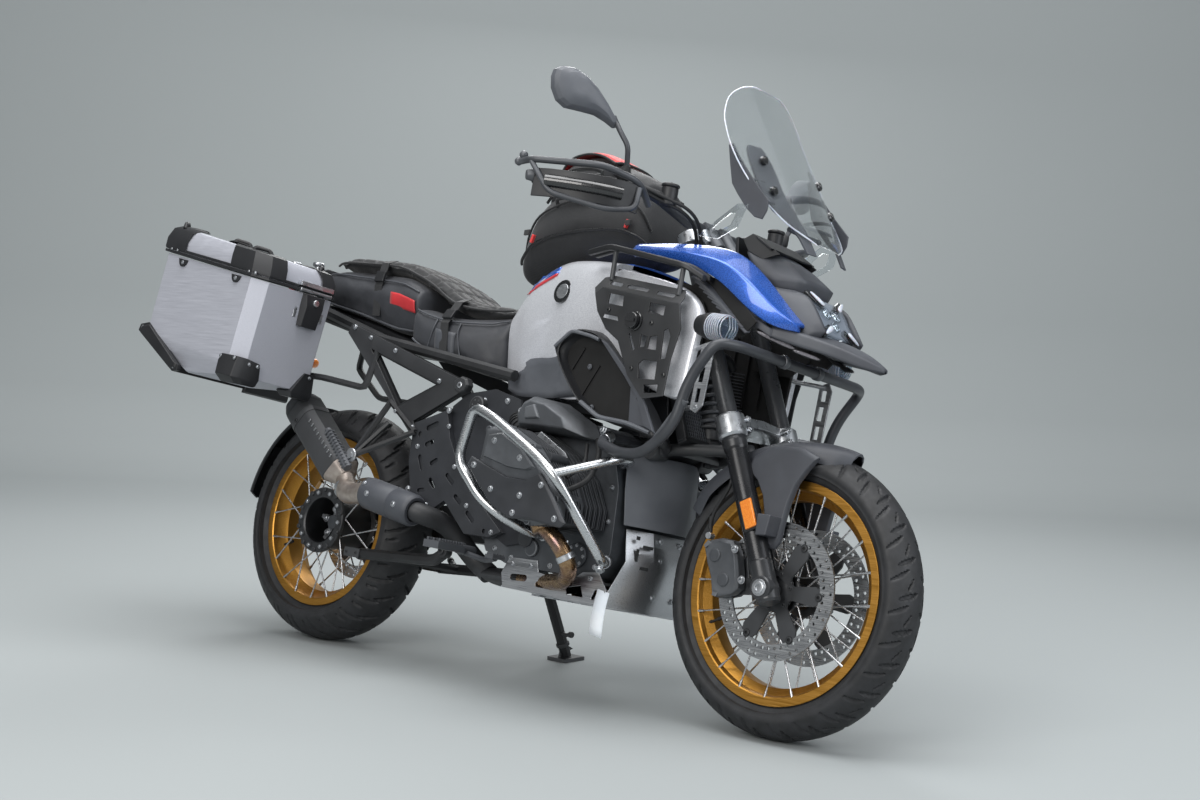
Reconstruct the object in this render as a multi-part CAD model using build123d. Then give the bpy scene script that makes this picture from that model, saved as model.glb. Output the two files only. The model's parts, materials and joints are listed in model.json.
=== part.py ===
from build123d import *
import math
import os

# Adventure motorcycle with a flat twin engine, shaft drive, spoked wheels and one side case.
# Everything is drawn upright first: X forward from the rear axle, Y to the left, Z up from
# the road.  At the end the whole machine leans to the left onto its side stand, and the
# origin moves to the middle of its outline on the floor.  All lengths are millimetres.

# --- driving dimensions -----------------------------------------------------------------
WHEELBASE = 1534.0
LEAN = 12.0  # degrees to the left, resting on the side stand
RAKE = 26.2  # degrees between the steering axis and the vertical
FORK_OFFSET = 36.9  # front axle ahead of the steering axis, square to it
FORK_HALF_TRACK = 105.0  # from the middle to either fork tube

FRONT_TYRE_R = 325.0
FRONT_TYRE_HALF = 60.0
REAR_TYRE_R = 318.0
REAR_TYRE_HALF = 85.0
CROWN_DROP = 0.62  # fall of the tread from crown to shoulder, per half width
FRONT_RIM_R = 253.0
FRONT_RIM_HALF = 47.0
REAR_RIM_R = 232.0
REAR_RIM_HALF = 62.5
RIM_EDGE = 5.0  # thickness of a rim flange
BEAD_DROP = 16.0  # bead seat below the flange
WHEEL_SIDES = 64  # flats round a tyre or rim, each within half a millimetre of round

ENGINE_X = 960.0  # crankshaft and cylinder line
ENGINE_Z = 492.0
CRANKCASE_HALF = 150.0
HEAD_FACE = 300.0  # joint between cylinder head and its cover
COVER_FACE = 345.0  # outermost plane of the head covers

GUARD_BAR_R = 12.5  # 25 mm tube of the engine guards
RACK_HOLE_R = 3.3  # clearance for M6
CASE_T = 2.0  # side case sheet
CASE_GAP = 1.0  # seam between side case and lid

# --- the steering line ------------------------------------------------------------------
RAKE_SIN = math.sin(math.radians(RAKE))
RAKE_COS = math.cos(math.radians(RAKE))
FORK_FOOT = Vector(WHEELBASE - FORK_OFFSET * RAKE_COS, 0, FRONT_TYRE_R - FORK_OFFSET * RAKE_SIN)
# Local frame of all steered pieces: x ahead square to the axis, z up along the axis.
FORK = Plane(origin=FORK_FOOT, x_dir=(RAKE_COS, 0, RAKE_SIN), z_dir=(-RAKE_SIN, 0, RAKE_COS))


# --- shape helpers ----------------------------------------------------------------------
def side_prism(points, y_low, y_high):
    """Extrude an outline of (x, z) points across the machine."""
    outline = make_face(Polyline([(x, y_low, z) for x, z in points], close=True))
    return extrude(outline, amount=y_high - y_low, dir=(0, 1, 0))


def plan_prism(points, z_low, z_high):
    """Extrude an outline of (x, y) points upwards."""
    outline = make_face(Polyline([(x, y, z_low) for x, y in points], close=True))
    return extrude(outline, amount=z_high - z_low, dir=(0, 0, 1))


def both_sides(shape):
    """A piece of the right side together with its mirror image on the left."""
    return shape + mirror(shape, about=Plane.XZ)


def flat_faces(corners):
    """The flat face or faces that span a quadrilateral; a twisted one is split in two."""
    kept = []
    for corner in corners:
        if all((corner - other).length > 1e-6 for other in kept):
            kept.append(corner)
    if len(kept) < 3:
        return []
    if len(kept) == 4:
        normal = (kept[1] - kept[0]).cross(kept[2] - kept[0])
        twist = abs(normal.normalized().dot(kept[3] - kept[0])) if normal.length else 0.0
        if twist > 1e-7:
            return [
                Face(Wire.make_polygon(kept[:3], close=True)),
                Face(Wire.make_polygon([kept[0], kept[2], kept[3]], close=True)),
            ]
    return [Face(Wire.make_polygon(kept, close=True))]


def skin(rings, closed=False):
    """Flat-faced solid over flat rings of equally many points, or round a closed row of them."""
    rings = [[Vector(*point) for point in ring] for ring in rings]
    if closed:
        rings.append(rings[0])
    faces = []
    count = len(rings[0])
    for near, far in zip(rings, rings[1:]):
        for index in range(count):
            after = (index + 1) % count
            faces.extend(flat_faces([near[index], near[after], far[after], far[index]]))
    if not closed:
        faces.append(Face(Wire.make_polygon(rings[0], close=True)))
        faces.append(Face(Wire.make_polygon(rings[-1], close=True)))
    return Part(Solid(Shell(faces)).wrapped)


def shrunk(points, share):
    """An outline drawn smaller about its own middle."""
    middle_u = sum(u for u, v in points) / len(points)
    middle_v = sum(v for u, v in points) / len(points)
    return [(middle_u + (u - middle_u) * share, middle_v + (v - middle_v) * share)
            for u, v in points]


def domed_panel(points, y_base, y_face, share=0.94):
    """A thick side panel of (x, z) points whose outer face is smaller than its base."""
    base = [(x, y_base, z) for x, z in points]
    shoulder = [(x, y_base + (y_face - y_base) * 0.5, z) for x, z in points]
    face = [(x, y_face, z) for x, z in shrunk(points, share)]
    return skin([base, shoulder, face])


def ring_section(middle, along, radius, sides):
    """Corners of a many-sided bar's square-cut end."""
    plane = Plane(origin=middle, z_dir=along)
    grow = radius / math.cos(math.pi / sides)
    return [
        plane.from_local_coords(Vector(
            grow * math.cos(2 * math.pi * (n + 0.5) / sides),
            grow * math.sin(2 * math.pi * (n + 0.5) / sides),
            0,
        ))
        for n in range(sides)
    ]


def tube(points, radius, bend=0.0, sides=8):
    """A bar through the points, mitred in two steps at each bend."""
    corners = [Vector(*point) for point in points]
    path = [corners[0]]
    for before, corner, after in zip(corners, corners[1:], corners[2:]):
        if bend:
            enter = corner + (before - corner).normalized() * bend
            leave = corner + (after - corner).normalized() * bend
            path.extend([enter, (enter + leave) * 0.25 + corner * 0.5, leave])
        else:
            path.append(corner)
    path.append(corners[-1])
    ways = [(b - a).normalized() for a, b in zip(path, path[1:])]
    rings = [ring_section(path[0], ways[0], radius, sides)]
    for spot, way, following in zip(path[1:], ways, ways[1:] + ways[-1:]):
        mitre = (way + following).normalized()
        rings.append([
            point + way * ((spot - point).dot(mitre) / way.dot(mitre)) for point in rings[-1]
        ])
    return skin(rings)


def bar(start, end, radius, sides=8):
    """A straight many-sided bar between two points."""
    return tube([start, end], radius, sides=sides)


def rod(start, end, radius):
    """A straight round bar between two points."""
    start = Vector(*start)
    along = Vector(*end) - start
    return Plane(origin=start, z_dir=along) * Cylinder(
        radius, along.length, align=(Align.CENTER, Align.CENTER, Align.MIN)
    )


def cross_rod(x, z, radius, y_low, y_high):
    """A round bar lying across the machine."""
    return rod((x, y_low, z), (x, y_high, z), radius)


def turned(profile, x, z, sides):
    """Turn a (y, radius) outline about the cross axis at (x, z), in flats."""
    grow = 1 / math.cos(math.pi / sides)
    rings = []
    for n in range(sides):
        angle = 2 * math.pi * (n + 0.5) / sides
        rings.append([
            (x + r * grow * math.cos(angle), y, z + r * grow * math.sin(angle))
            for y, r in profile
        ])
    return skin(rings, closed=True)


def cross_disc(x, z, radius, y_low, y_high, sides):
    """A many-sided disc lying across the machine."""
    grow = radius / math.cos(math.pi / sides)
    points = [
        (x + grow * math.cos(2 * math.pi * (n + 0.5) / sides),
         z + grow * math.sin(2 * math.pi * (n + 0.5) / sides))
        for n in range(sides)
    ]
    return side_prism(points, y_low, y_high)


# --- wheels -----------------------------------------------------------------------------
def crown_radius(half_width):
    """Radius of the tread's curve across the tyre."""
    fall = half_width * CROWN_DROP
    return (half_width ** 2 + fall ** 2) / (2 * fall)


def tyre(x, radius, half_width, flange_r, rim_half):
    """Hollow tyre with a round crown; its beads sit between the rim's flanges."""
    wall = 9.0
    bead_half = rim_half - RIM_EDGE - 0.3
    bead_r = flange_r - BEAD_DROP + 0.2
    crown_r = crown_radius(half_width)
    edge = math.degrees(math.asin(half_width / crown_r))
    outer = []
    for turn in (-edge, -(edge + LEAN) / 2, -LEAN, LEAN, (edge + LEAN) / 2, edge):
        angle = math.radians(turn)
        outer.append((crown_r * math.sin(angle), radius - crown_r * (1 - math.cos(angle))))
    inner = [
        (half_width - wall, outer[-1][1]), (half_width * 0.45, radius - wall - 5),
        (-half_width * 0.45, radius - wall - 5), (-half_width + wall, outer[0][1]),
    ]
    profile = [
        (-bead_half, bead_r), (-bead_half, flange_r + 1), *outer, (bead_half, flange_r + 1),
        (bead_half, bead_r), (bead_half - wall, bead_r), *inner, (-bead_half + wall, bead_r),
    ]
    return turned(profile, x, radius, WHEEL_SIDES)


def rim(x, axle_z, flange_r, half_width):
    """Spoked-wheel rim: deep well between two raised bead seats and flanges."""
    seat_r = flange_r - BEAD_DROP
    well_r = flange_r - 38.0
    skin_t = 5.0
    profile = [
        (-half_width, flange_r), (-half_width + RIM_EDGE, flange_r),
        (-half_width + RIM_EDGE, seat_r), (-half_width * 0.34, well_r),
        (half_width * 0.34, well_r), (half_width - RIM_EDGE, seat_r),
        (half_width - RIM_EDGE, flange_r), (half_width, flange_r),
        (half_width, seat_r - skin_t), (half_width * 0.42, well_r - skin_t),
        (-half_width * 0.42, well_r - skin_t), (-half_width, seat_r - skin_t),
    ]
    return turned(profile, x, axle_z, WHEEL_SIDES)


def spokes(x, axle_z, flange_r, half_width, hub_r, hub_half, count):
    """Crossed wire spokes from the rim's edges to the hub's flanges, half on each side."""
    spoke_r = 2.0
    reach = 34.0  # degrees that a spoke runs round the hub
    outer_r = flange_r - 19.0
    wires = []
    per_side = count // 2
    for side in (-1, 1):
        for index in range(per_side):
            base = 360.0 * index / per_side + (4.5 if side > 0 else 0.0)
            lead = reach if index % 2 else -reach
            at_rim = math.radians(base)
            at_hub = math.radians(base + lead)
            wires.append(
                bar(
                    (x + outer_r * math.cos(at_rim), side * (half_width - 4),
                     axle_z + outer_r * math.sin(at_rim)),
                    (x + hub_r * math.cos(at_hub), side * hub_half,
                     axle_z + hub_r * math.sin(at_hub)),
                    spoke_r, 4,
                )
            )
    return wires


def disc_plate(x, z, y_low, y_high, outer_r, inner_r, boss_r, arms):
    """Brake disc: a ring held by a star-shaped carrier with open bays."""
    ring = cross_disc(x, z, outer_r, y_low, y_high, 48)
    ring -= cross_disc(x, z, inner_r, y_low, y_high, 24)
    star = []
    for n in range(arms):
        for share, reach in ((-0.17, inner_r + 2), (0.17, inner_r + 2), (0.5, boss_r + 12)):
            angle = 2 * math.pi * (n + share) / arms
            star.append((x + reach * math.cos(angle), z + reach * math.sin(angle)))
    carrier = side_prism(star, y_low, y_high)
    carrier -= cross_disc(x, z, boss_r, y_low, y_high, 16)
    return ring + carrier


def front_tyre():
    return tyre(WHEELBASE, FRONT_TYRE_R, FRONT_TYRE_HALF, FRONT_RIM_R, FRONT_RIM_HALF)


def front_rim():
    return rim(WHEELBASE, FRONT_TYRE_R, FRONT_RIM_R, FRONT_RIM_HALF)


def front_hub():
    """Slim hub with a flange for each row of spokes, and the spokes."""
    profile = [
        (-62, 12), (-62, 33), (-46, 33), (-46, 48), (-38, 48), (-34, 26),
        (34, 26), (38, 48), (46, 48), (46, 33), (62, 33), (62, 12),
    ]
    hub = turned(profile, WHEELBASE, FRONT_TYRE_R, 20)
    wires = spokes(WHEELBASE, FRONT_TYRE_R, FRONT_RIM_R, FRONT_RIM_HALF, 44.0, 42.0, 40)
    return hub + wires


def front_discs():
    """Two floating brake discs on open carriers."""
    return both_sides(disc_plate(WHEELBASE, FRONT_TYRE_R, -70.5, -65.5, 155, 118, 34, 6))


def rear_tyre():
    return tyre(0, REAR_TYRE_R, REAR_TYRE_HALF, REAR_RIM_R, REAR_RIM_HALF)


def rear_rim():
    return rim(0, REAR_TYRE_R, REAR_RIM_R, REAR_RIM_HALF)


def rear_hub():
    """Wide hollow hub, open to the right, with its spokes and brake disc on the left."""
    profile = [
        (-78, 52), (-78, 74), (-66, 80), (-58, 74), (50, 66), (58, 74), (66, 74),
        (70, 40), (92, 40), (92, 18), (40, 18), (30, 56), (-60, 62),
    ]
    hub = turned(profile, 0, REAR_TYRE_R, 24)
    wires = spokes(0, REAR_TYRE_R, REAR_RIM_R, REAR_RIM_HALF, 72.0, 62.0, 40)
    return hub + wires + disc_plate(0, REAR_TYRE_R, 76, 81, 142, 106, 38, 6)


# --- steered pieces ---------------------------------------------------------------------
BRIDGE_S = 381.0  # lower fork bridge, up along the axis from the axle line
BALL_S = 362.0  # ball joint of the leading arm, on the steering axis
YOKE_S = 872.0  # top yoke


def fork():
    """Two telescopic legs, the lower bridge that the leading arm holds, and the axle."""
    legs = Part()
    for side in (-1, 1):
        y = side * FORK_HALF_TRACK
        legs += bar((FORK_OFFSET, y, -30), (FORK_OFFSET, y, 370), 27, 16)
        legs += bar((FORK_OFFSET, y, BRIDGE_S - 20), (FORK_OFFSET, y, BRIDGE_S + 36), 33, 16)
        legs += bar((FORK_OFFSET, y, BRIDGE_S), (FORK_OFFSET, y, YOKE_S - 12), 21, 16)
        legs += Pos(FORK_OFFSET, y, 0) * Box(56, 46, 64)
    bridge = Pos(26, 0, BRIDGE_S + 24) * Box(50, 2 * FORK_HALF_TRACK, 24)
    axle = Pos(FORK_OFFSET, 0, 0) * Rot(X=90) * Cylinder(11.5, 2 * FORK_HALF_TRACK)
    return FORK * (legs + bridge + axle)


def top_yoke():
    """Flat forked clamp that ties both legs to the handlebar risers."""
    half = FORK_HALF_TRACK
    plate = Pos(FORK_OFFSET * 0.4, 0, YOKE_S) * Box(74, 2 * half, 24)
    for side in (-1, 1):
        plate += bar((FORK_OFFSET, side * half, YOKE_S - 12), (FORK_OFFSET, side * half, YOKE_S + 12),
                     32, 16)
        plate += bar((FORK_OFFSET, side * 42, YOKE_S + 10), (FORK_OFFSET, side * 42, YOKE_S + 40),
                     17, 12)
    return FORK * plate


BAR_POINTS = [
    (1172, 60, 1148), (1140, 150, 1172), (1122, 240, 1180), (930, 478, 1196),
]
GRIP_FROM = (1041, 340, 1187)
GRIP_TO = (936, 470, 1195)


def handlebar():
    """Tapered one-piece bar, risers, rubber grips, switch blocks, levers and reservoirs."""
    right = [(x, -y, z) for x, y, z in BAR_POINTS]
    whole = tube(list(reversed(right)) + BAR_POINTS, 12.5, 24, 8)
    for side in (-1, 1):
        grip_a = Vector(GRIP_FROM[0], side * GRIP_FROM[1], GRIP_FROM[2])
        grip_b = Vector(GRIP_TO[0], side * GRIP_TO[1], GRIP_TO[2])
        along = (grip_b - grip_a).normalized()
        whole += bar(grip_a, grip_b, 17, 12)
        whole += bar(grip_a - along * 34, grip_a - along * 2, 24, 8)
        knuckle = grip_a - along * 20 + Vector(34, side * 6, -4)
        whole += bar(grip_a - along * 20, knuckle, 11, 6)
        whole += tube(
            [knuckle, knuckle + along * 50 + Vector(12, 0, -2), knuckle + along * 140], 7, 0, 6
        )
        reservoir = Vector(1150, side * 214, 1190)
        whole += bar(reservoir - Vector(0, 0, 26), reservoir + Vector(0, 0, 26), 21, 12)
    riser = Pos(FORK_OFFSET, 0, YOKE_S + 52) * Box(44, 116, 24)
    return whole + FORK * riser


def hand_guards():
    """Bar-end frames round dark shields, one for each hand."""
    frame = tube(
        [(918, -482, 1197), (962, -490, 1200), (1110, -410, 1206), (1152, -324, 1190),
         (1134, -262, 1152)],
        9, 16,
    )
    lower = tube(
        [(958, -488, 1196), (1010, -470, 1128), (1120, -392, 1108), (1156, -330, 1124),
         (1152, -322, 1176)],
        7, 10, 6,
    )
    shield = skin([
        [(x, y, z) for x, y in front + [(x - 5, y + 4) for x, y in reversed(front)]]
        for z, front in (
            (1190, [(980, -486), (1112, -406), (1150, -322)]),
            (1150, [(990, -484), (1124, -404), (1160, -324)]),
            (1120, [(1020, -466), (1120, -392), (1154, -330)]),
        )
    ])
    return both_sides(frame + lower + shield)


def mirrors():
    """Faceted teardrop mirrors on bent stalks."""
    stalk = tube(
        [(1080, -312, 1186), (1108, -322, 1212), (1124, -350, 1264), (1088, -378, 1322),
         (1050, -392, 1364)], 7, 14, 6
    )
    stalk += bar((1078, -311, 1186), (1110, -324, 1220), 12, 8)
    # Outline of the glass as (outward, up) offsets from its middle.
    outline = [(-90, 22), (-60, 33), (30, 38), (70, 20), (82, 4), (70, -24), (0, -37), (-90, -29)]
    face = Plane(origin=(1030, -440, 1384), x_dir=(-0.351, -0.936, 0), z_dir=(0.936, -0.351, 0))
    head = skin([
        [face.from_local_coords(Vector(k * u, k * v, depth)) for u, v in outline]
        for depth, k in ((-14, 1.0), (10, 1.0), (34, 0.72), (44, 0.4))
    ])
    return both_sides(stalk + head)


def front_mudguard():
    """High-cut mudguard over the front tyre with side arms down to the fork legs."""
    top_r = FRONT_TYRE_R + 16
    profile = [
        (-72, top_r - 46), (-66, top_r - 14), (-30, top_r), (30, top_r), (66, top_r - 14),
        (72, top_r - 46), (69, top_r - 46), (63, top_r - 17), (29, top_r - 3), (-29, top_r - 3),
        (-63, top_r - 17), (-69, top_r - 46),
    ]
    steps = 8
    start, finish = 71.0, 150.0  # degrees above the level line ahead of the axle
    rings = []
    for n in range(steps + 1):
        angle = math.radians(start + (finish - start) * n / steps)
        rings.append([
            (WHEELBASE + r * math.cos(angle), y, FRONT_TYRE_R + r * math.sin(angle))
            for y, r in profile
        ])
    shell = skin(rings)
    arm = side_prism([(1452, 612), (1560, 628), (1600, 600), (1560, 560), (1540, 520),
                      (1528, 438), (1504, 436), (1500, 520), (1476, 560)], -84, -74)
    lug = side_prism([(1504, 436), (1528, 438), (1534, 480), (1503, 480)], -140, -74)
    return shell + both_sides(arm + lug - fork())


def front_calipers():
    """Radial calipers that hold the discs behind each fork leg."""
    body = skin([
        [(1344, -104, 396), (1412, -104, 412), (1438, -104, 330), (1388, -104, 302)],
        [(1336, -96, 404), (1420, -96, 424), (1450, -96, 318), (1384, -96, 290)],
        [(1336, -54, 404), (1420, -54, 424), (1450, -54, 318), (1384, -54, 290)],
    ])
    bracket = side_prism([(1412, 404), (1436, 330), (1478, 344), (1470, 392)], -104, -90)
    return both_sides(body + bracket - disc_gap() - fork())


def disc_gap():
    """Room for the front disc inside its caliper."""
    return cross_disc(WHEELBASE, FRONT_TYRE_R, 161, -73, -63, 24)


# --- engine and drive -------------------------------------------------------------------
def engine_block():
    """Crankcase with the gearbox below and behind, and a narrow front cover."""
    case = side_prism(
        [(700, 310), (790, 282), (1080, 282), (1110, 340), (1100, 500), (1070, 580),
         (1040, 640), (800, 652), (712, 600)],
        -CRANKCASE_HALF, CRANKCASE_HALF,
    )
    case = chamfer(case.edges().filter_by(Axis.Y), 10)
    nose = side_prism([(1080, 420), (1128, 430), (1124, 566), (1060, 590)], -84, 84)
    gearbox = side_prism([(625, 350), (702, 300), (702, 600), (640, 560)], -105, 105)
    return case + nose + gearbox


# Outline of the slanted cylinder head in the side view.
HEAD_OUTLINE = [(806, 500), (812, 594), (880, 602), (975, 562), (1040, 505), (1082, 440),
                (1084, 396), (1000, 378), (900, 398)]


def cylinder(side):
    """One finned barrel with its head block."""
    barrel = side_prism(
        [(862, 440), (868, 560), (950, 576), (1030, 520), (1040, 430), (960, 404)],
        CRANKCASE_HALF, 232,
    )
    for n in range(5):
        barrel += Pos(ENGINE_X - 6, CRANKCASE_HALF + 14 + 14 * n, ENGINE_Z) * Box(216, 4.5, 190)
    head = side_prism(shrunk(HEAD_OUTLINE, 0.93), 230, HEAD_FACE)
    one = barrel + head
    return one if side > 0 else mirror(one, about=Plane.XZ)


def cylinders():
    return cylinder(-1) + cylinder(1)


def head_covers():
    """Two faceted rocker covers."""
    skirt_y = HEAD_FACE + 20
    cover = skin([
        [(x, -HEAD_FACE, z) for x, z in HEAD_OUTLINE],
        [(x, -skirt_y, z) for x, z in HEAD_OUTLINE],
        [(x, -COVER_FACE, z) for x, z in shrunk(HEAD_OUTLINE, 0.82)],
    ])
    return both_sides(cover)


def head_guards():
    """Dark sheet guards over the lower half of each rocker cover."""
    sheet = side_prism(
        [(795, 496), (803, 518), (928, 480), (996, 478), (1035, 498), (1058, 477), (1134, 392),
         (1120, 380), (1028, 387), (957, 385), (893, 411)],
        -COVER_FACE - 4, -COVER_FACE,
    )
    return both_sides(sheet)


def intake_housings():
    """Faceted air housings above each cylinder barrel."""
    base = [(800, 608), (790, 650), (830, 690), (905, 684), (1000, 640), (1026, 604), (900, 606)]
    cover = skin([
        [(x, -CRANKCASE_HALF - 8, z) for x, z in base],
        [(x, -206, z) for x, z in base],
        [(x, -236, z) for x, z in shrunk(base, 0.72)],
    ])
    return both_sides(cover)


def exhaust_headers():
    """Header pipes that leave below the heads and run under the engine to the silencer."""
    pipe = tube(
        [(985, -262, 380), (1040, -252, 352), (1064, -226, 300), (1020, -184, 264),
         (900, -130, 255), (800, -96, 255)],
        20, 18, 10,
    )
    box = side_prism([(640, 226), (830, 234), (830, 276), (640, 276)], -112, 112)
    link = tube(
        [(650, -60, 252), (596, -64, 280), (548, -138, 358), (520, -216, 371), (330, -216, 402),
         (214, -196, 398), (190, -184, 432)],
        24, 16, 10,
    )
    return both_sides(pipe) + box + link


def heat_shield():
    """Black round shield over the silencer's link pipe."""
    return bar((506, -216, 373), (318, -216, 404), 37, 12) - bar(
        (516, -216, 371), (308, -216, 406), 25, 12
    )


def muffler():
    """Upswept can with a slanted inlet cone and a hollow end cap."""
    low = Vector(188, -183, 434)
    high = Vector(-50, -186, 624)
    along = (high - low).normalized()
    section = [(-46, -22), (-46, 22), (-30, 44), (30, 44), (46, 22), (46, -22), (30, -44), (-30, -44)]

    def ring(distance, share):
        plane = Plane(origin=low + along * distance, x_dir=(0, 1, 0), z_dir=along)
        return [plane.from_local_coords(Vector(u * share, v * share, 0)) for u, v in section]

    can = skin([ring(0, 0.62), ring(34, 1.0), ring(268, 1.0), ring(300, 0.78)])
    return can - skin([ring(276, 0.5), ring(310, 0.56)])


def swingarm():
    """Single-sided arm on the left with the bevel housing, brake caliper and strut lug."""
    arm = skin([
        [(560, 62, 440), (560, 138, 440), (560, 138, 330), (560, 62, 330)],
        [(330, 100, 420), (330, 160, 420), (330, 160, 326), (330, 100, 326)],
        [(70, 100, 386), (70, 166, 386), (70, 166, 270), (70, 100, 270)],
    ])
    housing = bar((0, 98, REAR_TYRE_R), (0, 170, REAR_TYRE_R), 88, 20)
    boss = bar((0, 165, REAR_TYRE_R), (0, 182, REAR_TYRE_R), 52, 16)
    pivot = cross_rod(560, 390, 36, -94, 138)
    caliper = side_prism([(-10, 402), (70, 402), (84, 470), (10, 482)], 88, 126)
    strut_lug = bar((446, -22, 406), (446, 110, 406), 15, 8)
    return arm + housing + boss + pivot + caliper + strut_lug


def rear_guard():
    """Slim guard that follows the rear tyre on an arm from the left."""
    top_r = REAR_TYRE_R + 18
    profile = [(-84, top_r - 24), (-60, top_r), (60, top_r), (96, top_r - 24),
               (94, top_r - 28), (58, top_r - 4), (-58, top_r - 4), (-82, top_r - 28)]
    steps = 8
    start, finish = 112.0, 174.0  # degrees from the level line ahead, over the top
    rings = []
    for n in range(steps + 1):
        angle = math.radians(start + (finish - start) * n / steps)
        rings.append([
            (r * math.cos(angle), y, REAR_TYRE_R + r * math.sin(angle)) for y, r in profile
        ])
    stay = tube([(-10, 118, 402), (-180, 126, 470), (-276, 92, 480)], 9, 20, 6)
    return skin(rings) + stay


def suspension_struts():
    """Rear strut under the seat and front strut ahead of the tank, each with its spring."""
    pieces = Part()
    for low, high in (
        ((450, 0, 424), (552, 0, 642)),
        ((1226, 0, 640), (1190, 0, 850)),
    ):
        low, high = Vector(*low), Vector(*high)
        along = (high - low).normalized()
        length = (high - low).length
        strut = bar(low, high, 16, 8)
        for n in range(6):
            ring = low + along * (length * (0.22 + 0.11 * n))
            strut += bar(ring, ring + along * 10, 32, 12)
        pieces += strut
    return pieces


def telelever_arm():
    """Leading A-arm from the front of the engine to the ball joint under the lower bridge."""
    tip = FORK.from_local_coords(Vector(0, 0, BALL_S))
    arm = FORK * Pos(0, 0, BALL_S) * Cylinder(17, 24)
    for side in (-1, 1):
        arm += tube([(1140, side * 90, 604), (1214, side * 84, 614), tip], 15, 30, 8)
        arm += bar((1140, side * 62, 604), (1140, side * 112, 604), 24, 12)
    return arm + bar((1200, -86, 612), (1200, 86, 612), 12, 8)


# --- frame ------------------------------------------------------------------------------
def main_frame():
    """Sheet steel spine from the steering head to the swingarm pivot, with side plates."""
    spine = side_prism(
        [(960, 930), (1110, 930), (1130, 860), (1120, 720), (1164, 610), (1130, 584),
         (1060, 672), (980, 672), (700, 690), (620, 650), (590, 690), (700, 790)],
        -62, 62,
    )
    plate = side_prism(
        [(398, 600), (512, 642), (540, 572), (604, 480), (775, 356), (735, 338), (650, 338),
         (560, 412), (505, 374), (440, 400), (405, 500)],
        -170, -158,
    )
    for x, z in ((470, 560), (500, 450), (590, 440), (660, 400)):
        plate -= Pos(x, -164, z) * Rot(Y=50) * Box(30, 30, 10)
    inner_plate = side_prism(
        [(512, 654), (560, 690), (652, 707), (742, 686), (786, 600), (820, 420), (866, 346),
         (780, 326), (720, 352), (588, 474), (526, 562)],
        -158, -150,
    )
    plug = bar((846, -164, 352), (846, -150, 352), 22, 12)
    tie = cross_rod(610, 660, 18, -158, 158)
    bar_tie = bar((1098, -212, 612), (1098, 212, 612), 11, 8)
    stand_ear = side_prism([(570, 396), (652, 346), (640, 300), (624, 266), (576, 266)], 158, 163)
    return spine + both_sides(plate + inner_plate + plug) + tie + bar_tie + stand_ear


def rear_subframe():
    """Cast seat frame with open windows, passenger-peg brackets and side case carriers."""
    rail = tube([(700, -150, 745), (205, -156, 812), (-190, -120, 912)], 14, 20)
    casting = side_prism(
        [(92, 850), (540, 722), (563, 703), (545, 684), (400, 602), (418, 574), (398, 566),
         (80, 824)],
        -172, -160,
    )
    casting -= side_prism([(208, 772), (449, 703), (331, 645)], -180, -150)
    bracket = bar((300, -176, 648), (415, -182, 576), 7, 6)
    bracket += tube([(300, -176, 648), (268, -244, 490), (415, -182, 576)], 7, 0, 6)
    strut = bar((268, -244, 490), (340, -206, 590), 6, 6)
    case_loop = tube([(210, -168, 800), (205, -190, 675), (60, -212, 690), (-180, -212, 700),
                      (-286, -206, 780), (-186, -130, 905)], 8, 16, 6)
    end_tube = bar((-186, -122, 910), (-186, 122, 910), 12, 8)
    return both_sides(rail + casting + bracket + strut + case_loop) + end_tube


def luggage_rack():
    """Flat rack behind the seat with two locking knobs."""
    plate = plan_prism([(-145, -110), (-350, -96), (-380, -60), (-380, 60), (-350, 96), (-145, 110)],
                       1000, 1012)
    plate -= plan_prism([(-190, -70), (-330, -60), (-330, -20), (-190, -20)], 990, 1020)
    plate -= plan_prism([(-190, 70), (-330, 60), (-330, 20), (-190, 20)], 990, 1020)
    for x in (-167, -355):
        for y in (-45, 45):
            plate -= Pos(x, y, 1006) * Cylinder(RACK_HOLE_R, 20)
    posts = bar((-164, -90, 930), (-164, -90, 1002), 12) + bar((-240, -80, 950), (-280, -80, 1002), 10)
    knobs = bar((-200, -92, 1011), (-200, -92, 1030), 18, 12)
    return plate + both_sides(posts + knobs)


def tail_unit():
    """Tail tray under the rack with the plate carrier and a lamp cluster."""
    tray = side_prism([(290, 822), (0, 888), (-150, 920), (-330, 960), (-330, 930), (-140, 860),
                       (120, 800), (290, 790)], -100, 100)
    carrier = side_prism([(-322, 932), (-430, 700), (-440, 640), (-428, 640), (-414, 700),
                          (-300, 930)], -84, 84)
    lamp = side_prism([(-330, 934), (-352, 940), (-344, 968), (-326, 968)], -60, 60)
    return tray + carrier + lamp


# --- tank, panels and screen ------------------------------------------------------------
def fuel_tank():
    """Painted tank: narrow at the knees, broad shoulders, low ridge on the centre line."""
    rows = (
        # x, then half width and height of the low edge, middle, shoulder and top, then ridge
        (612, 92, 775, 108, 870, 94, 912, 50, 922, 925),
        (645, 106, 742, 120, 872, 106, 950, 60, 962, 966),
        (700, 118, 712, 142, 866, 124, 992, 70, 1006, 1010),
        (800, 135, 705, 174, 880, 152, 1024, 90, 1040, 1044),
        (900, 146, 700, 198, 925, 176, 1030, 100, 1044, 1048),
        (1005, 152, 712, 204, 955, 188, 1024, 110, 1040, 1044),
    )
    rings = []
    for x, *pairs, ridge in rows:
        half = list(zip(pairs[0::2], pairs[1::2]))
        rings.append(
            [(x, -w, z) for w, z in half] + [(x, 0, ridge)] + [(x, w, z) for w, z in reversed(half)]
        )
    tunnel = side_prism([(560, 640), (1100, 640), (1100, 950), (940, 950), (700, 800), (560, 740)],
                        -70, 70)
    return skin(rings) - tunnel


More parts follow.
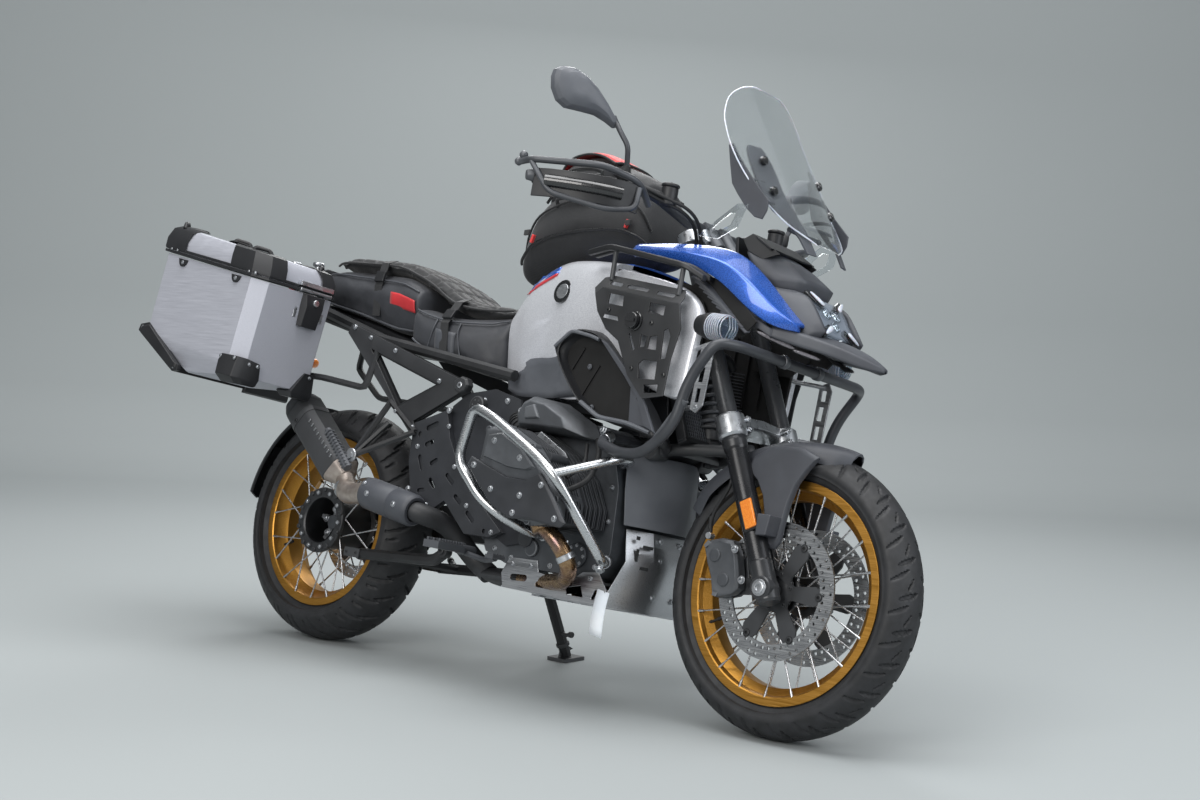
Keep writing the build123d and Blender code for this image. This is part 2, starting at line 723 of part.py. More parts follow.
def side_fairings():
    """White shoulder panels that carry the tank's line forward past the fork."""
    outline = [(1008, 1018), (1242, 974), (1282, 952), (1306, 913), (1296, 840), (1290, 716),
               (1262, 705), (1100, 760), (1008, 716)]
    return both_sides(domed_panel(outline, -190, -208, 0.95))


def air_scoops():
    """Large hollow air ducts under the tank shoulders, open at the front."""
    shell = side_prism([(882, 815), (944, 868), (1060, 846), (1250, 700), (1256, 612),
                        (1160, 634), (1072, 642), (1000, 676)], -240, -210)
    core = side_prism([(910, 810), (950, 848), (1056, 826), (1290, 672), (1290, 622),
                       (1170, 648), (1080, 656), (1010, 690)], -236, -210)
    return both_sides(shell - core)


def side_cowls():
    """Blue upper cowls either side of the screen, creased along their length."""
    stations = (
        # x, then distance out and height of the top edge, the crease and the bottom edge
        (1060, 190, 1078, 206, 1062, 202, 1046),
        (1219, 176, 1084, 212, 1056, 204, 1035),
        (1337, 137, 1074, 200, 1038, 194, 991),
        (1400, 116, 1024, 186, 1002, 178, 938),
        (1460, 103, 964, 160, 945, 152, 902),
        (1512, 94, 920, 130, 914, 122, 900),
    )
    skin_t = 5
    rings = []
    for x, *pairs in stations:
        outer = [(x, -y, z) for y, z in zip(pairs[0::2], pairs[1::2])]
        rings.append(outer + [(x, y + skin_t, z) for x, y, z in reversed(outer)])
    return both_sides(skin(rings))


def louvre_panels():
    """Black panels with a stack of cooling louvres beside the fork."""
    plate = side_prism([(1250, 976), (1320, 992), (1392, 936), (1430, 902), (1396, 876),
                        (1334, 886), (1312, 920), (1286, 952)], -174, -168)
    for n in range(6):
        x = 1300 + 14 * n
        z = 966 - 11 * n
        plate += Pos(x, -180, z) * Rot(Y=34) * Box(66, 14, 4)
    return both_sides(plate)


def beak():
    """Pointed beak under the headlight, swept back along both cowls."""
    stations = (
        # x, half width, low z, high z, ridge z
        (1459, 146, 878, 902, 908),
        (1517, 114, 866, 896, 912),
        (1576, 88, 858, 884, 898),
        (1646, 34, 836, 862, 872),
        (1681, 8, 838, 848, 850),
    )
    rings = [
        [(x, -w, low), (x, -w, high), (x, 0, ridge), (x, w, high), (x, w, low)]
        for x, w, low, high, ridge in stations
    ]
    strip = skin([
        [(1392, -168, 920), (1392, -168, 934), (1392, -160, 934), (1392, -160, 920)],
        [(1459, -146, 880), (1459, -146, 896), (1459, -136, 896), (1459, -136, 880)],
    ])
    cheek = skin([
        [(1410, -75, 1006), (1500, -75, 998), (1560, -75, 910), (1540, -75, 890), (1440, -75, 890)],
        [(1404, -104, 1004), (1428, -104, 996), (1504, -104, 910), (1500, -104, 890),
         (1440, -104, 890)],
    ])
    return skin(rings) + both_sides(strip + cheek)


def nose_panel():
    """Faceted instrument cowl above the headlight and its hood behind the screen."""
    face = skin([
        [(1350, -92, 1003), (1455, -60, 1003), (1455, 60, 1003), (1350, 92, 1003)],
        [(1348, -98, 1028), (1464, -62, 1028), (1464, 62, 1028), (1348, 98, 1028)],
        [(1306, -96, 1092), (1361, -38, 1092), (1361, 38, 1092), (1306, 96, 1092)],
    ])
    hood = side_prism([(1290, 1120), (1318, 1134), (1396, 1086), (1350, 1070), (1312, 1088)],
                      -88, 88)
    return face + hood


def headlight():
    """Compact lamp: a deep shell behind one middle lens."""
    return side_prism([(1430, 1002), (1500, 998), (1562, 910), (1540, 900), (1430, 916)], -74, 74)


def screen_x(height):
    """Middle line of the screen's front face, as it leans back with height."""
    return 1475 - (height - 1118) * 0.66


def screen_carrier():
    """Bent carrier arms behind the screen and the flat deflectors beside it."""
    arm = skin([
        [(screen_x(z) - 8 - 0.0021 * y * y, -y, z) for y in (low, high)]
        + [(screen_x(z) - 14 - 0.0021 * y * y, -y, z) for y in (high, low)]
        for z, low, high in ((1334, 96, 132), (1294, 84, 140), (1232, 84, 140), (1176, 70, 130),
                             (1150, 58, 96), (1088, 52, 78))
    ])
    wing = side_prism([(1260, 1326), (1272, 1326), (1295, 1296), (1402, 1190), (1398, 1150),
                       (1349, 1168), (1294, 1222)], -166, -161)
    tie = bar((1366, -163, 1194), (1384, -118, 1194), 6, 6)
    return both_sides(arm + wing + tie)


def windscreen():
    """Tall clear screen, curved across and rounded at the top."""
    rows = (
        # height, half width
        (1118, 46), (1150, 112), (1220, 158), (1320, 176), (1400, 164), (1450, 138), (1482, 98),
        (1500, 46),
    )
    skin_t = 4
    rings = []
    for z, half in rows:
        across = [half * share for share in (-1, -0.66, -0.33, 0, 0.33, 0.66, 1)]
        front = [(screen_x(z) - 0.0021 * y * y, y, z) for y in across]
        rings.append(front + [(x - skin_t, y, z) for x, y, z in reversed(front)])
    return skin(rings)


def side_racks():
    """Plates on rails at each tank shoulder, with a round knob."""
    plate = side_prism([(1008, 980), (1266, 948), (1264, 760), (1263, 708), (1231, 719),
                        (1071, 841), (1037, 873)], -250, -246)
    knob = bar((1130, -250, 866), (1130, -262, 866), 16, 12)
    rail = tube([(950, -230, 1044), (1030, -246, 1056), (1262, -242, 1016), (1300, -216, 994)],
                8, 16)
    stem = bar((1070, -247, 970), (1070, -247, 1048), 6, 6)
    stay = bar((1180, -206, 900), (1180, -247, 900), 7, 6)
    return both_sides(plate + knob + rail + stem + stay)


# --- protection and lamps ---------------------------------------------------------------
def upper_crash_bars():
    """Black tube guard round the radiators that crosses ahead of the fork."""
    side = tube([(1098, -212, 612), (1104, -246, 592), (1190, -272, 570), (1262, -280, 574),
                 (1345, -290, 640), (1366, -290, 750), (1424, -290, 836), (1450, -240, 838)],
                GUARD_BAR_R, 26, 10)
    side += bar((1290, -280, 594), (1366, -290, 700), 9, 8)
    return both_sides(side) + cross_rod(1450, 838, GUARD_BAR_R, -244, 244)


def lower_crash_bars():
    """Steel tube loop round each cylinder, with a strut to the front of the frame."""
    loop = tube([(1100, -150, 330), (1143, -206, 318), (1082, -352, 494), (1015, -364, 540),
                 (887, -364, 602), (784, -352, 636), (752, -342, 505), (832, -322, 420),
                 (885, -286, 386), (912, -226, 366), (912, -150, 366)],
                GUARD_BAR_R, 22, 10)
    strut = tube([(1078, -352, 500), (1146, -226, 560), (1134, -160, 566), (1100, -150, 556)],
                 11, 20)
    return both_sides(loop + strut - engine_block())


def skid_plate():
    """Folded aluminium bash plate under the engine, rising in facets at the front."""
    sheet = 4
    floor = skin([
        [(786, -154, 227), (786, 154, 227), (786, 154, 231), (786, -154, 231)],
        [(1100, -154, 220), (1100, 154, 220), (1100, 154, 224), (1100, -154, 224)],
        [(1157, -60, 222), (1157, 60, 222), (1157, 60, 226), (1157, -60, 226)],
    ])
    wall = side_prism(
        [(790, 229), (779, 261), (798, 301), (890, 304), (900, 276), (1002, 268), (1039, 294),
         (1087, 300), (1120, 262), (1112, 224), (1100, 222)],
        -154, -150,
    )
    bowl = []
    for z, corners in (
        (224, ((1104, 152), (1157, 60))),
        (335, ((1139, 125), (1172, 60))),
        (412, ((1112, 110), (1154, 60))),
    ):
        right = [(x, -y) for x, y in corners]
        left = [(x, y) for x, y in reversed(corners)]
        outer = right + left
        inner = [(x - sheet, y * 0.98) for x, y in reversed(outer)]
        bowl.append([(x, y, z) for x, y in outer + inner])
    return floor + both_sides(wall) + skin(bowl)


def aux_lights():
    """Round auxiliary lamps in deep pods beside the louvres."""
    lamp = bar((1376, -230, 880), (1414, -234, 877), 31, 16)
    lamp += bar((1316, -225, 885), (1380, -230, 880), 24, 12)
    mount = bar((1352, -168, 880), (1352, -206, 880), 8, 6)
    return both_sides(lamp + mount)


def front_cowl():
    """Keel-shaped cover between the front wheel and the engine."""
    rings = []
    for z, corners in (
        (418, ((1152, 124), (1156, 62), (1180, 20))),
        (500, ((1124, 132), (1146, 76), (1182, 20))),
        (572, ((1110, 132), (1138, 88), (1182, 20))),
    ):
        outer = [(x, -y) for x, y in corners] + [(x, y) for x, y in reversed(corners)]
        inner = [(x - 5, y) for x, y in reversed(outer)]
        rings.append([(x, y, z) for x, y in outer + inner])
    return skin(rings)


# --- seats and bags ---------------------------------------------------------------------
def rider_seat():
    """Low front seat, narrow where it meets the tank."""
    rows = (
        # x, low z, half width low, shoulder z, half width, top z
        (606, 760, 90, 868, 104, 905),
        (545, 752, 118, 850, 128, 892),
        (440, 775, 146, 850, 156, 884),
        (346, 800, 150, 868, 160, 896),
        (302, 822, 150, 880, 160, 912),
    )
    return skin([
        [(x, -w_low, low), (x, -w, mid), (x, -w + 26, top), (x, w - 26, top), (x, w, mid),
         (x, w_low, low)]
        for x, low, w_low, mid, w, top in rows
    ])


def passenger_seat():
    """Raised rear seat that narrows towards the rack."""
    rows = (
        (300, 838, 120, 920, 150, 958),
        (200, 848, 126, 944, 146, 990),
        (60, 880, 124, 956, 140, 1000),
        (-70, 904, 116, 970, 132, 1004),
        (-138, 922, 100, 974, 116, 994),
    )
    return skin([
        [(x, -w_low, low), (x, -w, mid), (x, -w + 26, top), (x, w - 26, top), (x, w, mid),
         (x, w_low, low)]
        for x, low, w_low, mid, w, top in rows
    ])


def seat_pad():
    """Quilted pad strapped over both seats."""
    stations = (
        # x, underside z, top z, half width
        (-96, 1008, 1026, 112), (-40, 1010, 1044, 126), (176, 1006, 1030, 132),
        (310, 966, 988, 128), (400, 914, 946, 126), (500, 900, 926, 118), (600, 912, 930, 92),
    )
    return skin([
        [(x, -w, low), (x, -w + 10, high), (x, w - 10, high), (x, w, low)]
        for x, low, high, w in stations
    ])


def tank_bag():
    """Two-lobed textile bag on top of the tank with a raised flap."""
    rows = (
        # x, low z, top z, half width low, half width top
        (560, 1000, 1150, 56, 40),
        (590, 990, 1210, 86, 70),
        (640, 1012, 1262, 112, 92),
        (680, 1024, 1334, 118, 72),
        (780, 1046, 1332, 124, 72),
        (820, 1050, 1306, 126, 88),
        (940, 1056, 1284, 122, 88),
        (978, 1060, 1236, 112, 78),
        (996, 1068, 1168, 92, 60),
    )
    return skin([
        [(x, -w, low), (x, -w - 6, low + (top - low) * 0.55), (x, -w_top, top), (x, w_top, top),
         (x, w + 6, low + (top - low) * 0.55), (x, w, low)]
        for x, low, top, w, w_top in rows
    ])


# --- side case --------------------------------------------------------------------------
CASE_OUT_Y = -488.0
CASE_IN_Y = -232.0
CASE_OUTLINE = [(-372, 960), (62, 892), (30, 640), (-220, 640), (-396, 742)]
CASE_INSIDE = [(-366, 980), (56, 914), (24, 646), (-218, 646), (-388, 744)]
LID_OUTLINE = [(-380, 962), (62, 893), (64, 958), (40, 972), (-360, 1036), (-378, 1020)]
LID_INSIDE = [(-374, 950), (56, 880), (58, 952), (38, 966), (-358, 1030), (-372, 1016)]


def pannier_case():
    """Aluminium sheet box, open at the top."""
    outer = side_prism(CASE_OUTLINE, CASE_OUT_Y, CASE_IN_Y)
    return outer - side_prism(CASE_INSIDE, CASE_OUT_Y + CASE_T, CASE_IN_Y - CASE_T)


def pannier_lid():
    """Hinged lid with a rim that stands on the case."""
    outer = side_prism([(x, z + CASE_GAP) for x, z in LID_OUTLINE], CASE_OUT_Y - 4, CASE_IN_Y + 4)
    return outer - side_prism([(x, z + CASE_GAP) for x, z in LID_INSIDE], CASE_OUT_Y, CASE_IN_Y)


def case_guards():
    """Black corner guards at the foot of the side case and the latch on its face."""
    rear = side_prism([(-396, 742), (-360, 765), (-196, 668), (-196, 640), (-220, 640)],
                      CASE_OUT_Y - 5, CASE_OUT_Y)
    latch = domed_panel([(-190, 930), (-130, 921), (-132, 790), (-180, 790)], CASE_OUT_Y,
                        CASE_OUT_Y - 14, 0.8)
    front = side_prism([(62, 892), (36, 690), (16, 690), (40, 895)], CASE_OUT_Y - 5, CASE_OUT_Y)
    return rear + latch + front


# --- stands and controls ----------------------------------------------------------------
SIDE_PIVOT = Vector(600, 183, 290)
SIDE_FOOT = Vector(618, 318, 76)
SIDE_FOLDED = Vector(-0.995, 0.07, 0.07)


def tyre_drop(half_width):
    """How far a leaned tyre's lowest point lies under its upright contact point."""
    return crown_radius(half_width) * (1 - math.cos(math.radians(LEAN)))


def side_foot_floor():
    """Height of the floor under the side stand's foot, on the line between both tyres."""
    share = SIDE_FOOT.X / WHEELBASE
    return -(tyre_drop(REAR_TYRE_HALF) * (1 - share) + tyre_drop(FRONT_TYRE_HALF) * share)


def side_stand():
    """Leg on the left with a flat foot that lies square on the floor."""
    floor_z = side_foot_floor()
    leg = bar(SIDE_PIVOT, SIDE_FOOT, 14, 8)
    hinge = (SIDE_FOOT - SIDE_PIVOT).cross(SIDE_FOLDED).normalized()
    leg += rod(SIDE_PIVOT - hinge * 8, SIDE_PIVOT + hinge * 18, 16)
    world_foot = Rot(X=-LEAN) * Vertex(SIDE_FOOT.X, SIDE_FOOT.Y, SIDE_FOOT.Z)
    pad = Pos(world_foot.X, world_foot.Y + 8, floor_z + 5) * Box(64, 76, 10)
    return leg + Rot(X=LEAN) * pad


def centre_stand():
    """Two-legged stand, folded up under the gearbox."""
    leg = tube([(560, -137, 288), (530, -138, 262), (262, -148, 246)], 14, 16)
    leg += cross_rod(560, 288, 16, -150, -128)
    foot = Pos(244, -146, 246) * Box(60, 34, 24)
    return both_sides(leg + foot) + bar((340, -140, 250), (340, 140, 250), 10, 8)


def foot_controls():
    """Footpegs for both, brake pedal on the right and gear lever on the left."""
    peg = Pos(676, -260, 300) * Box(52, 96, 20) + bar((676, -158, 300), (676, -214, 300), 12)
    brake = tube([(650, -182, 296), (760, -196, 282), (830, -236, 290)], 7, 20, 6)
    brake += Pos(838, -246, 292) * Box(26, 44, 10)
    gear = tube([(650, 182, 296), (760, 196, 284), (820, 206, 300), (822, 262, 300)], 7, 12, 6)
    folded = skin([
        [(296, -252, 462), (268, -252, 448), (268, -276, 448), (296, -276, 462)],
        [(188, -254, 556), (166, -254, 540), (166, -272, 540), (188, -272, 556)],
    ])
    for n in range(7):
        tooth = Vector(296, -264, 462) + Vector(-108, 0, 94) * ((n + 0.7) / 8)
        folded += Pos(*tooth) * Rot(Y=41) * Box(6, 16, 8)
    return both_sides(peg + folded) + brake + gear


# --- assembly ---------------------------------------------------------------------------
PIECES = {
    "engine_block": engine_block,
    "cylinders": cylinders,
    "head_covers": head_covers,
    "head_guards": head_guards,
    "intake_housings": intake_housings,
    "exhaust_headers": exhaust_headers,
    "heat_shield": heat_shield,
    "muffler": muffler,
    "main_frame": main_frame,
    "rear_subframe": rear_subframe,
    "swingarm": swingarm,
    "rear_guard": rear_guard,
    "suspension_struts": suspension_struts,
    "telelever_arm": telelever_arm,
    "front_cowl": front_cowl,
    "skid_plate": skid_plate,
    "fuel_tank": fuel_tank,
    "side_fairings": side_fairings,
    "air_scoops": air_scoops,
    "side_cowls": side_cowls,
    "louvre_panels": louvre_panels,
    "beak": beak,
    "nose_panel": nose_panel,
    "headlight": headlight,
    "windscreen": windscreen,
    "screen_carrier": screen_carrier,
    "side_racks": side_racks,
    "upper_crash_bars": upper_crash_bars,
    "lower_crash_bars": lower_crash_bars,
    "aux_lights": aux_lights,
    "rider_seat": rider_seat,
    "passenger_seat": passenger_seat,
    "seat_pad": seat_pad,
    "tank_bag": tank_bag,
    "luggage_rack": luggage_rack,
    "tail_unit": tail_unit,
    "pannier_case": pannier_case,
    "pannier_lid": pannier_lid,
    "case_guards": case_guards,
    "foot_controls": foot_controls,
    "side_stand": side_stand,
    "centre_stand": centre_stand,
    "fork": fork,
    "top_yoke": top_yoke,
    "handlebar": handlebar,
    "hand_guards": hand_guards,
    "mirrors": mirrors,
    "front_mudguard": front_mudguard,
    "front_calipers": front_calipers,
    "front_tyre": front_tyre,
    "front_rim": front_rim,
    "front_hub": front_hub,
    "front_discs": front_discs,
    "rear_tyre": rear_tyre,
    "rear_rim": rear_rim,
    "rear_hub": rear_hub,
}

# A piece in the left column is relieved where the pieces named after it pass through it.
RELIEVED = {
    "front_hub": ("front_rim", "front_discs"),
    "rear_hub": ("rear_rim",),
    "exhaust_headers": ("muffler", "cylinders", "engine_block"),
    "heat_shield": ("exhaust_headers",),
    "skid_plate": ("exhaust_headers",),
    "aux_lights": ("louvre_panels",),
    "beak": ("side_cowls",),
    "headlight": ("beak",),
    "foot_controls": ("rear_subframe",),
    "rear_subframe": ("main_frame",),
    "rider_seat": ("rear_subframe", "fuel_tank"),
    "passenger_seat": ("rear_subframe", "rider_seat"),
    "seat_pad": ("rider_seat", "passenger_seat", "fuel_tank"),
    "tail_unit": ("rear_subframe", "passenger_seat"),
    "luggage_rack": ("rear_subframe", "tail_unit", "passenger_seat"),
    "rear_guard": ("swingarm",),
    "handlebar": ("top_yoke",),
    "hand_guards": ("handlebar", "mirrors"),
    "mirrors": ("handlebar",),
    "upper_crash_bars": ("main_frame",),
    "side_racks": ("side_fairings",),
    "screen_carrier": ("windscreen", "nose_panel"),
    "nose_panel": ("headlight",),
}


def main():
    os.makedirs("parts", exist_ok=True)
    built = {name: make() for name, make in PIECES.items()}
    for name, cutters in RELIEVED.items():
        for cutter in cutters:
            built[name] = built[name] - built[cutter]
    leaned = {name: Rot(X=-LEAN) * shape for name, shape in built.items()}
    box = Compound(children=[Compound(shape.solids()) for shape in leaned.values()]).bounding_box()
    home = Pos(-(box.min.X + box.max.X) / 2, -(box.min.Y + box.max.Y) / 2, -box.min.Z)
    for name, shape in leaned.items():
        export_step(home * shape, f"parts/{name}.step")


if __name__ == "__main__":
    main()
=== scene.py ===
"""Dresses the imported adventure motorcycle: finishes, soft goods, tyres and fittings.

Every piece is drawn in upright machine millimetres (X ahead of the rear axle, Y to the left,
Z up from the road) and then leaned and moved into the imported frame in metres.
"""

from __future__ import annotations

import json
import logging
import math
from dataclasses import dataclass
from enum import Enum
from typing import Any, Iterable, Sequence

import bmesh
import bpy
from mathutils import Matrix, Vector

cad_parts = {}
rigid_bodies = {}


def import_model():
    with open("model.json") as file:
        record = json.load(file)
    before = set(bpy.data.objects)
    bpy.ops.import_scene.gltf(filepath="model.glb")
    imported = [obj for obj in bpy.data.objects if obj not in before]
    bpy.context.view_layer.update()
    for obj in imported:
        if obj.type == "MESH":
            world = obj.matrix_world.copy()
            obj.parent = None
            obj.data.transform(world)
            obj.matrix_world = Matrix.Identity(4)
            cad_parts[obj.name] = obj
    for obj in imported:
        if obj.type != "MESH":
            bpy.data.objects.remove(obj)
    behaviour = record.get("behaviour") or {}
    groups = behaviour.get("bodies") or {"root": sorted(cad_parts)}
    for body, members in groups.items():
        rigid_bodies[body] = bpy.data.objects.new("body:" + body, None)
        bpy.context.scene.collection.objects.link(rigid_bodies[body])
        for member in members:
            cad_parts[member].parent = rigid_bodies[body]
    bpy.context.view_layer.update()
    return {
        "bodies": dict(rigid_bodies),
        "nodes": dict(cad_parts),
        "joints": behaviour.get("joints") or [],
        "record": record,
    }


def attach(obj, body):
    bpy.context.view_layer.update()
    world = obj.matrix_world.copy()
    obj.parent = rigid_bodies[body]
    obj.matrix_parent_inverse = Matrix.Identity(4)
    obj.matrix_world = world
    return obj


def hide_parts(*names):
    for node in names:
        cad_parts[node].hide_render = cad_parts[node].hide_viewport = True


LOG = logging.getLogger("motorcycle")
LEAN = math.radians(12.0)
MM = 0.001
WHEELBASE = 1534.0
FRONT_AXLE_Z = 325.0
REAR_AXLE_Z = 318.0
RAKE = math.radians(26.2)
FORK_OFFSET = 36.9

HUB_FLANGE_BOLTS = 6
PITCH_STEPS = 24
TREAD_STEPS = 44
TREAD_SHARE = 0.985
GUARD_BAR_RADIUS = 12.5
SCREEN_FOOT = (1475, 1118)
SCREEN_LEAN = 0.66
SCREEN_BOW = 0.0021
LID_MIDDLE = (-158, -360)

SIDES = (-1, 1)
AHEAD, LEFT, UP = Vector((1, 0, 0)), Vector((0, 1, 0)), Vector((0, 0, 1))

Point = tuple[float, float, float]
Pair = tuple[float, float]
Mesh = bmesh.types.BMesh
Tree = bpy.types.NodeTree
Node = bpy.types.Node
Output = tuple[Node, str]


# --- colour and nodes -------------------------------------------------------------------
def linear(hex_code: str, alpha: float = 1.0) -> tuple[float, float, float, float]:
    """Turn an sRGB hex colour into Blender's linear colour.

    Args:
        hex_code: six hex digits, with or without a leading #.
        alpha: fourth component.

    Returns:
        Linear red, green, blue and alpha.
    """
    digits = hex_code.lstrip("#")
    parts = [int(digits[i:i + 2], 16) / 255 for i in (0, 2, 4)]
    turned = [p / 12.92 if p <= 0.04045 else ((p + 0.055) / 1.055) ** 2.4 for p in parts]
    return (turned[0], turned[1], turned[2], alpha)


def add_node(tree: Tree, kind: str, settings: dict[str, Any] | None = None,
             links: dict[str, Output] | None = None) -> Node:
    """Add one node, give it its values and link its inputs.

    Args:
        tree: the node tree to add to.
        kind: Blender's node type name.
        settings: node properties or input sockets by name, and the values they get.
        links: input sockets by name (or "#n" for the nth), each with a node and its output.

    Returns:
        The new node.
    """
    node = tree.nodes.new(kind)
    for name, value in (settings or {}).items():
        if name.startswith("#"):
            node.inputs[int(name[1:])].default_value = value
        elif name in node.inputs:
            node.inputs[name].default_value = value
        else:
            setattr(node, name, value)
    for name, (source, output) in (links or {}).items():
        socket = node.inputs[int(name[1:])] if name.startswith("#") else node.inputs[name]
        tree.links.new(source.outputs[output], socket)
    return node


def wire(tree: Tree, source: Output, node: Node, slot: str) -> None:
    """Feed one node's output into a named input of another."""
    tree.links.new(source[0].outputs[source[1]], node.inputs[slot])


def mixed(tree: Tree, factor: Output, low: Any, high: Any) -> Output:
    """Mix two colours, each a fixed colour or another node's output.

    Args:
        tree: the node tree to add to.
        factor: node and output that say how much of the second colour shows.
        low: colour, or node and output, where the factor is 0.
        high: colour, or node and output, where the factor is 1.

    Returns:
        The mixing node and the name of its output.
    """
    mix = add_node(tree, "ShaderNodeMixRGB", links={"Fac": factor})
    for name, value in (("Color1", low), ("Color2", high)):
        if isinstance(value[0], Node):
            wire(tree, value, mix, name)
        else:
            mix.inputs[name].default_value = value
    return (mix, "Color")


# --- finishes ---------------------------------------------------------------------------
@dataclass(frozen=True)
class Finish:
    """A real material: its name, colours and gloss, with a method that draws its surface."""

    name: str
    base: str
    tint: str
    roughness: float = 0.5
    metallic: float = 0.0
    grain_mm: float = 4.0
    bump: float = 0.2

    def material(self) -> bpy.types.Material:
        """Build the material once, and hand back the same one afterwards.

        Returns:
            The material.
        """
        found = bpy.data.materials.get(self.name)
        if found:
            return found
        made = bpy.data.materials.new(self.name)
        made.use_nodes = True
        tree = made.node_tree
        shader = tree.nodes["Principled BSDF"]
        shader.inputs["Roughness"].default_value = self.roughness
        shader.inputs["Metallic"].default_value = self.metallic
        shader.inputs["Base Color"].default_value = linear(self.base)
        place = add_node(tree, "ShaderNodeTexCoord")
        self.draw(tree, shader, (place, "Object"))
        return made

    def draw(self, tree: Tree, shader: Node, place: Output) -> None:
        """Draw the plain grain that all finishes share.

        Args:
            tree: the material's nodes.
            shader: the node that shades the surface.
            place: node and output that give the position in metres.
        """
        grain = self.noise(tree, place, self.grain_mm, 3.0)
        self.colour(tree, shader, grain)
        self.relief(tree, shader, grain, self.bump)
        self.gloss(tree, shader, self.noise(tree, place, self.grain_mm * 22, 3.0), 0.12)

    def noise(self, tree: Tree, place: Output, size_mm: float, detail: float,
              stretch: Point = (1, 1, 1)) -> Output:
        """Add a cloud pattern whose spots are about size_mm across.

        Args:
            tree: the material's nodes.
            place: node and output that give the position in metres.
            size_mm: real size of a spot in millimetres.
            detail: levels of finer detail.
            stretch: how much longer the spots are along each axis.

        Returns:
            The noise node and its output.
        """
        scale = tuple(1000 / size_mm / s for s in stretch)
        mapping = add_node(tree, "ShaderNodeMapping", {"Scale": scale}, {"Vector": place})
        return (add_node(tree, "ShaderNodeTexNoise", {"Scale": 1.0, "Detail": detail},
                         {"Vector": (mapping, "Vector")}), "Fac")

    def spread(self, tree: Tree, source: Output, low: float, high: float,
               to_low: float = 0.0, to_high: float = 1.0) -> Output:
        """Stretch a value from low..high to to_low..to_high, held at both ends.

        Args:
            tree: the material's nodes.
            source: node and output to stretch.
            low: value that becomes to_low.
            high: value that becomes to_high.
            to_low: lowest result.
            to_high: highest result.

        Returns:
            Node and output of the stretched value.
        """
        return (add_node(tree, "ShaderNodeMapRange",
                         {"From Min": low, "From Max": high, "To Min": to_low, "To Max": to_high},
                         {"Value": source}), "Result")

    def colour(self, tree: Tree, shader: Node, factor: Output) -> None:
        """Let the base colour wander towards the tint.

        Args:
            tree: the material's nodes.
            shader: the node that shades the surface.
            factor: node and output that say where.
        """
        wide = self.spread(tree, factor, 0.35, 0.65)
        out = mixed(tree, wide, linear(self.base), linear(self.tint))
        wire(tree, out, shader, "Base Color")

    def gloss(self, tree: Tree, shader: Node, factor: Output, amount: float) -> None:
        """Let the roughness wander a little, as handled surfaces do.

        Args:
            tree: the material's nodes.
            shader: the node that shades the surface.
            factor: node and output that say where.
            amount: how far the roughness wanders.
        """
        low = max(0.02, self.roughness - amount / 2)
        out = self.spread(tree, factor, 0.3, 0.7, low, low + amount)
        wire(tree, out, shader, "Roughness")

    def relief(self, tree: Tree, shader: Node, height: Output, strength: float,
               depth_mm: float = 0.4) -> Node:
        """Add a bump of the given strength and depth to the shader.

        Args:
            tree: the material's nodes.
            shader: the node that shades the surface.
            height: node and output that give the height.
            strength: strength of the bump.
            depth_mm: depth of the bump.

        Returns:
            The bump's node.
        """
        bump = add_node(tree, "ShaderNodeBump", {"Strength": strength, "Distance": depth_mm * MM},
                        {"Height": height})
        before = shader.inputs["Normal"].links
        if before:
            tree.links.new(before[0].from_socket, bump.inputs["Normal"])
        tree.links.new(bump.outputs["Normal"], shader.inputs["Normal"])
        return bump

    def worn(self, tree: Tree, shader: Node, colour: str, amount: float) -> None:
        """Rub raised edges towards a paler colour.

        Args:
            tree: the material's nodes.
            shader: the node that shades the surface.
            colour: six hex digits of the rubbed edges.
            amount: how much of that colour shows.
        """
        shape = add_node(tree, "ShaderNodeNewGeometry")
        edge = self.spread(tree, (shape, "Pointiness"), 0.51, 0.58, 0.0, amount)
        below = shader.inputs["Base Color"].links
        low = (below[0].from_node, below[0].from_socket.name) if below else linear(self.base)
        out = mixed(tree, edge, low, linear(colour))
        wire(tree, out, shader, "Base Color")


@dataclass(frozen=True)
class Lacquer(Finish):
    """Automotive metallic lacquer: flakes in a coloured coat under a clear one."""

    coat: float = 1.0

    def draw(self, tree: Tree, shader: Node, place: Output) -> None:
        """Draw the flakes and the coat over them.

        Args:
            tree: the material's nodes.
            shader: the node that shades the surface.
            place: node and output that give the position in metres.
        """
        # Aluminium flakes of 0.05 mm are drawn at the grain size so that they show at all.
        flakes = self.noise(tree, place, self.grain_mm, 2.0)
        self.colour(tree, shader, flakes)
        self.gloss(tree, shader, flakes, 0.1)
        shader.inputs["Coat Weight"].default_value = self.coat
        shader.inputs["Coat Roughness"].default_value = 0.04
        self.relief(tree, shader, self.noise(tree, place, 9.0, 1.0), self.bump, 0.05)


@dataclass(frozen=True)
class PowderCoat(Finish):
    """Powder-coated or satin painted metal: fine pebbled skin, edges slightly rubbed."""

    edge: str = "55575a"

    def draw(self, tree: Tree, shader: Node, place: Output) -> None:
        """Draw the pebbled skin and its rubbed edges.

        Args:
            tree: the material's nodes.
            shader: the node that shades the surface.
            place: node and output that give the position in metres.
        """
        # The real pebbles are 0.3 mm; they are drawn at the grain size to show.
        pebbles = self.noise(tree, place, self.grain_mm, 2.0)
        self.colour(tree, shader, self.noise(tree, place, 60.0, 4.0))
        self.relief(tree, shader, pebbles, self.bump, 0.15)
        self.gloss(tree, shader, self.noise(tree, place, 45.0, 4.0), 0.14)
        self.worn(tree, shader, self.edge, 0.5)


